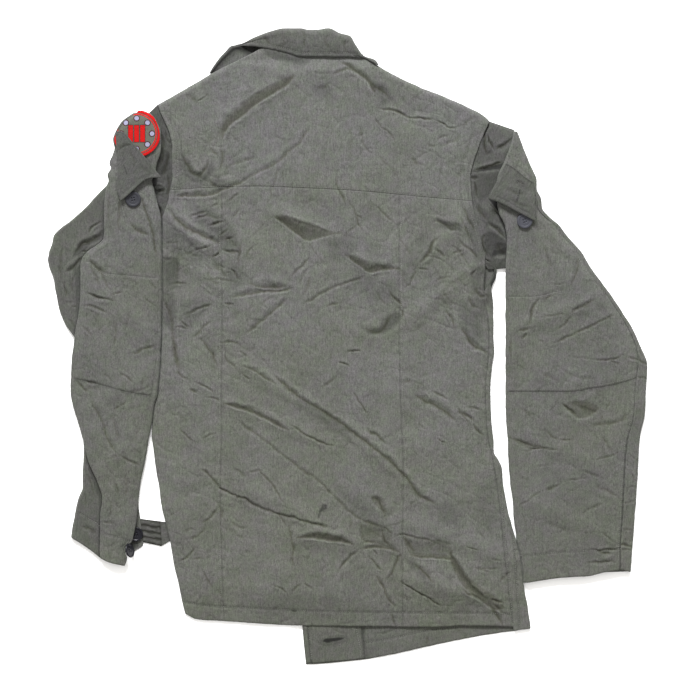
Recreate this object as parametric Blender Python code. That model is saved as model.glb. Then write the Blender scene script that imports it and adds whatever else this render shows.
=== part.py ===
"""Cotton field jacket, laid flat face down, back uppermost.

Frame: metres, +Z up, +Y towards the collar.  The jacket rests on z = 0.
The plan of the laid garment is set out on a lay chart: one chart unit is
1.25 mm, chart x runs to the right, chart y runs down from collar to hem.
Heights in the tables are in millimetres above the surface it lies on.
"""
import math

import bpy
import bmesh
from mathutils import Vector

# ---------------------------------------------------------------- sizes
UNIT = 0.00125            # one chart unit
CHART_X, CHART_Y = 347.8, 346.0   # chart place of the part's origin
MM = 0.001
WALL = 1.2                # cotton twill, turned double at most edges
THIN = 1.0                # facing, patches, flaps
SEAM = 0.45               # clear gap between neighbouring pieces, mm
SEAM_U = SEAM * MM / UNIT / 2.0
FLOOR = WALL / 2.0        # middle of the layer that lies on the floor
EDGE_TOP = 4.2            # middle of the cloth where a side fold turns over
MID_TOP = 8.3             # back over the overlapped fronts
SIDE_TOP = 6.0            # back elsewhere
FLAP_BUTTON_R = 10.0
CUFF_BUTTON_R = 9.0
FRONT_BUTTON_R = 10.0
BUTTON_H = 2.2
BADGE_R = 24.0            # chart units
BADGE_C = (137.0, 134.0)

for ob in list(bpy.data.objects):
    bpy.data.objects.remove(ob, do_unlink=True)

# ---------------------------------------------------------------- tables
# edges of the laid garment: columns (chart y, chart x)
ARMHOLE_L = ((104, 157.6), (112, 160.5), (122, 165), (135, 170.5), (150, 172.5), (175, 172.5),
             (190, 170.5), (202, 168), (211, 165), (218, 162.5), (228, 162.2))
BODY_L = ((190, 170.5), (202, 168), (211, 165), (218, 162.7), (300, 162.2), (350, 161.4), (395, 157.4),
          (408, 154), (436, 152), (444, 153), (468, 156), (484, 159), (508, 162), (516, 164),
          (540, 170), (564, 174), (580, 178), (596, 181), (614, 185.5), (625, 188))
ARMHOLE_R = ((121, 489.5), (132, 484.5), (150, 477.5), (165, 472.5), (176, 470.3), (190, 471),
             (208, 473), (235, 480), (250, 483), (258, 486), (268, 490), (287, 491))
BODY_R = ((287, 491), (308, 493), (340, 493.2), (350, 493.8), (364, 492), (388, 490), (420, 491),
          (440, 493), (453, 494), (460, 498), (468, 501.5), (482, 502.5), (492, 504), (508, 507),
          (524, 511), (537, 515), (555, 520), (588, 524), (604, 527), (628, 530.4))
SIDE_SEAM_R = ((198, 471.6), (208, 473), (235, 480), (250, 483), (258, 485), (268, 485), (285, 483.5),
               (305, 485.5), (330, 489), (350, 489), (388, 485.5), (420, 486.5), (440, 488.5), (460, 493),
               (485, 497), (520, 501), (560, 505), (625, 513), (640, 515))
PRINCESS_L = ((180, 222), (350, 222), (433, 221.4), (486, 220.5), (560, 222), (640, 224.5))
PRINCESS_R = ((180, 399), (350, 399.5), (417, 401.3), (475, 403.6), (540, 402.5), (640, 403))
FRONT_EDGE_R = ((60, 300), (600, 301.5), (626, 302.5), (664, 306))
# edges across the laid garment: columns (chart x, chart y)
YOKE_TOP = ((157.6, 104.5), (180, 92), (210, 74.5), (236, 61.5), (262, 50.5), (290, 50.5), (320, 51),
            (350, 53.5), (366, 58.5), (379, 66.5), (420, 87), (440, 95), (470, 108), (485, 116.5),
            (489.5, 121))
YOKE_SEAM = ((165, 190.3), (210, 188), (254, 186.5), (308, 188.5), (350, 190.5), (428, 197.5), (474, 201.3))
HEM = ((180, 612), (186, 614.5), (196, 619), (222, 621), (302, 625.5), (358, 626), (430, 627),
       (465, 625.5), (498, 626), (531, 628))
FRONT_HEM_R = ((300, 664), (306, 664.5), (345, 662), (362, 660), (400, 653), (430, 646), (460, 640),
               (490, 634.5), (531, 628.5))
COLLAR_TOP = ((235.5, 44.6), (239, 44.2), (255, 37), (271, 31), (284, 28), (300, 28), (309, 29.6),
              (318, 29.4), (328.5, 28), (340, 33), (350, 36), (355, 44), (364, 56), (375, 60), (378.5, 64.3))
COLLAR_EDGE = ((235.5, 45.6), (252, 46.2), (265, 48), (278, 50.5), (290, 53.5), (300, 56.5), (345, 57),
               (362, 58), (370, 61), (378.5, 65.5))
# right sleeve: columns (chart y, chart x)
SLEEVE_R_FOLD = ((131.5, 514), (140, 512.6), (161, 505), (180, 497.5), (199, 497.5), (213, 499.5),
                 (225, 505), (240, 507.5), (257, 506.8), (268, 506), (412, 506), (436, 508),
                 (460, 509), (484, 511), (500, 513), (520, 514.4), (530, 516), (540, 518.4), (555, 522.4), (588, 526))
SLEEVE_R_OUT = ((131.5, 517.2), (145, 522), (158, 527.5), (171, 533), (180, 536.4), (188, 536.4),
                (199, 541), (208, 542), (217, 549), (224.5, 558), (236, 567), (252, 581), (268, 591),
                (300, 614), (332, 634), (348, 641), (364, 647), (388, 646), (412, 645), (436, 640),
                (484, 637), (524, 634), (572, 630.5))
HIND_SEAM_R = ((131.5, 515.6), (145, 518.5), (158, 523.5), (171, 529), (180, 532.4), (188, 532.4),
               (199, 537), (208, 538), (217, 545), (224.5, 554), (236, 563), (252, 577), (268, 587),
               (300, 610), (332, 630), (348, 636.5), (363, 638.5), (374, 637), (417, 633.5),
               (444, 627), (475, 624.6), (515, 622.8), (551, 620.8), (583, 620.8))
CUFF_R = ((516, 583), (524, 582.6), (544, 580), (557.6, 577.7), (586.6, 576), (605.6, 572), (621, 570),
          (631, 572))
# left sleeve: columns (chart y, chart x)
SLEEVE_L_OUT = ((113, 134), (122, 122), (132, 116), (140, 113.5), (148, 115), (155, 113), (164, 110),
                (168, 111.5), (175, 107.7), (181, 109), (186, 107), (198, 105.4), (211, 104.5),
                (229, 104.5), (238, 104), (247, 95), (250, 90), (258, 83), (265, 81), (290, 81),
                (315, 79), (335, 75), (345, 74), (362, 72), (390, 71), (404, 73), (420, 78), (437, 83),
                (462, 89), (482, 98), (497, 102.5), (524, 100.4), (566, 100.4))
SLEEVE_L_IN = ((113, 150), (122, 157), (134, 160.5), (150, 160.5), (165, 156), (174, 155), (180, 151.5),
               (189, 153.5), (200, 156.3), (219, 159.3), (238, 160.8), (277, 161.5), (340, 160.4),
               (359, 159), (389, 155.2), (405, 153), (424, 151), (436, 149), (460, 145), (484, 140),
               (502, 138), (520, 136), (530, 134.5), (541, 131.8), (547, 126.6), (553, 125), (558, 126.6),
               (566, 124.5))
UNDER_L_OUT = ((113, 138), (122, 126), (140, 117.5), (164, 114.5), (180, 112.5), (186, 106), (192, 100),
               (204, 89), (213, 80), (223, 68), (228, 61), (236, 54), (244, 52), (252, 49), (260, 48),
               (268, 50), (276, 53), (292, 56), (311, 60), (325, 66), (332, 71), (338, 75), (345, 77),
               (390, 75), (420, 80), (437, 83), (446, 84), (470, 83), (488, 82.6), (500, 78), (516, 75),
               (537.5, 71.4), (566, 71.4))
CUFF_L = ((71.4, 538), (88, 548), (99, 557), (106, 561), (116, 564), (124.5, 565.6), (130, 566))

# heights: columns (chart y, height mm of the middle of the cloth)
FOLD_LOW_R = ((131, 4.9), (262, 4.9), (270, 4.9), (280, 0.6), (600, 0.6))
FOLD_LOW_L_IN = ((110, 5.4), (185, 5.4), (219, 5.2), (232, 0.6), (484, 0.6), (502, 5.2), (600, 5.2))
SLEEVE_R_TOP = ((120, 8.0), (200, 8.6), (270, 8.0), (400, 7.6), (600, 6.2))
SLEEVE_L_TOP = ((110, 6.4), (122, 9.2), (200, 9.8), (300, 9.4), (480, 9.2), (566, 8.4))

# largest folds: chart ends, half width in chart units, height mm (negative sinks)
FOLD_COLUMNS = ("x0", "y0", "x1", "y1", "half", "rise")
BODY_FOLDS = (
    (293, 77, 224, 128, 14, 1.6), (345, 66, 378, 100, 12, 1.4), (224, 128, 218, 180, 13, 1.2),
    (268, 208, 335, 236, 13, 2.0), (168, 214, 236, 268, 14, 2.2), (172, 250, 246, 306, 13, 1.6),
    (474, 216, 408, 268, 15, 1.8), (480, 262, 398, 330, 14, 1.6), (241, 366, 352, 430, 13, 1.8),
    (350, 428, 440, 508, 13, 1.6), (223, 404, 337, 446, 12, 1.4), (199, 470, 335, 530, 14, 1.8),
    (292, 536, 352, 542, 14, 2.0), (400, 520, 512, 560, 15, 2.0), (360, 566, 500, 604, 14, 1.6))
SLEEVE_R_FOLDS = (
    (512, 330, 600, 300, 14, 1.6), (520, 430, 600, 470, 15, 1.8), (540, 240, 600, 330, 13, 1.4),
    (520, 500, 620, 540, 14, 1.2))
SLEEVE_L_FOLDS = (
    (88, 280, 156, 340, 13, 1.4), (86, 410, 150, 372, 13, 1.4), (100, 470, 140, 440, 12, 1.2))
BULGE_FOLDS = ((56, 250, 84, 300, 12, 1.6), (84, 212, 104, 236, 9, -0.8))


# ---------------------------------------------------------------- helpers
def at(table, key):
    """Straight-line reading of a two-column table."""
    if key <= table[0][0]:
        return table[0][1]
    for (a, va), (b, vb) in zip(table, table[1:]):
        if key <= b:
            return va + (vb - va) * (key - a) / (b - a)
    return table[-1][1]


def smooth(t):
    t = min(1.0, max(0.0, t))
    return t * t * (3.0 - 2.0 * t)


def folds(table, x, y):
    """Sum of the soft ridges of a fold table at a chart place."""
    total = 0.0
    for row in table:
        f = dict(zip(FOLD_COLUMNS, row))
        dx, dy = f["x1"] - f["x0"], f["y1"] - f["y0"]
        s = ((x - f["x0"]) * dx + (y - f["y0"]) * dy) / (dx * dx + dy * dy)
        c = min(1.0, max(0.0, s))
        away = math.hypot(x - f["x0"] - dx * c, y - f["y0"] - dy * c) / f["half"]
        if away < 1.0:
            total += f["rise"] * (0.5 + 0.5 * math.cos(math.pi * away)) * math.sin(math.pi * min(1.0, 0.15 + 0.7 * c))
    return total


def place(x, y, z):
    return Vector(((x - CHART_X) * UNIT, (CHART_Y - y) * UNIT, z * MM))


def material(name, colour, rough, metal=0.0):
    mat = bpy.data.materials.new(name)
    mat.use_nodes = True
    node = mat.node_tree.nodes["Principled BSDF"]
    node.inputs["Base Color"].default_value = (*colour, 1.0)
    node.inputs["Roughness"].default_value = rough
    node.inputs["Metallic"].default_value = metal
    mat.diffuse_color = (*colour, 1.0)
    return mat


OLIVE = (0.165, 0.17, 0.145)


def shell(name, rows, wall=WALL, colour=OLIVE, rough=0.85):
    """A closed wall of cloth round a grid of chart points (x, y, height)."""
    grid = [[place(*p) for p in row] for row in rows]
    n, m = len(grid), len(grid[0])
    half = wall * MM / 2.0
    sides = {1: [], -1: []}
    for i in range(n):
        for j in range(m):
            down = grid[min(i + 1, n - 1)][j] - grid[max(i - 1, 0)][j]
            over = grid[i][min(j + 1, m - 1)] - grid[i][max(j - 1, 0)]
            out = down.cross(over).normalized()
            for s in (1, -1):
                p = grid[i][j] + out * (half * s)
                if p.z < 1e-5:
                    p.z = 0.0
                sides[s].append(p)
    bm = bmesh.new()
    up = [bm.verts.new(p) for p in sides[1]]
    dn = [bm.verts.new(p) for p in sides[-1]]
    for i in range(n - 1):
        for j in range(m - 1):
            a, b, c, d = i * m + j, (i + 1) * m + j, (i + 1) * m + j + 1, i * m + j + 1
            bm.faces.new((up[a], up[b], up[c], up[d]))
            bm.faces.new((dn[d], dn[c], dn[b], dn[a]))
    ring = ([j for j in range(m)] + [i * m + m - 1 for i in range(1, n)]
            + [(n - 1) * m + j for j in range(m - 2, -1, -1)] + [i * m for i in range(n - 2, 0, -1)])
    for a, b in zip(ring, ring[1:] + ring[:1]):
        bm.faces.new((up[a], up[b], dn[b], dn[a]))
    bmesh.ops.recalc_face_normals(bm, faces=bm.faces)
    mesh = bpy.data.meshes.new(name)
    bm.to_mesh(mesh)
    bm.free()
    if mesh_volume(mesh) < 0:
        mesh.flip_normals()
    mesh.shade_smooth()
    mesh.set_sharp_from_angle(angle=math.radians(40))
    ob = bpy.data.objects.new(name, mesh)
    ob.data.materials.append(material("m_" + name, colour, rough))
    bpy.context.scene.collection.objects.link(ob)
    return ob


def mesh_volume(mesh):
    total = 0.0
    for poly in mesh.polygons:
        v = [mesh.vertices[k].co for k in poly.vertices]
        for a, b in zip(v[1:], v[2:]):
            total += v[0].dot(a.cross(b))
    return total


def steps(n, lo=0.0, hi=1.0):
    return [lo + (hi - lo) * k / (n - 1) for k in range(n)]


def settle(u_x, top, bottom, v, left, right):
    """Chart place of a panel point: u_x(y) across, v down, between four edges."""
    y = top + (bottom - top) * v
    return y


def turn(x_edge, inward, reach, z_low, z_high, count=4):
    """Half-oval section of a side fold, from its low side up to its high side.
    inward is +1 when the cloth lies to the right of the fold."""
    mid, r = (z_low + z_high) / 2.0, (z_high - z_low) / 2.0
    out = []
    for k in range(count):
        a = math.pi * k / (count - 1)
        out.append((x_edge + inward * reach * (1.0 - math.sin(a)), mid - r * math.cos(a)))
    return out


def body_height(x, y):
    """Middle of the back's cloth, away from its side folds."""
    centre = math.exp(-((x - 318.0) / 62.0) ** 4)
    z = SIDE_TOP + (MID_TOP - SIDE_TOP) * centre + max(0.0, folds(BODY_FOLDS, x, y))
    # the back flattens towards its side folds
    left = at(BODY_L, y) if y > 190 else at(ARMHOLE_L, y)
    right = at(BODY_R, y) if y > 287 else at(ARMHOLE_R, y)
    low = EDGE_TOP if y > 300 else EDGE_TOP + 0.9
    reach = 16.0
    return low + (z - low) * smooth((x - left - 1.5) / reach) * smooth((right - 1.5 - x) / reach)


# ---------------------------------------------------------------- back and yoke
def yoke_rows():
    rows = []
    for v in (0.0, 0.01, 0.04, 0.12, 0.28, 0.5, 0.75, 1.0):
        row = []
        for u in steps(14):
            # the edges lean, so the place is found in a few passes
            x = 165 + 307 * u
            for _ in range(6):
                y_top = at(YOKE_TOP, x)
                y = y_top + (at(YOKE_SEAM, x) - SEAM_U - y_top) * v
                x = at(ARMHOLE_L, y) + (at(ARMHOLE_R, y) - at(ARMHOLE_L, y)) * u
            y_top = at(YOKE_TOP, x)
            y = y_top + (at(YOKE_SEAM, x) - SEAM_U - y_top) * v
            depth = (y - y_top) * UNIT / MM
            # shoulders turn down to the floor, the neck only to the collar
            low = FLOOR + (4.9 - FLOOR) * smooth((x - 200) / 14.0) * smooth((392 - x) / 14.0)
            z = body_height(x, y)
            if 205 < x < 385:
                z = min(z, 5.4 + 0.35 * max(0.0, y - 60))
            d = min(1.0, depth / 7.0)
            z = low + (z - low) * math.sqrt(max(0.0, 1.0 - (1.0 - d) ** 2))
            row.append((x, y, z))
        rows.append(row)
    return rows


shell("back_yoke", yoke_rows())


def back_rows(path, count=18):
    """Rows of a back panel from the yoke seam to the hem.  path(y) gives the
    section as (x, height or None); None takes the back's own height."""
    rows = []
    for v in steps(count):
        row = []
        base = 196 + (HEM[4][1] - 196) * v
        for k in range(len(path(base))):
            y = base
            for _ in range(4):
                x, z = path(y)[k]
                y = (at(YOKE_SEAM, x) + SEAM_U) * (1 - v) + at(HEM, x) * v
            row.append((x, y, body_height(x, y) if z is None else z))
        rows.append(row)
    return rows


def section_side_left(y):
    edge = at(BODY_L, y)
    turn_low = FLOOR + (EDGE_TOP + 0.1 - FLOOR) * smooth((226 - y) / 10.0)
    top = body_height(edge + 3, y)
    arc = turn(edge, 1, 1.6, min(turn_low, top - 1.2), top)
    seam = at(PRINCESS_L, y) - SEAM_U
    start = [(edge + 6.0, arc[0][1]), (edge + 3.4, arc[0][1])]
    top_x = [edge + 1.6 + (seam - edge - 1.6) * t for t in (0.12, 0.3, 0.5, 0.75, 1.0)]
    return start + arc + [(x, None) for x in top_x]


def section_centre(y):
    a, b = at(PRINCESS_L, y) + SEAM_U, at(PRINCESS_R, y) - SEAM_U
    return [(a + (b - a) * t, None) for t in steps(8)]


def section_side_right(y):
    a, b = at(PRINCESS_R, y) + SEAM_U, at(SIDE_SEAM_R, y) - SEAM_U
    return [(a + (b - a) * t, None) for t in (0.0, 0.22, 0.44, 0.64, 0.82, 0.93, 1.0)]


shell("back_side_left", back_rows(section_side_left))
shell("back_centre", back_rows(section_centre))
shell("back_side_right", back_rows(section_side_right))


# ---------------------------------------------------------------- fronts
def front_top(x):
    return at(YOKE_TOP, x) + 6.0 + 54.0 * smooth((x - 236) / 62.0) * smooth((392 - x) / 62.0)


def section_front_right(y):
    edge = at(BODY_R, y) if y > 287 else at(ARMHOLE_R, y) - 6.5
    inner = at(FRONT_EDGE_R, y)
    top = body_height(edge - 3, y) if y > 287 else 2.9
    seam = at(SIDE_SEAM_R, y) + SEAM_U + 0.3 if y > 335 else edge - 2.3
    arc = [(x, z) for x, z in turn(edge, -1, 1.6, FLOOR, top)]
    flat = [(inner + (edge - 5 - inner) * t, FLOOR) for t in (0.0, 0.35, 0.7, 1.0)]
    flat[-1] = (edge - 4.0, FLOOR)
    end = [(edge - 1.6 + (seam - edge + 1.6) * t, None if y > 292 else top) for t in (0.45, 1.0)]
    if y <= 292:
        end = [(edge - 1.9, top), (edge - 2.3, top)]
    return flat + arc + end


def front_right_rows():
    rows = []
    for v in (0, .1, .2, .3, .385, .42, .48, .54, .6, .65, .7, .75, .8, .86, .93, 1):
        row = []
        base = 100 + 530 * v
        for k in range(len(section_front_right(base))):
            y = base
            for _ in range(5):
                x, z = section_front_right(y)[k]
                y = (front_top(x) + 4.0 * smooth((x - 470) / 10.0)) * (1 - v) + at(FRONT_HEM_R, x) * v
            if z is None:
                z = body_height(x, y)
            row.append((x, y, z))
        rows.append(row)
    return rows


shell("front_right", front_right_rows())


def facing_rows():
    rows = []
    for v in steps(6):
        y0, y1 = 110.0, 663.0
        y = y0 + (y1 - y0) * v
        a = at(FRONT_EDGE_R, y) + 0.8
        b = 361.0 if y < 627 else 361.0 + (y - 627) * 4.0 / 31.0
        row = []
        for t in (0.0, 0.5, 1.0):
            x = a + (b - a) * t
            row.append((x, y0 + (at(FRONT_HEM_R, x) - 1.2 - y0) * v, WALL + 0.3 + THIN / 2.0))
        rows.append(row)
    return rows


shell("facing_right", facing_rows(), THIN)
LEFT_OVER = WALL + 0.3 + THIN + 0.3 + BUTTON_H + 0.35 + WALL / 2.0    # left front over the button stand


def front_left_rows():
    rows = []
    for v in steps(13):
        row = []
        for t in (0.0, 0.3, 0.62, 0.74, 0.8, 0.9, 1.0):
            y = 120 + 480 * v
            for _ in range(4):
                edge = at(BODY_L, y) + 9.0 if y > 212 else at(ARMHOLE_L, y) + 5.5
                x = edge + (338.0 - edge) * t
                y = front_top(x) * (1 - v) + (at(HEM, x) - 8.0) * v
            lift = smooth((x - 276) / 21.0)
            row.append((x, y, FLOOR + (LEFT_OVER - FLOOR) * lift))
        rows.append(row)
    return rows


shell("front_left", front_left_rows())


# ---------------------------------------------------------------- collar
def collar_rows():
    rows = []
    for v in (0.0, 0.03, 0.12, 0.3, 0.65, 1.0):
        row = []
        for u in steps(15):
            x = 236.5 + (377.5 - 236.5) * u
            y0, y1 = at(COLLAR_TOP, x), at(COLLAR_EDGE, x)
            y = y0 + (y1 - y0) * v
            d = min(1.0, (y - y0) * UNIT / MM / 7.0)
            z = 2.2 + (8.6 - 2.2) * math.sqrt(max(0.0, 1.0 - (1.0 - d) ** 2))
            ends = smooth((x - 232) / 12.0) * smooth((385 - x) / 12.0)
            z = z + 0.8 * (1 - ends) + 0.5 * v
            row.append((x, y, z))
        rows.append(row)
    return rows


shell("collar_fall", collar_rows())


def stand_rows():
    rows = []
    for v in (0.0, 0.35, 0.7, 1.0):
        row = []
        for u in steps(9):
            x = 262.0 + (360.0 - 262.0) * u
            y0 = at(COLLAR_TOP, x) + 4.2
            y1 = at(YOKE_TOP, x) - 0.9
            y = y0 + (y1 - y0) * v
            row.append((x, y, FLOOR + (4.4 - FLOOR) * smooth(v)))
        rows.append(row)
    return rows


shell("collar_stand", stand_rows())
# left end of the collar, its inner side seen past the shoulder: (x, y) outer, (x, y) inner
COLLAR_END_L = ((211.5, 71.5, 215.0, 74.5), (214.5, 65.5, 222.0, 73.0), (219.0, 59.0, 229.0, 69.5),
                (226.0, 50.3, 238.0, 64.5), (232.5, 46.0, 247.0, 60.0), (240.0, 46.2, 256.0, 55.5))


def collar_end_rows():
    rows = []
    for x0, y0, x1, y1 in COLLAR_END_L:
        row = []
        for t, z in ((0.0, 1.2), (0.04, 3.0), (0.14, 3.9), (0.3, 2.6), (0.55, 1.4), (1.0, 2.0)):
            near = smooth((246 - x0) / 12.0)
            row.append((x0 + (x1 - x0) * t, y0 + (y1 - y0) * t, 0.9 + (z - 0.9) * near + 0.3))
        rows.append(row)
    return rows


shell("collar_end_left", collar_end_rows())


# ---------------------------------------------------------------- right sleeve
def sleeve_r_height(x, y):
    a, b = at(SLEEVE_R_FOLD, y), at(SLEEVE_R_OUT, y)
    top = at(SLEEVE_R_TOP, y) + max(0.0, folds(SLEEVE_R_FOLDS, x, y))
    low = 4.6
    fade = min(14.0, (b - a) * 0.5 + 1.0)
    return low + (top - low) * smooth((b - 1.5 - x) / fade)


def section_sleeve_r_back(y):
    a, b = at(SLEEVE_R_FOLD, y), at(HIND_SEAM_R, y) - SEAM_U
    width = b - a
    reach = min(2.0, 0.3 * width)
    low = at(FOLD_LOW_R, y)
    top = sleeve_r_height(a + reach, y)
    arc = turn(a, 1, reach, low, top)
    back = min(5.0, 0.35 * width)
    start = [(a + reach + back, low)]
    tops = [(a + reach + (b - a - reach) * t, None) for t in (0.12, 0.3, 0.5, 0.7, 0.87, 1.0)]
    return start + arc + tops


SLEEVE_R_ROWS = (131.5, 145, 161, 180, 199, 213, 226, 240, 262, 270, 280, 300, 332, 363, 388, 415, 444,
                 480, 520, 540, 578)


def sleeve_rows(section, levels, cuff, height, cuff_from):
    """Rows at chart levels; below cuff_from they lean until the last row is
    the cuff's edge."""
    rows = []
    last = levels[-1]
    for level in levels:
        row = []
        for k in range(len(section(level))):
            y = level
            for _ in range(4):
                x, z = section(y)[k]
                lean = max(0.0, (level - cuff_from) / (last - cuff_from))
                y = level + (at(cuff, x) - last) * lean
            row.append((x, y, height(x, y) if z is None else z))
        rows.append(row)
    return rows


shell("sleeve_right_back", sleeve_rows(section_sleeve_r_back, SLEEVE_R_ROWS, CUFF_R, sleeve_r_height, 480))


def section_sleeve_r_front(y):
    b = at(SLEEVE_R_OUT, y)
    if y < 266:
        a = at(((124, 494), (132, 489), (150, 482), (176, 475), (208, 478), (235, 485), (252, 491),
                (262, 500), (266, 512)), y)
    else:
        a = max(512.0, at(SLEEVE_R_FOLD, y) + 8.0)
    seam = at(HIND_SEAM_R, y) + SEAM_U
    top = sleeve_r_height(b - 1.5, y)
    reach = min(1.6, max(0.5, b - seam))
    flat = [(a + (b - 4 - a) * t, FLOOR) for t in (0.0, 0.4, 0.8, 1.0)]
    arc = turn(b, -1, reach, FLOOR, top)
    end = [(b - reach + (seam - b + reach) * t, None) for t in (0.5, 1.0)]
    return flat + arc + end


shell("sleeve_right_front", sleeve_rows(section_sleeve_r_front, SLEEVE_R_ROWS, CUFF_R, sleeve_r_height, 480))


def cap_rows(table, wall_z):
    rows = []
    for x0, y0, x1, y1, z0, z1 in table:
        row = []
        for t in (0.0, 0.2, 0.5, 0.8, 1.0):
            dip = -0.5 * math.sin(math.pi * t)
            row.append((x0 + (x1 - x0) * t, y0 + (y1 - y0) * t, z0 + (z1 - z0) * t + dip + wall_z))
        rows.append(row)
    return rows


# sleeve heads, from under the yoke's armhole edge to under the sleeve's fold:
# (x, y) at the armhole, (x, y) at the fold, heights mm
CAP_R = ((491.6, 122.5, 512.0, 129.5, 1.0, 1.0), (490.2, 125.5, 513.0, 134.0, 2.8, 2.8), (482.0, 138.0, 513.8, 143.0, 3.2, 3.2),
         (474.5, 154.0, 510.0, 156.0, 3.2, 3.2), (469.0, 168.0, 505.0, 170.0, 3.2, 3.2),
         (467.5, 184.0, 500.5, 186.0, 3.0, 3.2), (469.0, 202.0, 501.0, 204.0, 3.0, 3.2),
         (473.0, 220.0, 504.5, 220.0, 3.0, 3.2), (478.0, 240.0, 511.0, 240.0, 3.0, 3.2),
         (482.0, 254.0, 510.5, 254.0, 3.0, 3.2), (489.5, 262.0, 506.0, 261.0, 3.0, 3.2))
CAP_L = ((154.6, 110.0, 155.4, 106.0, 1.4, 1.4), (157.0, 118.0, 165.5, 116.0, 2.8, 2.8), (158.0, 130.0, 171.0, 129.0, 3.2, 3.1),
         (157.0, 150.0, 175.5, 150.0, 3.2, 2.8), (152.5, 165.0, 176.0, 166.0, 3.2, 2.6),
         (150.5, 180.0, 174.5, 182.0, 3.2, 2.4), (152.0, 196.0, 171.5, 198.0, 3.2, 2.4),
         (155.5, 208.0, 167.5, 209.0, 3.2, 2.4), (159.2, 219.0, 161.6, 219.5, 3.1, 2.5))
shell("sleeve_right_cap", cap_rows(CAP_R, 0.0))
shell("sleeve_left_cap", cap_rows(CAP_L, 0.0))


# ---------------------------------------------------------------- left sleeve
def under_l_top(y):
    return 1.9 + 2.3 * smooth((y - 112) / 14.0)


def sleeve_l_height(x, y):
    a, b = at(SLEEVE_L_OUT, y), at(SLEEVE_L_IN, y)
    top = at(SLEEVE_L_TOP, y) + max(0.0, folds(SLEEVE_L_FOLDS, x, y))
    fade = min(9.0, (b - a) * 0.45)
    low = top - 1.8
    return low + (top - low) * smooth((x - a) / fade) * smooth((b - x) / fade)


def section_sleeve_l_back(y):
    a, b = at(SLEEVE_L_OUT, y), at(SLEEVE_L_IN, y)
    low_a = under_l_top(y) + 1.75
    low_b = at(FOLD_LOW_L_IN, y)
    if y < 130:
        low_b = min(low_b, low_a + 0.2)
    top_a, top_b = sleeve_l_height(a + 1.3, y), sleeve_l_height(b - 2.2, y)
    arc_a = turn(a, 1, 1.3, low_a, top_a, 4)
    arc_b = turn(b, -1, 2.2, low_b, top_b, 4)[::-1]
    tops = [(a + 1.3 + (b - a - 3.5) * t, None) for t in (0.12, 0.32, 0.52, 0.72, 0.9)]
    return [(a + 5.0, low_a)] + arc_a + tops + arc_b + [(b - 6.0, low_b)]


SLEEVE_L_ROWS = (113, 118, 130, 148, 165, 180, 198, 219, 226, 238, 252, 272, 300, 335, 370, 405, 437, 484,
                 502, 530, 541, 547, 555, 566)


def cuff_l(x):
    return at(CUFF_L, x)


shell("sleeve_left_back", sleeve_rows(section_sleeve_l_back, SLEEVE_L_ROWS, CUFF_L, sleeve_l_height, 500))


def under_l_height(x, y):
    a = at(UNDER_L_OUT, y)
    z = under_l_top(y) + folds(BULGE_FOLDS, x, y) * smooth((at(SLEEVE_L_OUT, y) - 2 - x) / 8.0)
    return z


def section_sleeve_l_front(y):
    a = at(UNDER_L_OUT, y)
    b = at(SLEEVE_L_IN, y) - 9.2
    if y < 219:
        b = at(SLEEVE_L_IN, y) - 3.0
    if 219 <= y < 226:
        b = at(SLEEVE_L_IN, y) - 3.0 - 6.2 * (y - 219) / 7.0
    end = min(b - 2.0, at(SLEEVE_L_OUT, y) + 7.0)
    end = max(end, a + 3.2)
    flat = [(b + (a + 4 - b) * t, FLOOR) for t in (0.0, 0.33, 0.66, 1.0)]
    arc = turn(a, 1, 1.6, FLOOR, under_l_top(y))
    tops = [(a + 1.6 + (end - a - 1.6) * t, None) for t in (0.2, 0.5, 0.8, 1.0)]
    return (flat + arc + tops)[::-1]


shell("sleeve_left_front", sleeve_rows(section_sleeve_l_front, SLEEVE_L_ROWS, CUFF_L, under_l_height, 500))


# ---------------------------------------------------------------- sewn-on cloth
def lying_on(height, lift, wall_under=WALL, wall_over=THIN):
    return lambda x, y: height(x, y) + wall_under / 2.0 + 0.35 + wall_over / 2.0 + lift(x, y)


def patch_rows(top, bottom, section, surface, first, last, count):
    """A patch over part of a panel, from the panel's own section points."""
    rows = []
    for v in steps(count):
        row = []
        for k in range(first, last):
            y = 300.0
            for _ in range(5):
                x = section(y)[k][0]
                y = at(top, x) * (1 - v) + at(bottom, x) * v
            row.append((x, y, surface(x, y)))
        rows.append(row)
    return rows


ELBOW_R_TOP = ((507, 297), (530, 297), (556, 293.5), (600, 292), (640, 292))
ELBOW_R_BOTTOM = ((506, 392), (590, 392), (610, 388), (636, 378), (650, 372))
shell("elbow_patch_right",
      patch_rows(ELBOW_R_TOP, ELBOW_R_BOTTOM, section_sleeve_r_back,
                 lying_on(sleeve_r_height, lambda x, y: 0.75), 5, 11, 7), THIN)
ELBOW_L_TOP = ((75, 272), (107, 274), (125, 276), (161, 279))
ELBOW_L_BOTTOM = ((70, 392), (110, 396), (160, 392))
shell("elbow_patch_left",
      patch_rows(ELBOW_L_TOP, ELBOW_L_BOTTOM, section_sleeve_l_back,
                 lying_on(sleeve_l_height, lambda x, y: 0.75), 5, 10, 8), THIN)

# flaps as four-sided pieces: corner places (x, y), then the free edge's lift
FLAP_L = ((116.0, 131.5), (124.5, 133.2), (146.0, 158.5), (158.5, 174.0),
          (117.0, 150.0), (117.5, 172.0), (118.5, 188.0), (121.0, 200.5))
FLAP_R = ((506.5, 163.5), (515.0, 169.0), (524.0, 176.0), (534.0, 182.5),
          (488.5, 198.8), (501.0, 203.5), (516.0, 211.5), (534.5, 221.0))


def mix(a, b, t):
    return (a[0] + (b[0] - a[0]) * t, a[1] + (b[1] - a[1]) * t)


def along(points, t):
    k = min(len(points) - 2, int(t * (len(points) - 1)))
    return mix(points[k], points[k + 1], t * (len(points) - 1) - k)


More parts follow.
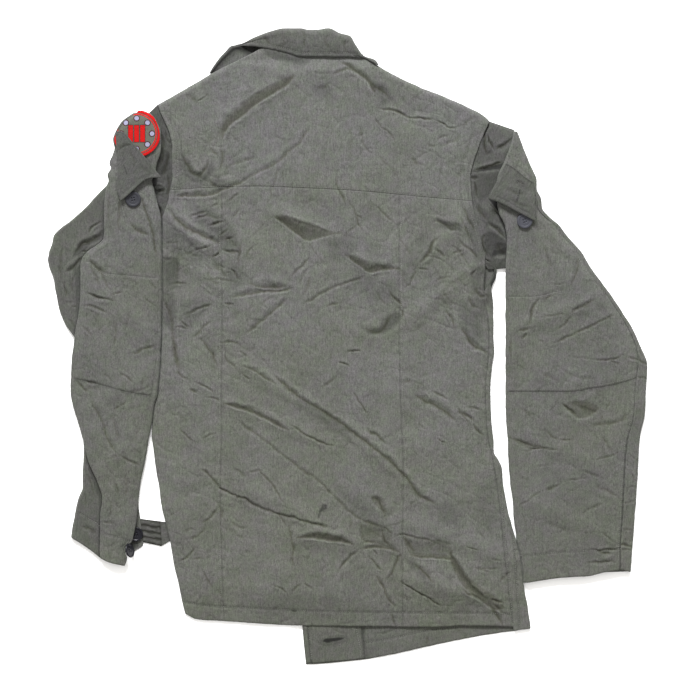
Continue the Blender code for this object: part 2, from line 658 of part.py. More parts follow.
def flap_r_rows():
    rows = []
    for v in steps(6):
        row = []
        for u in steps(7):
            x, y = mix(along(FLAP_R[:4], u), along(FLAP_R[4:], u), v)
            inside = max(x, at(SLEEVE_R_FOLD, y) + 2.0)
            z = sleeve_r_height(min(inside, 528), y) + 1.6 + 3.6 * smooth(v * 1.1)
            row.append((x, y, z))
        rows.append(row)
    return rows


def flap_l_rows():
    rows = []
    for u in steps(7):
        row = []
        for v in steps(6):
            x, y = mix(along(FLAP_L[4:], u), along(FLAP_L[:4], u), v)
            inside = min(max(x, at(SLEEVE_L_OUT, y) + 4.0), at(SLEEVE_L_IN, y) - 4.0)
            z = sleeve_l_height(inside, y) + 3.35 + 2.2 * smooth(u)
            row.append((x, y, z))
        rows.append(row)
    return rows


shell("sleeve_flap_right", flap_r_rows(), THIN)
shell("sleeve_flap_left", flap_l_rows(), THIN)


def badge_rows():
    """Round cloth badge over the sleeve's top edge, its lower left part under
    the flap; the part past the sleeve's outline is turned down with it."""
    rows = []
    for v in steps(7, 0.0, 1.0):
        row = []
        for u in steps(7, 0.0, 1.0):
            a, b = 2.0 * u - 1.0, 2.0 * v - 1.0
            # square to disc
            dx = a * math.sqrt(max(0.0, 1.0 - b * b / 2.0))
            dy = b * math.sqrt(max(0.0, 1.0 - a * a / 2.0))
            x, y = BADGE_C[0] + BADGE_R * dx * 0.96, BADGE_C[1] + BADGE_R * dy * 0.96
            top = at(((114, 134), (120, 124), (134, 113.5), (146, 111.5), (162, 115)), x) + 1.2
            y = max(y, top + 0.25 * (y - BADGE_C[1] + BADGE_R))
            y = min(y, BADGE_C[1] + BADGE_R)
            out = at(SLEEVE_L_OUT, y) + 1.0
            x = max(x, out + 0.12 * (x - BADGE_C[0] + BADGE_R))
            x = min(x, at(SLEEVE_L_IN, y) - 0.6)
            drop = 1.0 - smooth((y - top) / 4.0)
            z = sleeve_l_height(min(max(x, out + 2), at(SLEEVE_L_IN, y) - 2.5), y) + 2.0 - 0.1 * drop
            row.append((x, y, z))
        rows.append(row)
    return rows


shell("sleeve_badge", badge_rows(), THIN, (0.30, 0.05, 0.04), 0.8)


# ---------------------------------------------------------------- buttons
def button(name, x, y, z, radius, tilt=0.0, heading=0.0, colour=(0.05, 0.055, 0.065), sides=12):
    """A turned button: flat back, rounded rim, dished face.  z is its underside."""
    profile = ((0.0, BUTTON_H * 0.62), (radius * 0.62, BUTTON_H * 0.62), (radius * 0.76, BUTTON_H),
               (radius * 0.93, BUTTON_H * 0.9), (radius, BUTTON_H * 0.5), (radius * 0.9, 0.0), (0.0, 0.0))
    bm = bmesh.new()
    rings = []
    for r, h in profile:
        if r == 0.0:
            rings.append([bm.verts.new((0, 0, h * MM))])
        else:
            rings.append([bm.verts.new((r * MM * math.cos(2 * math.pi * k / sides),
                                        r * MM * math.sin(2 * math.pi * k / sides), h * MM)) for k in range(sides)])
    for a, b in zip(rings, rings[1:]):
        for k in range(sides):
            n = (k + 1) % sides
            if len(a) == 1:
                bm.faces.new((a[0], b[k], b[n]))
            elif len(b) == 1:
                bm.faces.new((a[k], b[0], a[n]))
            else:
                bm.faces.new((a[k], b[k], b[n], a[n]))
    bmesh.ops.recalc_face_normals(bm, faces=bm.faces)
    mesh = bpy.data.meshes.new(name)
    bm.to_mesh(mesh)
    bm.free()
    if mesh_volume(mesh) < 0:
        mesh.flip_normals()
    mesh.shade_smooth()
    mesh.set_sharp_from_angle(angle=math.radians(35))
    ob = bpy.data.objects.new(name, mesh)
    ob.location = place(x, y, z)
    ob.rotation_euler = (0.0, tilt, heading)
    ob.data.materials.append(material("m_" + name, colour, 0.45))
    bpy.context.scene.collection.objects.link(ob)
    return ob


button("flap_button_right", 524.5, 221.0, sleeve_r_height(524.5, 221) + 1.1, FLAP_BUTTON_R * 0.97)
button("flap_button_left", 133.5, 199.5, sleeve_l_height(133.5, 199) + 1.1, FLAP_BUTTON_R * 0.97, 0.0, 0.0)
for k, y in enumerate((150.0, 262.0, 374.0, 486.0, 598.0)):
    button("front_button_%d" % (k + 1), 326.0, y, WALL + 0.3 + THIN + 0.3, FRONT_BUTTON_R, sides=8)

# ---------------------------------------------------------------- left cuff: extension, tab, two buttons
EXTENSION = ((500.0, 130.6, 137.8), (508.0, 130.0, 138.2), (519.0, 128.6, 139.4), (530.0, 127.4, 141.6),
             (545.0, 126.0, 142.6), (551.5, 124.0, 134.0))


def extension_rows():
    rows = []
    for y, x0, x1 in EXTENSION:
        rows.append([(x0 + (x1 - x0) * t, y, FLOOR) for t in (0.0, 0.5, 1.0)])
    return rows


shell("cuff_extension_left", extension_rows())


def tab_rows():
    rows = []
    for t in (0.0, 0.45, 0.8, 1.0):
        x0, y0 = 140.6 + (162.4 - 140.6) * t, 519.5 + 3.6 * t
        x1, y1 = 143.6 + (166.6 - 143.6) * t - (4.5 if t == 1.0 else 0.0), 542.0 + 3.4 * t
        rows.append([(x0 + (x1 - x0) * s, y0 + (y1 - y0) * s, FLOOR + 0.0) for s in (0.0, 0.5, 1.0)])
    return rows


shell("cuff_tab_left", tab_rows(), WALL, (0.12, 0.125, 0.11))
button("cuff_button_left_1", 135.6, 534.5, WALL + 0.3, CUFF_BUTTON_R, colour=(0.02, 0.022, 0.03))
button("cuff_button_left_2", 129.5, 550.5, 9.6, CUFF_BUTTON_R, math.radians(62), math.radians(14),
       colour=(0.02, 0.022, 0.03))
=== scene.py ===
"""Looks of the cotton field jacket, laid flat face down, back uppermost.

Every panel is a thin closed shell on its solid's form.  The plan is set out
on the same lay chart as the solids: one chart unit is 1.25 mm, chart x runs
to the right, chart y runs down from collar to hem, heights are millimetres.
The creases are soft troughs and ridges, each given as a row of a
table: height, width on its upper or left side, width on the other side, and
the line that it follows.
"""
import math

import bpy
import numpy as np
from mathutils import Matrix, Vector


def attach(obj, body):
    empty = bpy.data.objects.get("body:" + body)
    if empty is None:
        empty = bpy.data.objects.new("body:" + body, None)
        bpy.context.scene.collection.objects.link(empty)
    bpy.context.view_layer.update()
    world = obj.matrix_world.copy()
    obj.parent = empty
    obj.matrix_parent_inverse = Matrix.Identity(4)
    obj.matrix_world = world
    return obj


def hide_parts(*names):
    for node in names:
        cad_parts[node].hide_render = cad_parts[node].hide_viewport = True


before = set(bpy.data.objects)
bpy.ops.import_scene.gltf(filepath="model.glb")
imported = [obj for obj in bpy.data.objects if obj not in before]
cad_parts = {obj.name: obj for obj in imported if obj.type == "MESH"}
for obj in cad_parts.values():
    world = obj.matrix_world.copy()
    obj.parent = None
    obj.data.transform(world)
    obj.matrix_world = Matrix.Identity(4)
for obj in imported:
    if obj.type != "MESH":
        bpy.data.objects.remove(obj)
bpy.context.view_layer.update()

# ---------------------------------------------------------------- sizes
UNIT = 0.00125
CHART_X, CHART_Y = 347.8, 346.0
MM = 0.001
WALL = 1.2
THIN = 0.9
SEAM = 0.16
SEAM_U = SEAM * MM / UNIT / 2.0
FLOOR = WALL / 2.0
EDGE_TOP = 4.2
MID_TOP = 9.1
SIDE_TOP = 6.4
FLAP_BUTTON_R = 9.7
CUFF_BUTTON_R = 9.0
BUTTON_H = 2.2
BADGE_R = 24.0
BADGE_C = (137.0, 134.0)
CREASE_GAIN = 1.3
DEEPEST = 2.8

# ---------------------------------------------------------------- outlines
ARMHOLE_L = ((104, 157.6), (112, 160.5), (122, 165), (135, 170.5), (150, 172.5), (175, 172.5),
             (190, 170.5), (202, 168), (211, 165), (218, 162.5), (228, 162.2))
BODY_L = ((190, 170.5), (202, 168), (211, 165), (218, 162.7), (300, 162.2), (350, 161.4), (395, 157.4),
          (408, 154), (436, 152), (444, 153), (468, 156), (484, 159), (508, 162), (516, 164),
          (540, 170), (564, 174), (580, 178), (596, 181), (614, 185.5), (625, 188))
ARMHOLE_R = ((121, 489.5), (132, 484.5), (150, 477.5), (165, 472.5), (176, 470.3), (190, 471),
             (208, 473), (235, 480), (250, 483), (258, 486), (268, 490), (287, 491))
BODY_R = ((287, 491), (308, 493), (340, 493.2), (350, 493.8), (364, 492), (388, 490), (420, 491),
          (440, 493), (453, 494), (460, 498), (468, 501.5), (482, 502.5), (492, 504), (508, 507),
          (524, 511), (537, 515), (555, 520), (588, 524), (604, 527), (628, 530.4))
SIDE_SEAM_R = ((198, 471.6), (208, 473), (235, 480), (250, 483), (258, 485), (268, 485), (285, 483.5),
               (305, 485.5), (330, 489), (350, 489), (388, 485.5), (420, 486.5), (440, 488.5), (460, 493),
               (485, 497), (520, 501), (560, 505), (625, 513), (640, 515))
PRINCESS_L = ((180, 222), (350, 222), (433, 221.4), (486, 220.5), (560, 222), (640, 224.5))
PRINCESS_R = ((180, 399), (350, 399.5), (417, 401.3), (475, 403.6), (540, 402.5), (640, 403))
FRONT_EDGE_R = ((60, 300), (600, 301.5), (626, 302.5), (664, 306))
YOKE_TOP = ((157.6, 104.5), (180, 92), (210, 74.5), (236, 61.5), (252, 53.4), (262, 48.2), (269, 47.4), (290, 50.5), (320, 51),
            (350, 53.5), (366, 58.5), (379, 66.5), (420, 87), (440, 95), (470, 108), (485, 116.5),
            (489.5, 121))
YOKE_SEAM = ((165, 190.3), (210, 188), (254, 186.5), (308, 188.5), (350, 190.5), (428, 197.5), (474, 201.3))
HEM = ((180, 612), (186, 614.5), (196, 619), (222, 621), (302, 625.5), (358, 626), (430, 627),
       (465, 625.5), (498, 626), (531, 628))
FRONT_HEM_R = ((300, 664), (306, 664.5), (345, 662), (362, 660), (400, 653), (430, 646), (460, 640),
               (490, 634.5), (531, 628.5))
COLLAR_TOP = ((235.5, 44.6), (239, 44.2), (255, 37), (271, 31), (284, 28), (300, 28), (309, 29.6),
              (318, 29.4), (328.5, 28), (340, 33), (350, 36), (355, 44), (364, 56), (375, 60), (378.5, 64.3))
COLLAR_EDGE = ((235.5, 45.6), (252, 46.2), (265, 48), (278, 50.5), (290, 53.5), (300, 56.5), (345, 57),
               (362, 58), (370, 61), (378.5, 65.5))
SLEEVE_R_FOLD = ((131.5, 514), (140, 512.6), (161, 505), (180, 497.5), (199, 497.5), (213, 499.5),
                 (225, 505), (240, 507.5), (257, 506.8), (268, 506), (412, 506), (436, 508),
                 (460, 509), (484, 511), (500, 513), (520, 514.4), (530, 516), (540, 518.4), (555, 522.4),
                 (588, 526))
SLEEVE_R_OUT = ((131.5, 517.2), (145, 522), (158, 527.5), (171, 533), (180, 536.4), (188, 536.4),
                (199, 541), (208, 542), (217, 549), (224.5, 558), (236, 567), (252, 581), (268, 591),
                (300, 614), (332, 634), (348, 641), (364, 647), (388, 646), (412, 645), (436, 640),
                (484, 637), (524, 634), (572, 630.5))
HIND_SEAM_R = ((131.5, 515.6), (145, 518.5), (158, 523.5), (171, 529), (180, 532.4), (188, 532.4),
               (199, 537), (208, 538), (217, 545), (224.5, 554), (236, 563), (252, 577), (268, 587),
               (300, 610), (332, 630), (348, 636.5), (363, 638.5), (374, 637), (417, 633.5),
               (444, 627), (475, 624.6), (515, 622.8), (551, 620.8), (583, 620.8))
CUFF_R = ((516, 583), (524, 582.6), (544, 580), (557.6, 577.7), (586.6, 576), (605.6, 572), (621, 570),
          (631, 572))
SLEEVE_L_OUT = ((113, 134), (122, 122), (132, 116), (140, 113.5), (148, 115), (155, 113), (164, 110),
                (168, 111.5), (175, 107.7), (181, 109), (186, 107), (198, 105.4), (211, 104.5),
                (229, 104.5), (238, 104), (247, 95), (250, 90), (258, 83), (265, 81), (290, 81),
                (315, 79), (335, 75), (345, 74), (362, 72), (390, 71), (404, 73), (420, 78), (437, 83),
                (462, 89), (482, 98), (497, 102.5), (524, 100.4), (566, 100.4))
SLEEVE_L_IN = ((113, 150), (122, 157), (134, 160.5), (150, 160.5), (165, 156), (174, 155), (180, 151.5),
               (189, 153.5), (200, 156.3), (219, 160.6), (238, 161.5), (277, 161.6), (300, 161.4), (340, 160.7),
               (359, 159.2), (389, 155.2), (405, 153), (424, 151), (436, 149), (460, 145), (484, 140),
               (502, 138), (520, 136), (530, 134.5), (541, 131.8), (547, 126.6), (553, 125), (558, 126.6),
               (566, 124.5))
UNDER_L_OUT = ((113, 138), (122, 126), (140, 117.5), (164, 114.5), (180, 112.5), (186, 106), (192, 100),
               (204, 89), (213, 80), (223, 68), (228, 61), (236, 54), (244, 52), (252, 49), (260, 48),
               (268, 50), (276, 53), (292, 56), (311, 60), (325, 66), (332, 71), (338, 75), (345, 77),
               (390, 75), (420, 80), (437, 83), (446, 84), (470, 83), (488, 82.6), (500, 78), (516, 75),
               (537.5, 71.4), (566, 71.4))
CUFF_L = ((71.4, 538), (88, 548), (99, 557), (106, 561), (116, 564), (124.5, 565.6), (130, 566))
FOLD_LOW_R = ((131, 4.9), (262, 4.9), (270, 4.9), (280, 0.6), (600, 0.6))
FOLD_LOW_L_IN = ((110, 5.4), (185, 5.4), (219, 5.2), (232, 2.0), (484, 2.0), (502, 5.2), (600, 5.2))
SLEEVE_R_TOP = ((120, 8.0), (200, 8.6), (270, 8.0), (400, 7.6), (600, 6.2))
SLEEVE_L_TOP = ((110, 6.4), (122, 9.2), (200, 9.8), (300, 9.4), (480, 9.2), (566, 8.4))
ELBOW_R_TOP = ((507, 297), (530, 297), (545, 295), (556, 292), (600, 292), (640, 292))
ELBOW_R_BOTTOM = ((506, 391.5), (570, 391.5), (590, 388.5), (610, 385.5), (636, 378), (650, 372))
ELBOW_L_TOP = ((75, 262), (88, 262), (100, 270), (107, 273.6), (125, 275.5), (161, 278.8))
ELBOW_L_BOTTOM = ((70, 378), (84, 380.5), (107, 386.4), (126, 391.5), (160, 397))
# front's edge down the armhole, out of sight under the sleeve's head
FRONT_ARM_R = ((90, 478), (160, 468), (200, 468), (235, 474), (250, 478), (262, 486), (268, 497),
               (273, 497.5), (280, 494.5), (286, 492), (292, 491.2))

# broad folds of each layer: chart ends, half width, height
FOLD_COLUMNS = ("x0", "y0", "x1", "y1", "half", "rise")
BODY_FOLDS = (
    (293, 77, 224, 128, 14, 1.6), (345, 66, 378, 100, 12, 1.4), (224, 128, 218, 180, 13, 1.2),
    (268, 208, 335, 236, 13, 2.0), (168, 214, 236, 268, 14, 2.2), (172, 250, 246, 306, 13, 1.6),
    (474, 216, 408, 268, 15, 1.8), (480, 262, 398, 330, 14, 1.6), (241, 366, 352, 430, 13, 1.8),
    (350, 428, 440, 508, 13, 1.6), (223, 404, 337, 446, 12, 1.4), (199, 470, 335, 530, 14, 1.8),
    (292, 536, 352, 542, 14, 2.0), (400, 520, 512, 560, 15, 2.0), (360, 566, 500, 604, 14, 1.6))
SLEEVE_R_FOLDS = (
    (512, 330, 600, 300, 14, 1.6), (520, 430, 600, 470, 15, 1.8), (540, 240, 600, 330, 13, 1.4),
    (520, 500, 620, 540, 14, 1.2))
SLEEVE_L_FOLDS = (
    (88, 280, 156, 340, 13, 1.4), (86, 410, 150, 372, 13, 1.4), (100, 470, 140, 440, 12, 1.2))
BULGE_FOLDS = ((56, 250, 84, 300, 12, 1.6), (84, 212, 104, 236, 9, -0.8))

# ---------------------------------------------------------------- creases
# each row: height mm (minus for a trough), width above or left, width below
# or right, then the line as x, y, x, y ...
YOKE_CREASES = (
    (-1.8, 11, 2.5, (296, 77, 283, 87, 262, 99, 250, 108, 240, 117, 230, 124, 224, 133, 221, 143)),
    (-0.6, 2, 3, (272, 101, 258, 106, 248, 113, 238, 121)),
    (-0.7, 1.5, 1.5, (208, 93, 197, 103)),
    (-0.5, 5, 5, (183, 96, 192, 98, 198, 106)),
    (-1.6, 4, 3, (180, 152, 186, 163, 192, 173, 200, 176, 206, 168, 210, 158)),
    (-0.7, 3, 3, (208, 148, 214, 153, 218, 158)),
    (-0.8, 3, 5, (221, 143, 222, 155, 221, 168, 219, 176)),
    (-1.0, 3, 2, (211, 176, 212, 184, 218, 188, 228, 187)),
    (-0.8, 4, 2, (313, 125, 305, 135, 298, 145, 288, 153, 279, 162, 262, 170, 250, 177, 238, 184)),
    (-1.1, 4, 2, (250, 177, 238, 184, 228, 188, 213, 194, 195, 196, 172, 196)),
    (-0.5, 3, 3, (260, 157, 240, 162, 228, 168, 224, 173)),
    (-0.5, 3, 3, (279, 163, 277, 176, 272, 190, 270, 200, 262, 208)),
    (-0.3, 2, 2, (283, 162, 283, 186, 285, 205)),
    (-1.5, 3, 3, (341, 62, 350, 67, 360, 74, 369, 81, 373, 89, 377, 97)),
    (-0.9, 2, 4, (331, 76, 338, 72, 348, 69.5, 358, 73)),
    (-1.2, 6, 5, (366, 82, 380, 90, 392, 99)),
    (-0.5, 5, 5, (315, 88, 330, 86)),
    (-1.1, 1.6, 2.2, (374, 108, 385, 109, 394, 110, 402, 114, 408, 117, 420, 118, 430, 119, 436, 120)),
    (-0.9, 1.6, 2, (434, 121, 442, 123, 448, 127, 455, 127.5, 460, 126)),
    (-0.6, 2, 2, (370, 113, 376, 119, 381, 127, 388, 132, 395, 141, 400, 148)),
    (-0.5, 2, 2, (436, 138, 443, 137, 449, 135)),
    (-0.5, 2, 2, (426, 141, 430, 146, 438, 146)),
    (-0.6, 5, 5, (462, 132, 455, 140, 440, 147)),
    (-0.5, 1.5, 1.5, (335, 109, 341, 107)),
    (-0.3, 3, 3, (343, 115, 348, 128, 351, 140, 350, 165)),
    (-0.4, 3, 3, (357, 125, 362, 137, 365, 146, 375, 158)),
    (-0.35, 4, 4, (373, 150, 385, 162, 394, 172, 401, 185)),
    (-0.35, 3, 3, (408, 152, 415, 162, 425, 172)),
    (-0.3, 3, 3, (440, 150, 441, 165, 438, 185)),
    (-0.4, 3, 3, (455, 127, 465, 125, 477, 113)),
    (-0.9, 2, 2, (335, 172, 337, 185, 342, 196, 345.5, 203, 347.5, 210)),
)
BODY_CREASES = YOKE_CREASES[8:13] + YOKE_CREASES[-1:] + (
    # upper left
    (-1.8, 9, 2, (274, 216.5, 289, 227.5, 300, 236, 308, 240.3)),
    (0.6, 4, 2, (283, 215, 305, 222, 335, 233)),
    (-0.4, 2, 2, (273, 217.5, 268, 221, 259, 229, 251, 239, 244, 247)),
    (-0.9, 1.5, 1.5, (255, 243, 250.5, 249.5, 248, 253, 244.5, 261)),
    (-1.8, 4, 5, (170, 211, 178, 220, 185, 226, 193, 231, 203, 235, 214, 241, 221, 245)),
    (-1.0, 2, 2, (188, 217.5, 196, 214.5, 205, 211.5, 209, 212)),
    (-0.9, 2, 2, (194, 220, 200, 217, 210, 213.5)),
    (-1.2, 2, 2, (207.5, 228, 210, 226, 217, 223.3, 227, 220)),
    (-0.7, 3, 3, (203, 216, 212, 217, 221, 220)),
    (-0.9, 2, 2, (218, 236.5, 223.5, 232.5, 230, 228)),
    (-0.8, 1.6, 1.6, (226, 239.5, 234, 237)),
    (-0.7, 1.6, 1.6, (232.5, 217, 235.5, 213.5, 239.5, 208)),
    (-0.7, 1.8, 1.8, (227, 202.5, 232.5, 198, 240, 192)),
    (-0.7, 2, 2, (210, 207.5, 219, 204)),
    (-0.6, 2, 2, (163, 245, 172, 242.5, 183, 241.5)),
    (-0.7, 2, 2, (181, 253.5, 189, 253.3, 194, 250.8, 201, 249, 210, 245.5, 219, 243)),
    (-0.5, 1.6, 1.6, (186, 253.5, 194, 256.3, 203, 257.3)),
    (-0.5, 1.5, 1.5, (188, 249, 193.5, 243.5)),
    (-1.0, 1.6, 1.6, (213, 257, 220, 252.5)),
    (-1.2, 2, 2, (221, 250, 228, 251.5, 233, 251, 239, 251)),
    (-1.0, 2, 2, (228, 254, 234, 253, 238, 252, 240, 256)),
    (-0.8, 2, 2, (239.5, 240, 239.8, 252, 238, 262, 239, 270)),
    (-1.0, 2, 2, (230, 268, 235, 273, 240.5, 281.5)),
    (-0.6, 1.5, 1.5, (220, 267, 224, 274, 228, 280)),
    (-0.6, 1.5, 1.5, (226, 273.2, 230.5, 272)),
    (-0.8, 1.8, 1.8, (171, 284.5, 178, 283.3, 188.5, 283.5)),
    (-0.6, 2, 2, (162, 259, 175, 259)),
    (-0.5, 6, 3, (176, 259, 177, 270, 176, 284)),
    (0.6, 2, 2, (199, 283, 207, 289, 213, 294)),
    (-0.6, 1.8, 1.8, (210, 279, 219, 279, 226, 280.5, 233, 281.3, 240, 282.5)),
    (-1.5, 7, 2, (228, 299.5, 233, 297.7, 246, 295, 260, 292, 270, 291.5, 281, 291.3, 290, 289.3, 297, 288.5)),
    (-0.8, 7, 1.5, (250, 282.5, 254, 285.3, 261, 287, 269, 287.5, 279, 287.5, 286, 284.5)),
    (0.7, 1.5, 1.5, (253, 286.5, 262, 288.7, 273, 289.8, 283, 289, 293, 287.5)),
    (-0.9, 2, 3, (289, 283, 292.5, 275, 300.5, 267.5, 308, 259, 313, 254.5)),
    (-0.5, 2, 2, (297, 287, 302, 279, 306, 271, 312, 265)),
    (-0.7, 2, 2, (301, 298, 306, 291.5, 308.5, 285, 310, 274)),
    (-0.4, 2, 2, (306, 240, 312, 248, 322, 262, 330, 269)),
    (-0.9, 2.5, 2, (300, 307, 310, 300.5, 320, 294, 330, 289.5, 340, 285, 350, 282, 360, 278.3, 367, 272.5)),
    (-1.1, 5, 2, (244, 336.5, 251, 330.5, 260, 322.5, 269, 315, 277, 308.5, 283, 303, 291, 297)),
    (-0.6, 2, 2, (260, 306.5, 268, 299.5, 275, 296.5)),
    (-1.0, 1.5, 1.5, (224, 303, 229, 303.7, 235, 305)),
    (-1.2, 2, 2, (182, 316, 189.5, 313, 198.5, 308.4, 210, 305, 217, 303.5)),
    (-1.1, 1.6, 1.6, (180, 320, 184, 324, 190, 327.3)),
    (-0.7, 1.6, 1.6, (174, 326.5, 183, 328, 190, 327.5)),
    (-0.5, 1.5, 1.5, (189.5, 319, 192.5, 327)),
    (-0.7, 2, 3, (191, 341, 199.5, 332.5, 204.5, 326.5, 214, 319.5)),
    (-0.7, 9, 8, (169, 300, 172, 325, 175, 348, 181, 376)),
    (-0.8, 2, 2, (163, 300, 167, 308, 171, 318)),
    # upper right
    (-0.8, 2, 2, (348, 198, 353, 209, 357, 217, 358.5, 224, 362, 230.5, 364.5, 236)),
    (-0.9, 1.2, 1.2, (356.5, 216, 362.5, 219)),
    (-0.6, 2, 2, (356, 224.5, 350, 230.5, 345, 237)),
    (-0.5, 1.5, 1.5, (335, 234.5, 343, 231)),
    (-0.8, 2, 2, (374, 203, 379, 209, 384, 214.5, 390, 219.5, 397, 225)),
    (-0.6, 2, 3, (398, 238, 402.5, 244, 407.5, 251, 412, 257)),
    (-0.6, 1.5, 1.5, (403.5, 222.5, 410, 216.5)),
    (-1.3, 5, 2, (430, 223.5, 437, 221.5, 445, 225, 451, 230, 462, 230)),
    (-0.9, 7, 7, (441, 224, 452, 226, 461, 224)),
    (-1.3, 2.5, 3, (443, 234, 437, 238.5, 432, 244.5, 429, 252, 422, 261, 417, 269)),
    (-0.8, 2, 2, (417, 269, 413.5, 277, 409, 284, 402, 290)),
    (-0.9, 1.5, 1.5, (418, 268, 424, 269.5, 430, 270.5)),
    (-0.6, 1.5, 1.5, (406, 286.5, 411, 285.6, 416.5, 289)),
    (-0.7, 2, 2, (435, 248, 440.5, 253.5, 446, 259)),
    (-0.8, 1.6, 1.6, (454, 254, 463.5, 251)),
    (-1.8, 7, 1.6, (345, 254, 354, 261.5, 361, 266.5, 369.5, 271.8, 380, 270, 391, 269.6, 400, 268.5)),
    (-1.2, 1.8, 2.2, (388, 288, 391, 294, 396, 299, 401, 304, 404, 309)),
    (-0.5, 2, 2, (375, 290, 381, 299, 389, 307)),
    (-1.2, 6, 6, (361, 327, 367, 329.5, 376, 332, 383, 329, 386, 323.5, 390, 318, 396, 312)),
    (-1.0, 2, 2, (400, 309, 403, 313, 402, 317)),
    (-0.6, 1.6, 1.6, (324, 307.5, 331, 305, 343, 302.5)),
    (-0.5, 1.5, 1.5, (345.3, 290, 350.4, 287.5)),
    (-1.0, 2, 3, (445, 308, 450, 316, 453.5, 323, 455, 332)),
    (-1.5, 3, 4, (459, 323, 465, 333, 471, 343, 478, 348.5, 485, 352, 487, 360)),
    (-0.8, 4, 4, (467, 296, 472, 305, 480, 308)),
    (-1.0, 3, 2, (475, 287, 477, 293, 482, 297, 488, 295)),
    (-0.8, 2, 2, (471, 280, 472, 274, 477, 269)),
    (-0.5, 1.5, 1.5, (441, 297, 450, 293)),
    (-0.5, 2, 2, (434, 286, 440, 279, 455, 276)),
    (-0.9, 3, 2, (463, 203, 466, 214, 472, 226, 478, 238)),
    (-0.7, 2, 2, (457, 212, 463, 224, 470, 238, 476, 250)),
    (-0.9, 2.5, 2, (456, 236, 464, 245, 472, 252, 481, 262)),
    (-0.6, 2, 2, (448, 243, 458, 250, 466, 262, 474, 268)),
    # middle left
    (-1.4, 3, 1.5, (240, 365.5, 247, 368, 255, 371, 262, 375.5, 270, 380.5, 280, 386.5)),
    (-1.45, 3, 5, (273, 374, 281, 381, 291, 390, 300, 397, 310, 403, 320, 409, 330, 416, 340, 422.5, 350, 430,
                  361, 438, 371, 445.5, 381, 453.5, 390, 460, 396, 467, 401, 472.5, 409, 481, 414, 489,
                  420, 495.5, 428, 500, 439, 506.5)),
    (-1.0, 1.3, 1.3, (241, 371.5, 245, 376, 251, 380)),
    (-0.8, 3, 3, (222, 352, 228, 361, 234, 367, 238, 373)),
    (-0.8, 1.8, 1.8, (216, 341.5, 222, 342.5, 229, 341.5, 236, 343, 242, 346.5)),
    (-0.6, 1.6, 1.6, (234, 350.5, 241, 352.5, 246, 356.5, 250, 360)),
    (-0.4, 2, 2, (261, 358.5, 271, 367.5)),
    (-1.8, 3.5, 1.8, (222, 402.5, 231, 405.5, 240, 408, 252, 412, 262, 416.5, 272, 421.5, 282, 427, 289, 430)),
    (-0.9, 2, 2, (206, 397, 212, 397, 217, 399, 222, 402)),
    (-1.1, 1.6, 1.8, (286, 425, 293, 426, 299, 430, 305, 435, 311, 437, 320, 441.3, 328, 444.3, 339, 446.5)),
    (-1.0, 1.8, 2, (192, 382, 201, 384.5, 207.5, 388.3, 212.5, 391.5, 216, 397)),
    (-0.9, 2, 2, (176, 370, 182, 376, 189, 381)),
    (-1.0, 2.5, 2.5, (189, 390, 197, 392.5)),
    (-1.2, 4, 4, (173, 338, 175, 352, 178, 370)),
    (-0.6, 1.5, 1.5, (177, 426, 186, 434.5, 198, 444.5)),
    (-0.8, 1.5, 1.5, (200, 439, 208, 436.3, 217.5, 432.5)),
    (-0.7, 2.5, 3, (236, 419, 252, 431, 264, 440.5, 280, 452.5, 294, 463, 306, 472, 320, 481.5, 330, 492.5,
                    339, 501, 348, 510, 358, 518, 366, 521.5, 374, 524, 386, 527)),
    (-0.7, 1.6, 1.6, (232, 467, 240, 472, 246, 478)),
    (-0.9, 1.6, 1.6, (245, 470, 252, 472.5, 258, 469.5, 262, 473.5, 271.5, 482.5, 277, 491.5, 282, 500, 287, 509)),
    (-0.9, 4, 4, (196, 335, 207, 347, 214, 358, 218, 370)),
    # middle right
    (-1.3, 1.3, 1.3, (345.5, 352, 353, 351, 362, 351.7)),
    (-1.3, 1.3, 1.3, (337, 361.5, 341, 363.2, 345.5, 364.3, 350.5, 366.3)),
    (-0.5, 1.5, 1.5, (330, 354, 332, 360.5)),
    (-0.8, 3, 3, (320, 388, 330, 382.5, 335, 378, 340, 375.5)),
    (-0.9, 1.5, 1.5, (350, 388.5, 355.5, 396, 361, 403.5, 365, 410, 367.5, 420)),
    (-1.1, 3, 4, (366, 426, 370, 432.5, 376, 434, 382, 440, 389, 445)),
    (-0.8, 2, 2, (430, 389, 437, 394, 443, 397, 451, 402)),
    (0.5, 2, 2, (425, 392, 432, 401)),
    (-1.2, 5, 5, (412, 393, 424, 400, 440, 408, 452, 418, 457, 424)),
    (-1.0, 2, 2, (456, 407, 461, 413, 465, 418, 468, 424)),
    (-1.5, 3, 3, (461, 411, 469, 417, 474, 421)),
    (-1.2, 2, 2, (473, 424, 478.5, 431.5, 484, 436.5)),
    (-0.8, 2, 2, (468, 407, 481, 409.3)),
    (-0.9, 1.3, 1.3, (436.5, 437.5, 441, 441.5, 447, 444)),
    (-0.5, 2, 2, (418, 423, 428, 431)),
    (-0.7, 3, 3, (401, 383, 413, 381)),
    # lower left
    (-1.1, 2, 3, (196, 469.5, 206, 471.5, 213, 479, 219, 486, 222, 489, 229, 492.5, 235, 495.5, 244, 498,
                  252, 503, 260, 507, 270, 511, 281, 514, 293, 517, 306, 521.3, 319, 524.5, 333, 527.8)),
    (-1.0, 1.8, 1.8, (274, 511.5, 280, 515.5, 283.5, 521, 287.5, 528)),
    (-0.6, 1.5, 1.5, (236, 498.5, 240, 495.3)),
    (-0.5, 1.5, 1.5, (233, 487.7, 235.6, 485)),
    (-0.9, 2, 3, (220, 506, 213.5, 513, 208, 519.5, 200, 524.5)),
    (-0.6, 1.6, 1.6, (184, 531.5, 194, 528.5)),
    (-0.7, 2, 2, (185, 538.5, 194, 537.5, 201, 533.5, 210, 528)),
    (-0.7, 1.5, 1.5, (170, 517.5, 175.5, 512.5, 180.5, 508)),
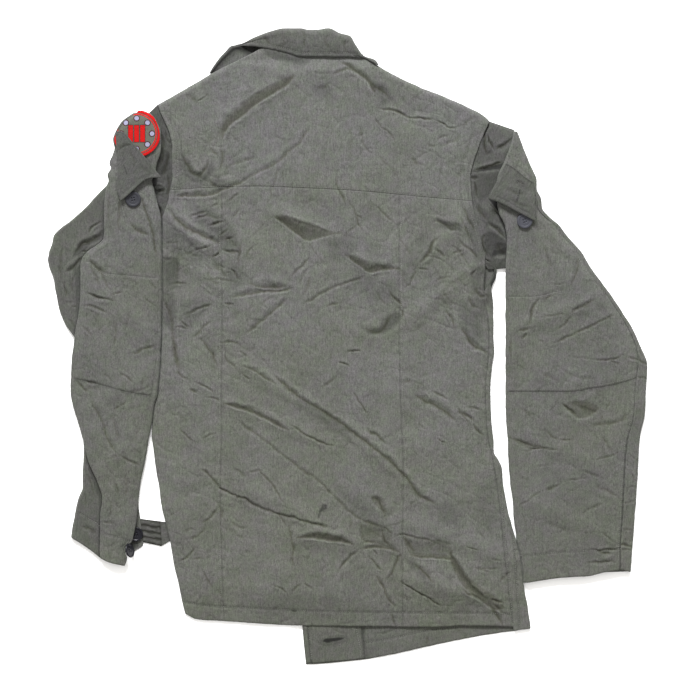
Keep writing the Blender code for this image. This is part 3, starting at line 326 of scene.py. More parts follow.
    (-1.1, 1.6, 2.2, (175.5, 564, 183, 559.3, 190.5, 553.5, 198.5, 544)),
    (-0.7, 1.5, 1.5, (195, 559.5, 201.5, 557)),
    (-0.8, 1.6, 1.6, (202, 569, 207, 579, 213.5, 588.5)),
    (-0.5, 1.6, 1.6, (218.4, 589, 222, 599)),
    (-0.6, 2, 2, (230, 520, 238, 526.5, 249, 529.5)),
    (-0.6, 4, 4, (215, 500, 222, 512, 219, 522)),
    (-0.8, 3, 3, (289.5, 520, 290.5, 535, 293.5, 547, 292.5, 560, 293, 574)),
    (-0.9, 1.5, 1.5, (270, 583, 277, 587, 282, 589.3, 288, 595)),
    (-0.9, 1.5, 1.5, (291, 592.5, 296, 587, 301, 584)),
    (-0.8, 1.5, 1.5, (302, 581.5, 308.5, 586.5, 315, 591.5)),
    (-2.0, 6, 1.5, (297, 537.3, 314, 537.9, 328, 539.6, 341, 541.2, 354, 544.5)),
    (-0.4, 1.5, 1.5, (323.6, 558.6, 325.5, 569)),
    # lower right
    (-1.3, 2, 3, (336.5, 573.5, 344, 562.5, 351, 555, 360, 548)),
    (-0.7, 2, 2, (360, 543.5, 367, 541.7, 378, 541.5)),
    (-1.3, 4, 1.5, (360, 549, 374, 547, 386, 548, 399, 551.5)),
    (-0.9, 1.5, 2, (381.5, 527.5, 383, 534, 386, 541.5, 391, 548.5)),
    (-0.9, 1.5, 1.5, (382, 527, 388, 530, 392, 535.5)),
    (-0.8, 1.3, 1.3, (371, 548.5, 378, 554.5)),
    (-1.0, 1.5, 1.5, (366, 555, 372, 560.5, 379, 567.3, 386.5, 573)),
    (-1.1, 2, 3, (373, 574, 379, 579.5, 383, 587, 386, 594, 389, 600.5, 394, 605.5, 399, 610.5)),
    (-1.2, 2, 2.5, (385, 581, 391, 574.5, 395, 565, 400, 555.5, 406, 551)),
    (-1.1, 1.4, 1.4, (398, 576, 404, 583, 411, 587, 421, 593.3, 431, 600, 440, 606.5, 448, 608)),
    (-0.8, 2, 3, (392, 535.5, 404, 534.5, 417, 538, 429, 539.5, 437, 540)),
    (-1.2, 4, 4, (404, 536, 409, 545, 415, 552)),
    (-1.5, 4, 1.8, (408, 554, 418, 556.3, 429, 557, 440, 557.8, 451, 559.3, 458, 563)),
    (-2.2, 6, 3, (449, 548, 452, 556, 457, 564, 461, 572, 466, 580, 472, 588, 481, 595, 489, 601)),
    (-1.2, 2, 1.5, (458, 585, 466, 591.5, 473, 596, 481, 599, 489, 603.5)),
    (-1.2, 2, 2, (489, 600, 497, 600.5, 505, 603.5)),
    (-1.2, 4, 4, (490, 604, 495, 613, 501, 622, 505, 628)),
    (-1.0, 2, 2, (494, 604, 499, 610, 504, 614.5)),
    (-1.2, 5, 5, (411, 562, 419, 568, 428, 577, 437, 586)),
    (-1.0, 4, 4, (366, 496, 377, 500, 383, 510, 387, 522)),
    (-0.6, 2, 2, (347, 512, 351, 522, 351, 532)),
    (-0.5, 1.5, 1.5, (330, 528, 336, 529, 339, 523)),
    (-0.5, 1.5, 1.5, (388, 525.5, 396, 524.5, 403, 521.5)),
    (-0.7, 1.8, 1.8, (411, 509, 412.5, 503, 418, 498.5)),
    (-0.4, 1.5, 1.5, (391.6, 501, 400, 505)),
    (-0.8, 1.3, 1.3, (465, 546.5, 473, 548.5, 480, 551)),
    (-0.5, 2, 2, (478.5, 531, 485.5, 539.4)),
    (-0.6, 1.6, 1.6, (470, 567, 482, 568.8, 502, 568.5)),
    (-0.5, 1.5, 1.5, (480, 570, 490, 572)),
    (-0.6, 1.6, 1.6, (490, 559.7, 502, 560.5)),
    (-0.7, 2, 2, (497, 583, 505, 576, 513, 570)),
    (-0.9, 2.5, 2, (391, 612, 393, 620, 396, 626.5)),
)
FRONT_CREASES = (
    (-0.9, 1.6, 1.6, (426.6, 636, 428, 645)),
    (-0.6, 1.6, 1.6, (390, 630, 392, 640, 391, 654)),
    (-0.5, 2, 2, (455, 629, 462, 634, 466, 640)),
    (-0.5, 2, 2, (330, 628, 340, 633, 352, 634)),
    (-0.5, 1.6, 1.6, (372, 634, 384, 633, 396, 630)),
)
SLEEVE_R_CREASES = (
    (-0.8, 5, 3, (578, 250, 577, 262, 577.4, 270, 574, 279, 570, 287, 566, 292)),
    (-1.5, 2.5, 3.5, (541, 297, 535, 303, 532, 309, 530.5, 316, 530, 323, 528, 329.5)),
    (-1.1, 3, 2, (529, 328, 524, 330.5, 518, 331)),
    (-0.9, 2, 2, (527, 332, 524, 336, 520, 339)),
    (-0.5, 1.6, 1.6, (551, 285, 558, 284, 565, 283)),
    (-0.7, 1.5, 1.5, (553, 294.5, 547, 299, 544, 301)),
    (-0.7, 1.8, 1.8, (538, 318.3, 550, 316, 560, 314, 568, 312.8)),
    (-1.3, 3, 1.8, (566, 317, 572, 312, 578, 308.5, 585, 304.5, 592, 301.5, 600, 297.5)),
    (-0.9, 1.6, 2, (554, 333, 562, 325.5, 569, 318.5, 574, 313.5)),
    (-0.7, 3, 3, (581, 309, 587, 306, 592, 303.5)),
    (-1.0, 1.8, 1.8, (549, 345, 557, 342, 565, 338, 572, 335, 580, 330.5, 588, 327.5, 596, 323.5, 604, 319.5,
                      612, 316, 619, 312.5)),
    (-0.4, 1.5, 1.5, (516, 349, 524, 348, 531, 346.3)),
    (-0.5, 1.5, 1.5, (537, 343, 541, 341, 545, 343)),
    (-0.7, 3, 3, (511, 338, 510, 348, 511, 360)),
    (-0.5, 1.5, 1.5, (571, 357, 580, 357.6, 592, 359.4)),
    (-1.0, 2.2, 1.6, (588, 359.3, 602, 360, 612, 360, 618, 358, 622, 355, 627, 353.6)),
    (-0.8, 1.5, 2, (626, 356, 633, 358, 641, 359.6)),
    (-0.6, 1.5, 1.5, (610, 361.5, 616, 363, 621, 364.3)),
    (-1.4, 2, 4, (562, 403, 568, 408, 573, 412, 577.5, 416)),
    (-0.9, 9, 9, (576, 404, 588, 409, 599, 414)),
    (-0.6, 1.5, 1.5, (549, 412, 555, 405, 560, 398)),
    (-0.6, 1.5, 1.5, (605, 412, 608, 406, 610, 399)),
    (-0.8, 1.8, 1.8, (602.5, 415, 600.5, 421)),
    (-0.8, 4.5, 4.5, (588, 428, 602, 424, 614, 423, 626, 416, 630, 412)),
    (-0.4, 3, 3, (536, 372, 552, 378, 566, 386)),
    (-0.4, 3, 3, (556, 366, 570, 374, 584, 378, 600, 378)),
    (-0.8, 1.8, 2.6, (508, 436, 514, 438.5, 522, 442.5, 530, 445, 538, 446, 545, 447)),
    (-0.7, 1.5, 1.5, (517, 451, 525, 451, 534, 449, 543, 448, 550, 449.5, 563, 451)),
    (-0.6, 1.5, 1.5, (545, 432, 550, 435, 556, 438.5, 563, 440)),
    (-1.2, 1.3, 1.6, (560, 440, 566, 440.2, 574, 439.3)),
    (-0.5, 1.5, 1.5, (530, 467, 540, 466, 552, 465.5)),
    (-0.7, 1.5, 1.8, (588, 461, 598, 459, 606, 457, 612, 455, 618, 453, 624, 449)),
    (-0.4, 2, 2, (519, 477.5, 530, 480)),
    (-0.8, 2, 2, (544, 491, 550, 489, 556, 486, 564, 481.5)),
    (-0.6, 1.6, 1.6, (563, 482, 570, 480, 579, 478.5, 591, 478)),
    (-0.7, 1.6, 1.6, (514, 508, 523, 504, 530, 499, 535, 495, 541, 491.8, 548, 489.5)),
    (-0.5, 1.5, 1.5, (566, 494, 570, 491, 577, 488, 580, 484)),
    (-0.6, 2.6, 1.8, (580, 516.5, 586, 511.5, 592, 508.5, 600, 505, 607, 501.5)),
    (-0.7, 1.5, 2.4, (599, 529, 605, 534.5, 612, 540, 618, 543.5)),
    (-0.5, 2, 2, (580, 467, 585, 471, 590, 473, 597, 476, 604, 478.5)),
    (-0.6, 4, 4, (592, 484, 605, 490, 612, 494, 621, 496)),
    (-0.5, 3, 3, (600, 432, 604, 440, 610, 450, 617, 458)),
    (-1.1, 1.6, 2.4, (588, 549, 600, 550, 612, 549.5, 621, 548.5)),
    (-1.3, 2, 2, (597, 551, 606, 553.5, 613, 553)),
    (-1.0, 1.6, 4, (584, 563, 600, 561.5, 612, 561.5, 619, 562)),
    (0.5, 2.5, 2.5, (594, 555.5, 606, 557.5, 617, 556)),
    (-0.4, 3, 3, (520, 510, 525, 522, 526, 536)),
    (-0.4, 4, 4, (545, 520, 560, 528, 575, 530)),
    (-0.4, 4, 4, (540, 240, 548, 258, 552, 274)),
    (-0.4, 3, 3, (520, 228, 517, 244, 519, 262)),
    (-0.5, 1.5, 1.5, (531, 240, 537, 245.5)),
)
STRIP_R_CREASES = (
    (-1.2, 1.6, 1.6, (618, 543.5, 626, 545, 636, 547)),
    (-0.7, 1.5, 1.5, (620, 549, 628, 549.5, 636, 550)),
    (-0.6, 1.5, 1.5, (621, 503.5, 628, 502.5, 640, 500)),
    (-0.5, 1.5, 1.5, (622, 529.5, 636, 529.5)),
    (-0.7, 2, 2, (636, 377, 642, 377.5, 650, 379)),
    (-0.6, 1.5, 1.5, (631, 472, 634, 478, 640, 482)),
    (-0.5, 1.5, 1.5, (628, 452, 633, 458, 642, 462)),
    (-0.6, 1.6, 1.6, (626, 490, 632, 487, 640, 488)),
    (-0.8, 2.5, 2.5, (638, 356, 642, 362, 650, 366)),
)
SLEEVE_L_CREASES = (
    (-1.2, 2.6, 3.5, (140.5, 195, 143, 203, 146, 212, 149, 219.5, 151.6, 228, 154, 238, 156, 250, 158.5, 263)),
    (-1.0, 4.5, 4.5, (129, 221, 137, 230.5, 145, 233.5, 153, 235)),
    (-0.6, 3, 3, (119, 190, 120, 206, 119, 226, 121, 236)),
    (-0.5, 2, 2, (110, 188, 108.5, 205, 109, 222, 111, 236)),
    (-1.2, 4, 4.5, (87, 258, 93, 263, 99, 268.5, 106, 273)),
    (-0.6, 3, 3, (98, 265, 103, 277, 108, 287, 113, 291)),
    (-0.7, 3.5, 3.5, (90, 262, 96, 276, 101, 290)),
    (-0.9, 1.6, 1.6, (110, 296, 116, 294, 124, 291.5)),
    (-1.7, 2, 3.4, (85, 291.5, 92, 295, 100, 298, 107, 299.5, 115, 301)),
    (-1.0, 1.6, 2, (81, 304, 88, 305.5, 95, 307.5, 100, 309.5, 106, 312, 111, 313.6)),
    (0.4, 1.5, 1.5, (111, 312, 116, 318.5)),
    (-0.5, 2, 2, (130, 291, 136, 285.5, 140, 283)),
    (-0.5, 2, 2, (149, 281, 153, 286, 158, 290)),
    (-0.6, 1.8, 1.8, (81, 325, 87, 330, 93, 338)),
    (-0.6, 1.8, 1.8, (84, 333.5, 89, 336.5)),
    (-0.5, 4, 4, (114, 315, 116, 332, 114, 352)),
    (-0.4, 3, 3, (130, 306, 128, 322, 122, 334)),
    (-0.9, 2.2, 1.8, (127, 355.5, 134, 353.5, 140, 351, 147, 348.5, 154, 346.5, 159, 345)),
    (-0.9, 1.6, 1.6, (118, 372.5, 125, 376, 131, 380.5, 133.5, 384)),
    (-0.9, 1.8, 2.4, (84, 380.5, 92, 382, 100, 384)),
    (-1.0, 2, 2.5, (76.5, 380.5, 82, 386, 86, 389.5, 91, 393.5)),
    (-0.4, 2, 2, (103, 373, 110, 379, 114, 382)),
    (-0.5, 4, 4, (82, 392, 92, 388, 104, 392)),
    (-0.8, 1.6, 1.6, (112, 411.5, 118, 408, 124, 404.5, 129, 400.5)),
    (-0.8, 2.5, 6, (90, 397, 95, 408, 101, 419, 105, 430, 108, 440, 113, 448, 119, 455)),
    (-0.5, 4, 4, (112, 415, 116, 430, 119, 446)),
    (-0.5, 1.8, 1.8, (104, 460, 110, 459, 115, 457.2, 119, 454.6)),
    (-0.8, 1.8, 2.2, (119, 454.6, 124, 458, 130, 461, 136, 463.5, 143, 467.5)),
    (-0.5, 1.5, 1.5, (98, 443.5, 104, 447)),
    (-0.6, 2, 2, (113, 483, 117, 487, 119, 496)),
    (-1.0, 3, 1.6, (101, 522.5, 107, 523.5, 115, 523)),
    (-0.5, 3, 3, (125, 470, 127, 486, 124, 500)),
    (-0.4, 3, 3, (112, 500, 111, 512, 108, 522)),
    (-0.4, 3, 3, (145, 372, 142, 388, 146, 400)),
    (-0.5, 2.5, 2.5, (128, 398, 134, 392, 146, 388, 154, 381)),
    (-0.6, 1.6, 1.6, (144, 296, 150, 302, 156, 306)),
)
UNDER_CREASES = (
    (-2.4, 4, 6, (104.5, 229, 98, 236.5, 89, 241, 81, 245, 77.5, 250, 74, 257)),
    (-1.2, 1.6, 1.8, (104.5, 221.3, 99, 222.4, 94, 225.5, 90, 230, 86.5, 235.5)),
    (0.9, 2, 2, (100, 226, 94, 229, 90, 234)),
    (1.0, 2, 2, (95, 241.5, 90, 245, 84, 248)),
    (-1.2, 1.4, 1.4, (91, 249, 86, 251, 82, 250.6)),
    (-1.5, 2.5, 3.5, (84, 256, 79, 260, 75, 265, 70, 269.5, 65, 271)),
    (0.5, 3, 3, (74, 259, 68, 265, 66, 275)),
    (-0.6, 3, 3, (66, 243, 61, 255, 60, 270, 62, 286)),
    (-0.5, 2, 2, (63, 300.5, 68, 302, 74, 301)),
    (-1.0, 1.4, 1.4, (71, 306.5, 76, 306.5)),
    (-0.7, 2, 2, (62, 280, 66, 290, 66, 300)),
    (-0.6, 2, 2, (74, 272, 72, 285, 75, 296)),
    (-0.5, 2, 2, (66, 318, 72, 322, 76, 330)),
    (-0.6, 3, 3, (86, 470, 92, 486, 94, 502)),
    (-0.5, 2, 2, (82, 492, 86, 500, 84, 510)),
    (-0.7, 4, 4, (80, 524, 90, 530, 99, 534)),
)
CAP_R_CREASES = (
    (-1.6, 2.2, 2.2, (489.5, 122, 486.5, 128, 484.8, 133, 483, 139)),
    (-1.5, 3, 2.5, (485.4, 131, 484.6, 142, 485.5, 150, 488, 156)),
    (-1.6, 2.8, 2.2, (487, 133, 490, 142, 494.5, 150)),
    (-1.1, 2.5, 6, (494, 150, 499, 147.5, 505, 144, 513, 136)),
    (-0.7, 4, 4, (484, 154, 492, 153)),
    (-2.5, 1.6, 7, (472, 171.5, 479, 169, 487, 166.6, 496, 163.8, 506, 160.5)),
    (-1.8, 2.5, 2.5, (470.5, 177, 478, 178)),
    (-1.6, 2, 2.5, (474.6, 180, 476, 188, 476, 198)),
    (-0.9, 5, 5, (477, 203, 482, 213, 488, 222)),
    (-0.9, 1.6, 1.6, (487, 200, 493, 207, 499, 214.5, 504, 224)),
    (0.6, 1.6, 1.6, (489.5, 200, 495, 206.5, 500.5, 213)),
    (-2.2, 3.5, 3, (486, 221, 492, 225.5, 498, 230, 507, 239)),
    (-1.8, 3, 3, (486, 232, 483, 240, 484, 251)),
    (-1.6, 8, 8, (496, 243, 501, 250, 508, 253)),
    (-1.2, 2, 2, (477, 236, 483, 248, 489, 258)),
    (-1.0, 2, 2, (480, 254, 486, 260, 491, 262)),
)
CAP_L_CREASES = (
    (-1.6, 2.5, 2.5, (157.5, 104, 160.5, 110, 165.5, 120, 170.5, 132, 172.6, 145)),
    (-1.0, 2, 2, (165, 130, 167, 140, 172, 145)),
    (0.9, 2.2, 2.2, (167, 142, 171, 144.5, 176, 143.5)),
    (-1.2, 4, 4, (160, 128, 163, 142, 162, 158, 158, 172)),
    (0.9, 3, 3, (150, 150, 154, 158, 158, 166)),
    (-1.5, 4, 4, (168, 150, 166, 166, 162, 178)),
    (1.4, 2, 2, (154.5, 185.5, 158, 184, 163, 187)),
    (-1.8, 2.4, 2.4, (156, 190, 160, 191, 165, 189)),
    (-1.1, 3, 3, (167, 172, 169, 186, 166, 200)),
    (-1.4, 3, 3, (157, 202, 160, 211, 161, 219)),
)
COLLAR_CREASES = (
    (-0.7, 3, 3, (262, 36, 268, 42, 270, 47)),
    (-0.6, 3, 3, (300, 30, 305, 38, 303, 50)),
    (-0.5, 4, 4, (330, 32, 326, 42, 330, 52)),
    (-0.5, 3, 3, (346, 38, 345, 48, 350, 56)),
    (-0.4, 3, 3, (280, 30, 284, 40, 283, 50)),
)
# tilted facets: fall per chart unit, recovery width, painted shade, upper edge, valley
YOKE_FACETS = (
    (0.22, 1.8, 0.30, (294, 74.6, 279, 81, 262, 90, 246, 100, 233, 110, 224, 121, 221, 131),
     (294, 76.6, 284, 86, 268, 97, 254, 106, 243, 115, 232, 123, 224, 132)),
    (0.20, 1.8, 0.30, (341, 62, 352, 62.6, 362, 68.5, 370, 76, 377, 88),
     (341, 63, 350, 67.4, 360, 74.6, 368, 82, 375, 92)),
)
SLEEVE_R_FACETS = (
    (0.14, 1.8, 0.30, (562, 403, 574, 400.5, 586, 401.5, 598, 405),
     (562, 403.6, 569, 410, 577.5, 417.5, 588, 416.5, 598, 409)),
    (0.12, 1.8, 0.24, (508, 435.4, 520, 437.6, 532, 441, 545, 446.4), (508, 436.6, 519, 443.6, 531, 448.6, 545, 447.4)),
)
BODY_FACETS = (
    (0.16, 2.0, 0.25, (403, 535.4, 420, 538.4, 447, 541.4, 453, 549),
     (403, 536, 407.5, 549, 412, 553.6, 430, 555, 449, 556, 453, 550)),
    (0.18, 2.0, 0.44, (450.5, 558, 459, 564.4, 476, 583, 496, 597, 505, 606.4),
     (450.5, 559, 454, 570, 463.6, 586, 478, 598, 494, 609, 505, 608)),
    (0.14, 2.0, 0.24, (361, 523.6, 374, 524.4, 386, 527.4, 391, 538, 397.6, 550),
     (361, 525, 362, 537, 366, 541.6, 377, 543, 388, 547, 397.6, 551)),
    (0.14, 2.0, 0.30, (372, 495.4, 379, 494.4, 386, 501, 387, 511), (372, 496, 374, 503, 379.6, 508.4, 387, 512)),
    (0.19, 1.6, 0.42, (274.5, 216, 283.5, 214.8, 300.5, 220, 318.5, 226, 336, 232.6),
     (274.5, 217, 289, 227.5, 300, 236, 307.5, 240.6, 321, 237.5, 336, 233.2)),
    (0.30, 1.6, 0.48, (295, 536.6, 308, 533.5, 319, 531.6, 331, 533.6, 344, 537.6, 355, 543.8),
     (295, 537.3, 314, 537.9, 328, 539.9, 341, 541.6, 355, 544.6)),
    (0.20, 1.6, 0.30, (344, 253.5, 356, 256, 372, 262, 388, 266, 401, 267.8),
     (344, 254.2, 354, 261.5, 361, 266.5, 369.5, 271.8, 380, 270.6, 391, 269.8, 401, 268.4)),
    (0.20, 1.6, 0.18, (222, 401.8, 240, 403, 258, 408, 274, 416, 290, 429.5),
     (222, 402.5, 231, 405.5, 240, 408.6, 252, 413, 262, 417, 272, 422, 282, 427.3, 290, 430.3)),
    (0.18, 1.6, 0.26, (408, 553.6, 420, 549, 436, 548.4, 450, 553, 458, 562),
     (408, 554.2, 418, 556.5, 429, 557.4, 440, 558.2, 451, 559.8, 458, 563)),
    (0.20, 1.6, 0.22, (360, 548.6, 370, 541.5, 384, 540.5, 394, 545, 400, 551),
     (360, 549.2, 374, 547.4, 386, 548.4, 400, 552)),
    (0.13, 2.0, 0.12, (250, 281.5, 262, 280.5, 274, 281, 287, 283.8),
     (250, 282.5, 254, 285.6, 261, 287.2, 269, 287.8, 279, 287.8, 287, 284.5)),
)
# painted shade for places that the cloth round them keeps in deep shade: depth, softness, outline
SHADE = {
    "cap_r": ((0.88, 1.6, (473, 171.5, 480, 169, 487, 167, 497, 164.4, 504.5, 162, 501, 169, 490, 170.4, 478, 171.8)),
              (0.42, 4, (474, 172, 492, 171, 501, 169, 496, 184, 488, 197, 480, 204, 473, 190)),
              (0.30, 5, (476, 148, 486, 138, 496, 152, 512, 146, 508, 160, 482, 166, 474, 164)),
              (0.95, 1.2, (488, 198, 501, 202, 500, 206, 499, 213)),
              (0.35, 5, (474, 200, 490, 212, 500, 220, 506, 236, 486, 224)),
              (0.62, 3, (484, 236, 488, 231, 494, 231, 507, 241, 509, 256, 500, 255, 491, 259, 485, 251)),
              (0.45, 2, (486, 246, 496, 250, 508, 246, 508, 257, 498, 256, 490, 259, 486, 254)),
              (0.35, 1.5, (486, 234, 490, 232, 500, 240, 507, 247, 504, 248, 494, 241)),
              (0.14, 1.0, (460, 110, 530, 110, 530, 280, 460, 280)),
              (0.50, 3, (486, 258, 508, 258, 510, 271, 488, 271)),
              (0.85, 2, (491, 257, 493, 250, 500, 249, 509, 244, 509, 256, 499, 254.5))),
    "front_arm": ((0.92, 1.6, (485, 274, 490, 276, 497.5, 271.5, 495, 280, 491.5, 288)),
                  (0.50, 3, (483, 258, 492, 262, 500, 266, 494, 284, 488, 292, 484, 282)),
                  (0.35, 5, (483, 284, 492, 288, 492, 306, 484, 304))),
    "cap_l": ((0.40, 1.0, (140, 100, 185, 100, 185, 235, 140, 235)),
              (0.62, 3, (152, 150, 160, 146, 170, 152, 171, 170, 160, 176, 154, 172)),
              (0.35, 4, (160, 126, 170, 132, 174, 150, 160, 152)),
              (0.93, 1.4, (151, 174, 158, 174, 157, 184, 153, 189)),
              (0.95, 1.2, (156.3, 206, 161.5, 207, 159.5, 219.5)),
              (0.85, 1.6, (152.6, 187, 157, 189, 164, 187, 158, 194, 155.4, 196)),
              (0.60, 2, (154, 192, 158, 194, 160, 212, 156.6, 208))),
    "under": ((0.62, 3, (104.6, 226, 104.6, 237, 90, 246, 78, 256, 72, 256, 78, 246, 92, 240)),
              (0.5, 2.5, (82, 255, 82, 340, 77, 340, 75, 290, 74, 272, 68, 272, 66, 268)),
              (0.25, 6, (82, 448, 90, 452, 101, 500, 96, 512, 84, 500)),
              (0.55, 2.4, (85, 440, 92, 462, 99, 480, 103, 498, 98.6, 500, 94, 486, 88, 470)),
              (0.55, 2.0, (98.4, 498, 103, 498, 103, 568, 98.8, 568))),
    "body": ((0.42, 3.5, (438, 219, 452, 222, 462, 224, 461, 231, 450, 231, 440, 226)),
             (0.46, 4, (162, 256, 170, 257, 179, 258, 180, 270, 178, 284, 163, 288)),
             (0.30, 6, (162, 288, 172, 290, 177, 312, 171, 330, 162, 322)),
             (0.26, 3, (162, 283, 180, 282.6, 189, 284, 176, 290, 162, 290)),
             (0.30, 6, (474, 206, 486, 244, 488, 262, 476, 262, 466, 232, 466, 210)),
             (0.30, 7, (470, 268, 486, 262, 486, 320, 476, 316)),
             (0.22, 8, (176, 150, 186, 152, 196, 178, 206, 184, 196, 190, 174, 190)),
             (0.46, 6, (181, 152, 188, 164, 195, 171, 204, 172, 211, 161, 215, 170, 206, 182, 194, 183, 185, 176, 180, 164)),
             (0.34, 7, (212, 178, 219, 176, 232, 186, 220, 192, 212, 188)),
             (0.50, 7, (260, 47, 280, 51, 300, 57, 314, 58, 302, 66, 282, 61, 266, 54)),
             (0.30, 6, (312, 83, 322, 85, 333, 90, 322, 94, 312, 90)),
             (0.34, 8, (372, 78, 386, 84, 394, 100, 384, 104, 374, 92)),
             (0.42, 5, (359, 326, 370, 331, 384, 323, 396, 311, 402, 314, 396, 326, 384, 333, 370, 335)),
             (0.26, 9, (300, 396, 330, 414, 352, 430, 348, 436, 322, 420, 296, 402)),
             (0.20, 12, (330, 480, 372, 510, 392, 534, 376, 532, 344, 502)),
             (0.30, 5, (405, 558, 412, 559, 425, 574, 432, 586, 424, 582, 412, 570)),
             (0.22, 8, (434, 506, 446, 500, 462, 512, 460, 526, 444, 524)),
             (0.18, 9, (476, 488, 492, 484, 498, 520, 490, 536, 480, 520)),
             (0.20, 8, (388, 575, 396, 562, 402, 554, 405, 556, 400, 568, 392, 580)),
             (0.30, 8, (196, 206, 214, 208, 232, 226, 240, 254, 228, 254, 210, 238, 194, 222)),
             (0.30, 8, (163, 218, 176, 226, 196, 242, 206, 258, 196, 264, 178, 254, 163, 240)),
             (0.20, 9, (228, 266, 242, 258, 246, 276, 236, 292, 226, 282)),
             (0.22, 9, (326, 240, 352, 236, 356, 250, 344, 262, 330, 258)),
             (0.20, 10, (352, 260, 376, 278, 398, 282, 396, 300, 372, 300, 352, 284)),
             (0.20, 8, (404, 250, 420, 236, 436, 232, 428, 250, 414, 268, 402, 270)),
             (0.24, 8, (180, 304, 200, 298, 214, 302, 200, 318, 184, 330)),
             (0.25, 8, (455, 300, 476, 300, 484, 340, 470, 344))),
}


# ---------------------------------------------------------------- helpers
def smooth(t):
    t = np.clip(t, 0.0, 1.0)
    return t * t * (3.0 - 2.0 * t)


_slopes = {}


def at(table, key):
    """Smooth reading of a two-column table, which never overshoots its rows."""
    if id(table) not in _slopes:
        x = np.array([r[0] for r in table], float)
        y = np.array([r[1] for r in table], float)
        h, d = np.diff(x), np.diff(y) / np.diff(x)
        m = np.zeros(len(x))
        m[0], m[-1] = d[0], d[-1]
        for k in range(1, len(x) - 1):
            if d[k - 1] * d[k] > 0:
                w1, w2 = 2 * h[k] + h[k - 1], h[k] + 2 * h[k - 1]
                m[k] = (w1 + w2) / (w1 / d[k - 1] + w2 / d[k])
        _slopes[id(table)] = (table, x, y, m)
    _, x, y, m = _slopes[id(table)]
    key = np.asarray(key, float)
    k = np.clip(np.searchsorted(x, key, side="right") - 1, 0, len(x) - 2)
    h = x[k + 1] - x[k]
    t = np.clip((key - x[k]) / h, 0.0, 1.0)
    return ((1 + 2 * t) * (1 - t) ** 2 * y[k] + t * (1 - t) ** 2 * h * m[k]
            + t * t * (3 - 2 * t) * y[k + 1] + t * t * (t - 1) * h * m[k + 1])


_lattices = {}


def noise(x, y, seed):
    """Smooth lattice noise from -1 to 1."""
    if seed not in _lattices:
        _lattices[seed] = np.random.default_rng(seed).uniform(-1, 1, (128, 128))
    g = _lattices[seed]
    xi, yi = np.floor(x).astype(int), np.floor(y).astype(int)
    fx, fy = x - xi, y - yi
    fx = fx ** 3 * (fx * (fx * 6 - 15) + 10)
    fy = fy ** 3 * (fy * (fy * 6 - 15) + 10)
    x0, x1, y0, y1 = xi % 128, (xi + 1) % 128, yi % 128, (yi + 1) % 128
    return ((g[y0, x0] * (1 - fx) + g[y0, x1] * fx) * (1 - fy)
            + (g[y1, x0] * (1 - fx) + g[y1, x1] * fx) * fy)


def turned(x, y, angle, wave_x, wave_y):
    c, s = math.cos(angle), math.sin(angle)
    return (x * c + y * s) / wave_x, (-x * s + y * c) / wave_y


def rumple(x, y, seed):
    """The cloth's small unevenness: soft swells, and fine uneven crease lines."""
    x, y = np.asarray(x, float), np.asarray(y, float)
    z = 0.75 * noise(*turned(x, y, 0.5, 52, 34), seed)
    z = z + 0.42 * noise(*turned(x, y, 0.9, 24, 15), seed + 1)
    z = z + 0.20 * noise(*turned(x, y, -0.4, 11, 8), seed + 2)
    z = z + 0.07 * noise(*turned(x, y, 0.2, 5, 4.4), seed + 3)
    wx = x + 7 * noise(x / 31, y / 31, seed + 4)
    wy = y + 7 * noise(x / 31, y / 31, seed + 5)
    for k, (wave_x, wave_y, angle, depth, thin) in enumerate((
            (34, 17, 0.55, 0.50, 0.12), (26, 15, -0.6, 0.42, 0.13), (15, 10, 0.1, 0.26, 0.18))):
        line = np.clip(1 - np.abs(noise(*turned(wx, wy, angle, wave_x, wave_y), seed + 6 + k)) / thin, 0, 1)
        where = smooth((noise(x / 40, y / 40, seed + 10 + k) + 0.15) / 0.5)
        z = z - depth * line ** 1.5 * where
    return z


def crinkle(x, y, seed):
    """Fine sharp wrinkles, in uneven patches: height, and painted shade along their lines."""
    z, line_shade = np.zeros(x.shape), np.zeros(x.shape)
    wx = x + 4 * noise(x / 19, y / 19, seed + 31) + 1.1 * noise(x / 5, y / 5, seed + 32)
    wy = y + 4 * noise(x / 19, y / 19, seed + 33) + 1.1 * noise(x / 5, y / 5, seed + 34)
    for k, (wave_x, wave_y, angle, depth, thin) in enumerate((
            (30, 11, 0.55, 0.50, 0.085), (22, 10, -0.75, 0.42, 0.09), (16, 8, 1.25, 0.34, 0.11),
            (26, 9, 0.1, 0.36, 0.09), (13, 7, -0.2, 0.24, 0.12))):
        line = np.clip(1 - np.abs(noise(*turned(wx, wy, angle, wave_x, wave_y), seed + 36 + k)) / thin, 0, 1)
        where = smooth((noise(x / 23, y / 23, seed + 46 + k) - 0.02) / 0.35)
        z = z - depth * line ** 1.3 * where
        line_shade = np.maximum(line_shade, line * where * depth)
    facets = noise(*turned(wx, wy, 0.8, 17, 9), seed + 52)
    z = z + 0.26 * np.abs(facets) ** 0.8 * smooth((noise(x / 27, y / 27, seed + 53) + 0.1) / 0.4)
    return z, 0.55 * line_shade


def wobble(key, seed, size=0.3):
    key = np.asarray(key, float)
    return size * (noise(key / 9.0, key * 0 + 0.5, seed) + 0.6 * noise(key / 3.7, key * 0 + 7.5, seed))


_paths = {}


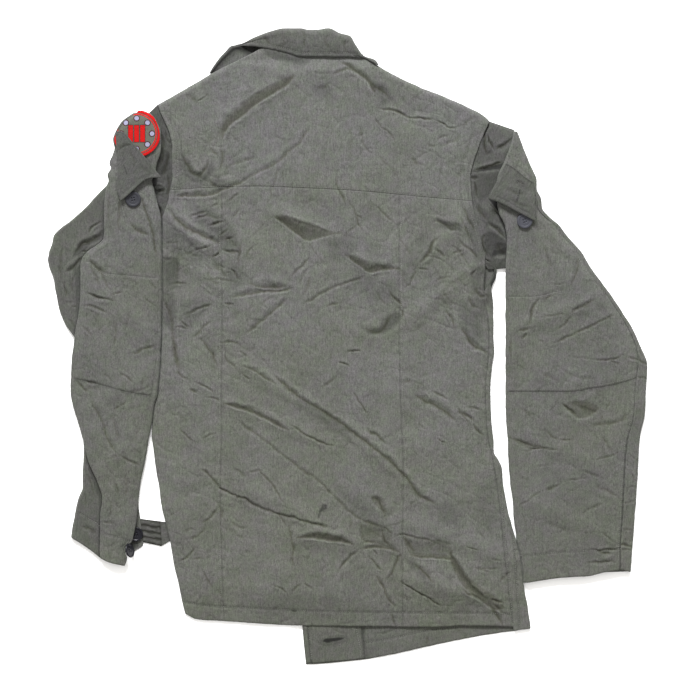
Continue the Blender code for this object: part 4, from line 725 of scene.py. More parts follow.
def smooth_path(points, step=1.6):
    """A given line as evenly spaced points on a smooth curve."""
    key = (tuple(points), step)
    if key in _paths:
        return _paths[key]
    p = np.array(points, float).reshape(-1, 2)
    if len(p) > 2:
        ends = np.vstack([2 * p[0] - p[1], p, 2 * p[-1] - p[-2]])
        out = []
        for k in range(len(p) - 1):
            a, b, c, d = ends[k:k + 4]
            n = max(2, int(math.hypot(*(c - b)) / 1.0))
            t = np.arange(n)[:, None] / n
            out.append(0.5 * (2 * b + (c - a) * t + (2 * a - 5 * b + 4 * c - d) * t ** 2
                              + (3 * b - a - 3 * c + d) * t ** 3))
        p = np.vstack(out + [p[-1:]])
    s = np.concatenate([[0], np.cumsum(np.hypot(*np.diff(p, axis=0).T))])
    n = max(2, int(s[-1] / step) + 1)
    even = np.linspace(0, s[-1], n)
    _paths[key] = np.stack([np.interp(even, s, p[:, 0]), np.interp(even, s, p[:, 1])], 1)
    return _paths[key]


def nearest(x, y, path):
    """Distance to a path, the length run along it there, and the side (+1 to its left hand)."""
    best = np.full(x.shape, 1e9)
    run = np.zeros(x.shape)
    side = np.ones(x.shape)
    length = 0.0
    for a, b in zip(path, path[1:]):
        dx, dy = b - a
        long = math.hypot(dx, dy)
        if long < 1e-9:
            continue
        t = np.clip(((x - a[0]) * dx + (y - a[1]) * dy) / long ** 2, 0, 1)
        ex, ey = x - a[0] - t * dx, y - a[1] - t * dy
        d = np.hypot(ex, ey)
        near = d < best
        best = np.where(near, d, best)
        run = np.where(near, length + t * long, run)
        side = np.where(near, np.sign(dx * ey - dy * ex + 1e-12), side)
        length += long
    return best, run, side, length


def crease_field(rows, x, y, gain=CREASE_GAIN):
    """Sum of a crease table at chart places: height, and painted shade in its valleys, with painted light on its
    ridges.
    """
    out, line_shade = np.zeros(x.shape), np.zeros(x.shape)
    x, y = (x + 0.8 * noise(x / 6.0, y / 6.0, 301) + 0.4 * noise(x / 2.4, y / 2.4, 302),
            y + 0.8 * noise(x / 6.0, y / 6.0, 303) + 0.4 * noise(x / 2.4, y / 2.4, 304))
    for number, (h, above, below, points) in enumerate(rows):
        path = smooth_path(points)
        reach = 2.6 * max(above, below) + 2
        lo, hi = path.min(0) - reach, path.max(0) + reach
        inside = (x > lo[0]) & (x < hi[0]) & (y > lo[1]) & (y < hi[1])
        if not inside.any():
            continue
        px, py = x[inside], y[inside]
        d, run, side, length = nearest(px, py, path)
        dx, dy = path[-1] - path[0]
        # which hand of the path is its upper, or for a steep line its left, side
        upper = (-1 if dx > 0 else 1) if abs(dx) >= abs(dy) else (1 if dy > 0 else -1)
        w = np.where(side == upper, above, below)
        e = min(0.38 * length, 15.0)
        taper = smooth((run + 0.8) / e) * smooth((length - run + 0.8) / e)
        taper = taper * (1 + 0.22 * noise(run / 9.0, run * 0 + number * 3.3, 77))
        wide = 0.88 * w * (0.4 + 0.6 * taper) * (1 + 0.25 * noise(run / 5.0, run * 0 + number * 1.7, 78))
        val = h * np.clip(1 - d / wide, 0, 1) ** 1.25
        val = val - 0.22 * h * np.exp(-((d - 1.4 * wide) / (0.6 * wide)) ** 2)
        out[inside] += val * np.clip(taper, 0, 1.2)
        if h < 0:
            line = np.exp(-(d / (0.62 + 0.09 * min(above, below))) ** 2) * min(1.0, -h / 1.1) * np.clip(taper, 0, 1)
            line_shade[inside] = np.maximum(line_shade[inside], line)
    out = out * gain
    out = np.where(out < 0, -DEEPEST * np.tanh(-out / DEEPEST), out)
    return out, 0.55 * np.clip(-out / 2.2, -0.35, 1) + 0.60 * line_shade


def facet_field(rows, x, y):
    """Flat tilted facets between a fold's upper edge and the sharp valley under it: height, and painted shade on the
    facets and along the valleys.
    """
    out, dark = np.zeros(x.shape), np.zeros(x.shape)
    for slope, recover, depth, ridge, valley in rows:
        top, low = smooth_path(ridge, 1.0), smooth_path(valley, 1.0)
        ring = np.vstack([top, low[::-1]])
        lo, hi = ring.min(0) - 5, ring.max(0) + 5
        near = (x > lo[0]) & (x < hi[0]) & (y > lo[1]) & (y < hi[1])
        if not near.any():
            continue
        px, py = x[near], y[near]
        within = inside_of(ring, px, py)
        dr = nearest(px, py, top)[0]
        dv, run, _, length = nearest(px, py, low)
        wide = nearest(low[:, 0], low[:, 1], top)[0]
        at_run = np.concatenate([[0], np.cumsum(np.hypot(*np.diff(low, axis=0).T))])
        here = np.interp(run, at_run, wide)
        tilt = np.where(within, -slope * dr, -slope * here * np.clip(1 - dv / recover, 0, 1) ** 1.2)
        lip = 0.12 * slope * here * np.exp(-((dr + 0.5) / 2.0) ** 2) * ~within
        out[near] += tilt + lip
        dark[near] = np.maximum(dark[near], np.where(within, depth * smooth(np.minimum(dr, 9) / 1.2), 0)
                                + 0.35 * np.exp(-(dv / 0.8) ** 2) * (here > 1.0))
    return out, np.clip(dark, 0, 1)


def inside_of(ring, x, y):
    odd = np.zeros(x.shape, bool)
    for a, b in zip(ring, np.roll(ring, -1, axis=0)):
        crosses = (a[1] > y) != (b[1] > y)
        dy = b[1] - a[1]
        odd ^= crosses & (x < a[0] + (y - a[1]) * (b[0] - a[0]) / (dy if abs(dy) > 1e-9 else 1e-9))
    return odd


def dark_line_field(lines, x, y):
    """Thin dark lines, mostly painted shade along sewn lines, creases and edges: depth, half width, line."""
    out = np.zeros(x.shape)
    for depth, half, points in lines:
        path = smooth_path(points, 2.0)
        lo, hi = path.min(0) - 4 * half, path.max(0) + 4 * half
        near = (x > lo[0]) & (x < hi[0]) & (y > lo[1]) & (y < hi[1])
        if near.any():
            d, run, _, _ = nearest(x[near], y[near], path)
            beat = 0.82 + 0.18 * noise(run / 2.1, run * 0 + 1.5, 91)
            out[near] = np.maximum(out[near], depth * beat * np.exp(-(d / half) ** 2))
    return out


def shade_field(rows, x, y):
    """How much painted shade each place gets, from 0 to 1."""
    out = np.zeros(x.shape)
    for depth, soft, points in rows:
        p = np.array(points, float).reshape(-1, 2)
        ring = np.vstack([p, p[:1]])
        d = np.full(x.shape, 1e9)
        odd = np.zeros(x.shape, bool)
        for a, b in zip(ring, ring[1:]):
            dx, dy = b - a
            t = np.clip(((x - a[0]) * dx + (y - a[1]) * dy) / (dx * dx + dy * dy + 1e-12), 0, 1)
            d = np.minimum(d, np.hypot(x - a[0] - t * dx, y - a[1] - t * dy))
            crosses = (a[1] > y) != (b[1] > y)
            odd ^= crosses & (x < a[0] + (y - a[1]) * dx / (dy if abs(dy) > 1e-9 else 1e-9))
        inside = np.where(odd, d, -d)
        out = np.maximum(out, depth * smooth((inside + soft * 0.5) / soft))
    return out


def ridges(table, x, y):
    """Broad folds, as in the solids."""
    total = np.zeros(np.broadcast(x, y).shape)
    for row in table:
        f = dict(zip(FOLD_COLUMNS, row))
        dx, dy = f["x1"] - f["x0"], f["y1"] - f["y0"]
        s = ((x - f["x0"]) * dx + (y - f["y0"]) * dy) / (dx * dx + dy * dy)
        c = np.clip(s, 0, 1)
        away = np.clip(np.hypot(x - f["x0"] - dx * c, y - f["y0"] - dy * c) / f["half"], 0, 1)
        total = total + (f["rise"] * (0.5 + 0.5 * np.cos(math.pi * away))
                         * np.sin(math.pi * np.minimum(1.0, 0.15 + 0.7 * c)))
    return total


def seam_pull(x, y, path, depth, wave, seed, reach=4.0):
    """Small puckers across a sewn line."""
    d, run, _, _ = nearest(x, y, smooth_path(path, 3.0))
    beat = np.sin(2 * math.pi * run / wave + 2.4 * noise(run / (1.7 * wave), run * 0 + 2.5, seed))
    return depth * beat * np.exp(-(d / reach) ** 2)


def groove(x, y, path, depth=0.35, half=1.1):
    lo = np.array(path, float).reshape(-1, 2).min(0) - 4
    hi = np.array(path, float).reshape(-1, 2).max(0) + 4
    out = np.zeros(x.shape)
    inside = (x > lo[0]) & (x < hi[0]) & (y > lo[1]) & (y < hi[1])
    if inside.any():
        d = nearest(x[inside], y[inside], smooth_path(path, 2.0))[0]
        out[inside] = -depth * np.exp(-(d / half) ** 2)
    return out


def column(table, lo, hi, shift=0.0, step=6.0):
    """A down-the-chart edge table as a line of points, moved sideways."""
    ys = np.arange(lo, hi + 0.01, step)
    return tuple(np.stack([at(table, ys) + shift, ys], 1).ravel())


def level(table, lo, hi, shift=0.0, step=6.0):
    """An across-the-chart edge table as a line of points, moved down."""
    xs = np.arange(lo, hi + 0.01, step)
    return tuple(np.stack([xs, at(table, xs) + shift], 1).ravel())


# ---------------------------------------------------------------- meshes
def mesh_object(name, verts, faces, values=None):
    mesh = bpy.data.meshes.new(name)
    verts = np.asarray(verts, np.float32)
    mesh.from_pydata(verts.tolist(), [], faces)
    mesh.update()
    mesh.shade_smooth()
    for key, data in (values or {}).items():
        layer = mesh.attributes.new(key, "FLOAT", "POINT")
        layer.data.foreach_set("value", np.asarray(data, np.float32).ravel())
    ob = bpy.data.objects.new(name, mesh)
    bpy.context.scene.collection.objects.link(ob)
    return ob


def to_world(x, y, z):
    return np.stack([(x - CHART_X) * UNIT, (CHART_Y - y) * UNIT, z * MM], -1)


def unit(v):
    return v / np.maximum(np.linalg.norm(v, axis=-1, keepdims=True), 1e-12)


SHEETS = []
TRIANGLES = {}


def shell(name, x, y, z, wall=WALL, relief=None, crease=None, shade=None, outer=1, replaces=None,
          material=None, body="root", sheet=True, under=3, both=None):
    """A closed wall of cloth round a grid of chart places, its free edges
    rounded.  relief moves the outer face, and the inner face with it."""
    n, m = x.shape
    p = to_world(x, y, z)
    down, over = np.gradient(p, axis=0), np.gradient(p, axis=1)
    out = unit(np.cross(down, over)) * outer
    half = wall * MM / 2.0
    d = (np.zeros(x.shape) if relief is None else relief) * MM
    top = p + out * (d + half)[..., None]
    mid = p + out * d[..., None]
    edge_i, edge_j = unit(down), unit(over)
    ring = ([(0, j) for j in range(m)] + [(i, m - 1) for i in range(1, n)]
            + [(n - 1, j) for j in range(m - 2, -1, -1)] + [(i, 0) for i in range(n - 2, 0, -1)])
    ri = np.array([r[0] for r in ring])
    rj = np.array([r[1] for r in ring])
    away = np.zeros((len(ring), 3))
    away -= edge_i[ri, rj] * (ri == 0)[:, None]
    away += edge_i[ri, rj] * (ri == n - 1)[:, None]
    away -= edge_j[ri, rj] * (rj == 0)[:, None]
    away += edge_j[ri, rj] * (rj == m - 1)[:, None]
    rim = mid[ri, rj] + unit(away) * half * 0.55
    top[ri, rj] -= out[ri, rj] * half * 0.35
    # the side out of sight is a coarser net, kept under the seen side's deepest creases
    ki = sorted(set(list(range(0, n, under)) + [n - 1]))
    kj = sorted(set(list(range(0, m, under)) + [m - 1]))
    if under > 1 and both is None:
        deep = d.copy()
        for _ in range(under):
            pad = np.pad(deep, 1, mode="edge")
            deep = np.minimum.reduce([pad[1:-1, 1:-1], pad[:-2, 1:-1], pad[2:, 1:-1], pad[1:-1, :-2], pad[1:-1, 2:]])
    else:
        deep = d
    low = p + out * (deep - half)[..., None]
    low[ri, rj] += out[ri, rj] * half * 0.35
    low = low[np.ix_(ki, kj)]
    ln, lm = len(ki), len(kj)
    verts = np.vstack([top.reshape(-1, 3), low.reshape(-1, 3), rim])
    verts[:, 2] = np.maximum(verts[:, 2], 0.0)
    idx = np.arange(n * m).reshape(n, m)
    ldx = np.arange(ln * lm).reshape(ln, lm) + n * m
    q_top = np.stack([idx[:-1, :-1].ravel(), idx[1:, :-1].ravel(), idx[1:, 1:].ravel(), idx[:-1, 1:].ravel()], 1)
    q_low = np.stack([ldx[:-1, 1:].ravel(), ldx[1:, 1:].ravel(), ldx[1:, :-1].ravel(), ldx[:-1, :-1].ravel()], 1)
    r_top = ri * m + rj
    r_mid = n * m + ln * lm + np.arange(len(ring))
    nxt = np.roll(np.arange(len(ring)), -1)
    q_rim = np.stack([r_top, r_top[nxt], r_mid[nxt], r_mid], 1)
    low_i, low_j = {v: k for k, v in enumerate(ki)}, {v: k for k, v in enumerate(kj)}
    stops = [k for k, (i, j) in enumerate(ring) if i in low_i and j in low_j]
    closing = []
    for k, here in enumerate(stops):
        there = stops[(k + 1) % len(stops)]
        span = list(range(here, there + 1)) if there > here else list(range(here, len(ring))) + list(range(0, there + 1))
        a_low = ldx[low_i[ring[here][0]], low_j[ring[here][1]]]
        b_low = ldx[low_i[ring[there][0]], low_j[ring[there][1]]]
        closing.append([int(r_mid[q]) for q in span] + [int(b_low), int(a_low)])
    quads = np.vstack([q_top, q_low, q_rim])
    faces = quads.tolist() + closing
    if outer < 0:
        faces = [f[::-1] for f in faces]

    def spread(value):
        value = np.zeros(x.shape) if value is None else value
        under_side = value[np.ix_(ki, kj)].ravel() * (0 if both is None else 1)
        return np.concatenate([value.ravel(), under_side, value[ri, rj]])

    # the crease and shade values become the cloth's fold and shade attributes, which its material turns into painted
    # shade, and painted light on ridges
    fold = np.zeros(x.shape) if crease is None else np.clip(crease, -0.4, 1)
    ob = mesh_object(name, verts, faces, {"fold": spread(fold), "painted_shade": spread(shade)})
    TRIANGLES[name] = sum(len(f) - 2 for f in faces)
    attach(ob, body)
    if replaces:
        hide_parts(replaces)
    ob.data.materials.append(material or MAT["twill"])
    if sheet:
        along = np.linalg.norm(np.diff(p, axis=0), axis=2).sum(0).max()
        across = np.linalg.norm(np.diff(p, axis=1), axis=2).sum(1).max()
        area = np.linalg.norm(np.cross(p[1:, :-1] - p[:-1, :-1], p[:-1, 1:] - p[:-1, :-1]), axis=2).sum() / 2
        area += np.linalg.norm(np.cross(p[1:, :-1] - p[1:, 1:], p[:-1, 1:] - p[1:, 1:]), axis=2).sum() / 2
        area = min(max(area, 0.31 * along * across), along * across)
        SHEETS.append((name, round(across, 3), round(along, 3), round(area, 5)))
    return ob


def panel(parts, v, rule, start):
    """Grid of a panel whose columns are parts of a section.  Each part is a
    function of (y, t) giving x, height and how freely the cloth creases there."""
    xs, ys, zs, free = [], [], [], []
    for section, t in parts:
        t = np.asarray(t, float)[None, :]
        y = np.broadcast_to(start(v)[:, None], (len(v), t.shape[1])).astype(float)
        for _ in range(7):
            x = section(y, t)[0]
            y = rule(x + 0 * y, v[:, None])
        x, z, f = section(y, t)
        xs.append(x + 0 * y)
        ys.append(y + 0 * x)
        zs.append(z + 0 * y)
        free.append(f + 0 * y)
    return [np.hstack(g) for g in (xs, ys, zs, free)]


def arc(edge, inward, reach, low, high):
    """A side fold's half-oval section, from its low side up to its high side."""
    def section(y, t):
        e, r, lo, hi = edge(y), reach(y), low(y), high(y)
        a = math.pi * t
        return (e + inward * r * (1 - np.sin(a)), (lo + hi) / 2 - (hi - lo) / 2 * np.cos(a),
                smooth((t - 0.5) / 0.5))
    return section


# ---------------------------------------------------------------- materials
class Graph:
    """Short calls for building a material's nodes."""

    def __init__(self, name):
        self.mat = bpy.data.materials.new(name)
        self.mat.use_nodes = True
        self.tree = self.mat.node_tree
        self.shader = self.tree.nodes["Principled BSDF"]

    def add(self, kind, inputs=None, **options):
        node = self.tree.nodes.new(kind)
        for key, value in options.items():
            setattr(node, key, value)
        for key, value in (inputs or {}).items():
            if isinstance(value, bpy.types.NodeSocket):
                self.tree.links.new(value, node.inputs[key])
            else:
                node.inputs[key].default_value = value
        return node

    def math(self, operation, a, b=0.0, clamp=False):
        return self.add("ShaderNodeMath", {0: a, 1: b}, operation=operation, use_clamp=clamp).outputs[0]

    def noise(self, vector, scale, detail=2.0, rough=0.5):
        return self.add("ShaderNodeTexNoise", {"Vector": vector, "Scale": scale, "Detail": detail,
                                               "Roughness": rough}).outputs["Fac"]

    def mapped(self, vector, scale, angle=0.0):
        return self.add("ShaderNodeMapping", {"Vector": vector, "Scale": scale,
                                              "Rotation": (0.0, 0.0, angle)}).outputs[0]

    def mix(self, factor, a, b, blend="MIX"):
        node = self.tree.nodes.new("ShaderNodeMix")
        node.data_type = "RGBA"
        node.blend_type = blend
        for key, value in ((0, factor), (6, a), (7, b)):
            if isinstance(value, bpy.types.NodeSocket):
                self.tree.links.new(value, node.inputs[key])
            else:
                node.inputs[key].default_value = (*value, 1.0) if key > 0 and len(value) == 3 else value
        return node.outputs[2]

    def span(self, value, lo, hi, to_lo, to_hi):
        return self.add("ShaderNodeMapRange", {"Value": value, "From Min": lo, "From Max": hi,
                                               "To Min": to_lo, "To Max": to_hi}).outputs[0]

    def link(self, value, socket):
        self.tree.links.new(value, self.shader.inputs[socket])


def twill(name, tone=1.0, angle=0.0, dark=(0.0252, 0.0262, 0.0226), light=(0.1175, 0.1206, 0.1078), sheen=0.09,
          quilted=False):
    """Olive-grey melange twill: heathered threads along the cloth, a fine
    diagonal weave, soft sheen, painted shade in its creases and painted light on its ridges."""
    g = Graph(name)
    place = g.add("ShaderNodeTexCoord").outputs["Object"]
    grain = g.mapped(place, (1.0, 1.0, 1.0), angle)
    threads = g.noise(g.mapped(grain, (1000.0, 260.0, 260.0)), 1.0, 2.0, 0.6)
    slubs = g.noise(g.mapped(grain, (760.0, 75.0, 75.0)), 1.0, 2.0, 0.5)
    speckle = g.noise(grain, 900.0, 2.0, 0.6)
    patch = g.noise(place, 24.0, 4.0, 0.6)
    hue = g.noise(place, 85.0, 3.0, 0.6)
    mixed = g.math("ADD", g.math("MULTIPLY", g.span(threads, 0.3, 0.7, 0.0, 1.0), 0.34),
                   g.math("MULTIPLY", g.span(slubs, 0.32, 0.68, 0.0, 1.0), 0.18))
    mixed = g.math("ADD", mixed, g.math("MULTIPLY", g.span(speckle, 0.3, 0.7, 0.0, 1.0), 0.48))
    colour = g.mix(mixed, tuple(c * tone for c in dark), tuple(c * tone for c in light))
    tint = g.mix(g.span(hue, 0.36, 0.64, 0.0, 1.0), (0.965, 1.015, 0.94), (1.035, 0.985, 1.06))
    colour = g.mix(1.0, colour, tint, "MULTIPLY")
    # painted light: cooler and lighter towards the collar, warmer and darker towards the hem
    height = g.add("ShaderNodeSeparateXYZ", {0: place}).outputs[1]
    colour = g.mix(1.0, colour, g.mix(g.span(height, -0.34, 0.28, 0.0, 1.0), (0.95, 0.955, 0.93), (1.0, 1.0, 1.05)),
                   "MULTIPLY")
    blotch = g.noise(place, 11.0, 3.0, 0.55)
    colour = g.mix(1.0, colour, g.mix(g.span(blotch, 0.38, 0.62, 0.0, 1.0), (0.99, 1.0, 0.945), (1.01, 0.995, 1.025)),
                   "MULTIPLY")
    shade = g.span(patch, 0.3, 0.7, 0.92, 1.08)
    fold = g.add("ShaderNodeAttribute", attribute_name="fold").outputs["Fac"]
    painted_shade = g.add("ShaderNodeAttribute", attribute_name="painted_shade").outputs["Fac"]
    # painted shade in the creases and painted light on the ridges, from the fold attribute; the creases are also
    # painted a warmer olive
    shade = g.math("MULTIPLY", shade, g.span(fold, -0.4, 1.0, 1.10, 0.40))
    colour = g.mix(g.span(fold, 0.1, 0.8, 0.0, 1.0), colour, g.mix(1.0, colour, (1.04, 1.03, 0.88), "MULTIPLY"))
    # painted shade from the shade attribute
    shade = g.math("MULTIPLY", shade, g.span(painted_shade, 0.0, 1.0, 1.0, 0.08))
    scaled = g.add("ShaderNodeVectorMath", {0: colour, "Scale": shade}, operation="SCALE").outputs[0]
    g.link(scaled, "Base Color")
    weave = g.add("ShaderNodeTexWave", {"Vector": g.mapped(grain, (1.0, 1.0, 0.2), 0.95), "Scale": 380.0,
                                        "Distortion": 1.2, "Detail": 1.0}, wave_type="BANDS",
                  bands_direction="X").outputs["Fac"]
    puff = g.noise(place, 170.0, 3.0, 0.55)
    # sharp little crumples, in patches
    bent = g.add("ShaderNodeVectorMath", {0: place, 1: g.add("ShaderNodeVectorMath", {
        0: g.add("ShaderNodeTexNoise", {"Vector": place, "Scale": 60.0, "Detail": 2.0}).outputs["Color"],
        "Scale": 0.022}, operation="SCALE").outputs[0]}, operation="ADD").outputs[0]
    cells = g.add("ShaderNodeTexVoronoi", {"Vector": g.mapped(bent, (1.0, 0.62, 1.0), 0.7), "Scale": 62.0},
                  feature="DISTANCE_TO_EDGE").outputs["Distance"]
    crumple = g.math("MULTIPLY", g.span(cells, 0.0, 0.16, -1.0, 0.0), g.span(g.noise(place, 34.0, 2.0, 0.5), 0.46, 0.62, 0.0, 1.0))
    height = g.math("ADD", g.math("MULTIPLY", weave, 0.10), g.math("MULTIPLY", threads, 0.22))
    height = g.math("ADD", height, g.math("MULTIPLY", puff, 1.0))
    height = g.math("ADD", height, g.math("MULTIPLY", crumple, 0.42))
    bump = g.add("ShaderNodeBump", {"Height": height, "Strength": 0.55, "Distance": 0.0006}).outputs[0]
    g.link(bump, "Normal")
    g.link(g.span(speckle, 0.3, 0.7, 0.78, 0.92), "Roughness")
    g.shader.inputs["Sheen Weight"].default_value = sheen
    g.shader.inputs["Sheen Roughness"].default_value = 0.45
    g.shader.inputs["Sheen Tint"].default_value = (0.95, 1.0, 0.95, 1.0)
    g.shader.inputs["Specular IOR Level"].default_value = 0.18
    return g.mat


def thread_material(name, colour):
    g = Graph(name)
    place = g.add("ShaderNodeTexCoord").outputs["Object"]
    grain = g.noise(place, 2600.0, 2.0, 0.6)
    g.link(g.mix(g.span(grain, 0.3, 0.7, 0.0, 1.0), tuple(c * 0.7 for c in colour), tuple(c * 1.25 for c in colour)),
           "Base Color")
    g.link(g.add("ShaderNodeBump", {"Height": grain, "Strength": 0.5, "Distance": 0.0002}).outputs[0], "Normal")
    g.shader.inputs["Roughness"].default_value = 0.6
    g.shader.inputs["Sheen Weight"].default_value = 0.2
    return g.mat


def button_material(name, colour, edge, rough, coat):
    g = Graph(name)
    place = g.add("ShaderNodeTexCoord").outputs["Object"]
    cloud = g.noise(place, 260.0, 3.0, 0.6)
    fine = g.noise(place, 2300.0, 2.0, 0.5)
    g.link(g.mix(g.span(cloud, 0.3, 0.7, 0.0, 1.0), colour, edge), "Base Color")
    g.link(g.span(fine, 0.3, 0.7, rough - 0.05, rough + 0.08), "Roughness")
    g.link(g.add("ShaderNodeBump", {"Height": fine, "Strength": 0.12, "Distance": 0.0001}).outputs[0], "Normal")
    g.shader.inputs["Specular IOR Level"].default_value = 0.2
    g.shader.inputs["Coat Weight"].default_value = coat
    g.shader.inputs["Coat Roughness"].default_value = 0.12
    return g.mat


def badge_material(name):
    """A round cloth badge of plain geometric figures: double red rim, olive
    ground, a ring of pale discs and three red bars, each edged in dark thread."""
    g = Graph(name)
    place = g.add("ShaderNodeTexCoord").outputs["Object"]
    cx, cy = (BADGE_C[0] - CHART_X) * UNIT, (CHART_Y - BADGE_C[1]) * UNIT
    parts = g.add("ShaderNodeSeparateXYZ", {0: place})
    dx = g.math("SUBTRACT", parts.outputs[0], cx)
    dy = g.math("SUBTRACT", parts.outputs[1], cy)
    away = g.math("SQRT", g.math("ADD", g.math("MULTIPLY", dx, dx), g.math("MULTIPLY", dy, dy)))
    turn = g.math("ARCTAN2", dy, dx)
    unit_r = BADGE_R * UNIT
    rel = g.math("DIVIDE", away, unit_r)
    thread = g.noise(place, 1500.0, 2.0, 0.6)
    jag = g.math("MULTIPLY", g.math("SUBTRACT", thread, 0.5), 0.05)
    rel = g.math("ADD", rel, jag)

    def band(lo, hi):
        return g.math("MULTIPLY", g.math("GREATER_THAN", rel, lo), g.math("LESS_THAN", rel, hi))

    weave = g.span(thread, 0.3, 0.7, 0.0, 1.0)
    colour = g.mix(weave, (0.040, 0.041, 0.032), (0.090, 0.092, 0.076))
    red = g.mix(weave, (0.17, 0.001, 0.001), (0.385, 0.004, 0.004))
    brown = (0.030, 0.008, 0.009)
    across = g.math("DIVIDE", dx, unit_r)
    tall = g.math("ADD", g.math("ABSOLUTE", g.math("DIVIDE", dy, unit_r)), jag)
    cell = g.math("SUBTRACT", g.math("MODULO", g.math("ADD", across, 0.375), 0.25), 0.125)
    cell = g.math("ADD", g.math("ABSOLUTE", cell), g.math("MULTIPLY", jag, 0.6))

    def bars(half, height):
        inside = g.math("MULTIPLY", g.math("LESS_THAN", g.math("ABSOLUTE", across), 0.375),
                        g.math("LESS_THAN", tall, height))
        return g.math("MULTIPLY", inside, g.math("LESS_THAN", cell, half))

    # a ring of eight pale discs round the bars
    eighth = math.pi / 4
    near = g.math("SUBTRACT", g.math("MODULO", g.math("ADD", turn, 2 * math.pi + eighth / 2), eighth), eighth / 2)
    sx = g.math("SUBTRACT", g.math("MULTIPLY", rel, g.math("COSINE", near)), 0.64)
    sy = g.math("MULTIPLY", rel, g.math("SINE", near))
    spot = g.math("SQRT", g.math("ADD", g.math("MULTIPLY", sx, sx), g.math("MULTIPLY", sy, sy)))
    colour = g.mix(g.math("LESS_THAN", spot, 0.135), colour, brown)
    colour = g.mix(g.math("LESS_THAN", spot, 0.095), colour, g.mix(weave, (0.11, 0.11, 0.17), (0.235, 0.23, 0.31)))
    colour = g.mix(bars(0.118, 0.375), colour, brown)
    colour = g.mix(bars(0.094, 0.345), colour, red)
    colour = g.mix(band(0.785, 0.835), colour, red)
    colour = g.mix(g.math("GREATER_THAN", rel, 0.855), colour, (0.045, 0.01, 0.01))
    colour = g.mix(g.math("GREATER_THAN", rel, 0.875), colour, red)
    g.link(colour, "Base Color")
    g.link(g.add("ShaderNodeBump", {"Height": thread, "Strength": 0.6, "Distance": 0.0004}).outputs[0], "Normal")
    g.shader.inputs["Roughness"].default_value = 0.85
    g.shader.inputs["Specular IOR Level"].default_value = 0.12
    return g.mat


# the twill's darker copies: painted shade for the sleeve heads, collar, flaps and inner parts; the sleeves, facing and
# tab are given a darker tone
MAT = {
    "twill": twill("olive_twill_cloth"),
    "strip": twill("olive_twill_hem", 0.93, 0.1),
    "sleeve": twill("olive_twill_sleeve", 0.92, 0.04),
    "collar": twill("olive_twill_collar", 0.74, -0.1),
    "cap": twill("olive_twill_head", 0.80, 0.2),
    "flap": twill("olive_twill_flap", 0.76, 0.5),
    "inside": twill("olive_twill_inside", 0.62),
    "tab": twill("quilted_tab_cloth", 0.58, 1.45, sheen=0.1),
    "tab_end": twill("tab_end_cloth", 0.80, 1.1, sheen=0.1),
    "thread": thread_material("olive_thread", (0.070, 0.072, 0.058)),
    "thread_dark": thread_material("dark_thread", (0.022, 0.022, 0.019)),
    "slate": button_material("slate_button", (0.026, 0.027, 0.0345), (0.036, 0.037, 0.046), 0.55, 0.0),
    # painted shade: the left flap's button is the same slate, darkened
    "slate_shaded": button_material("shaded_slate_button", (0.014, 0.0145, 0.0185), (0.020, 0.0205, 0.0255), 0.55, 0.0),
    "navy": button_material("navy_button", (0.003, 0.003, 0.005), (0.005, 0.005, 0.008), 0.30, 0.0),
    "badge": badge_material("badge_cloth"),
}


# ---------------------------------------------------------------- the back's form
def edge_left(y):
    return np.where(y > 200, at(BODY_L, y), at(ARMHOLE_L, y)) + wobble(y, 31)


def edge_right(y):
    return np.where(y > 287, at(BODY_R, y), at(ARMHOLE_R, y)) + wobble(y, 32)


def body_z(x, y):
    """Middle of the back's cloth."""
    centre = np.exp(-((x - 318.0) / 62.0) ** 4)
    z = SIDE_TOP + (MID_TOP - SIDE_TOP) * centre + np.maximum(0.0, ridges(BODY_FOLDS, x, y))
    left = np.where(y > 190, at(BODY_L, y), at(ARMHOLE_L, y))
    right = np.where(y > 287, at(BODY_R, y), at(ARMHOLE_R, y))
    low = EDGE_TOP + 0.9 * (1 - smooth((y - 290) / 20.0))
    z = low + (z - low) * smooth((x - left - 1.5) / 16.0) * smooth((right - 1.5 - x) / 16.0)
    # the hem comes down onto the front beneath it
    rest = 2.6 + 1.1 * smooth((x - 292) / 8.0) * smooth((372 - x) / 8.0)
    rest = np.where(x < 290, 2.1, rest)
    gap = at(HEM, x) - y
    return rest + (z - rest) * smooth((gap + 1.0) / 38.0)


YOKE_LINE = level(YOKE_SEAM, 166, 474, -1.2)
PRINCESS_L_LINE = column(PRINCESS_L, 190, 622)
PRINCESS_R_LINE = column(PRINCESS_R, 194, 626)
SIDE_LINE = column(SIDE_SEAM_R, 290, 624)
ARM_R_1 = column(ARMHOLE_R, 127, 256, -3.0)
ARM_R_2 = column(ARMHOLE_R, 133, 250, -10.5)
ARM_L_1 = column(ARMHOLE_L, 108, 208, 5.0)
HEM_STITCH = (184, 602, 211, 606, 251, 608, 300, 610.4, 340, 611.3, 385, 612.3, 430, 612.8, 470, 613, 512, 614)
SIDE_STITCH_1 = (509, 500, 512, 530, 515, 560, 519.6, 627)
SIDE_STITCH_2 = (500, 485, 503.5, 520, 507, 560, 513, 622)


def lively(x, y):
    """Where the back is more crumpled: under both arms, and at the lower right."""
    return (1 + 0.60 * np.exp(-((x - 198) / 46) ** 2 - ((y - 236) / 56) ** 2)
            + 0.45 * np.exp(-((x - 452) / 40) ** 2 - ((y - 255) / 60) ** 2)
            + 0.35 * np.exp(-((x - 440) / 64) ** 2 - ((y - 565) / 48) ** 2)
            - 0.15 * np.exp(-((x - 300) / 60) ** 2 - ((y - 480) / 60) ** 2))


def limit(z, deepest=2.9):
    return np.where(z < 0, -deepest * np.tanh(-z / deepest), z)


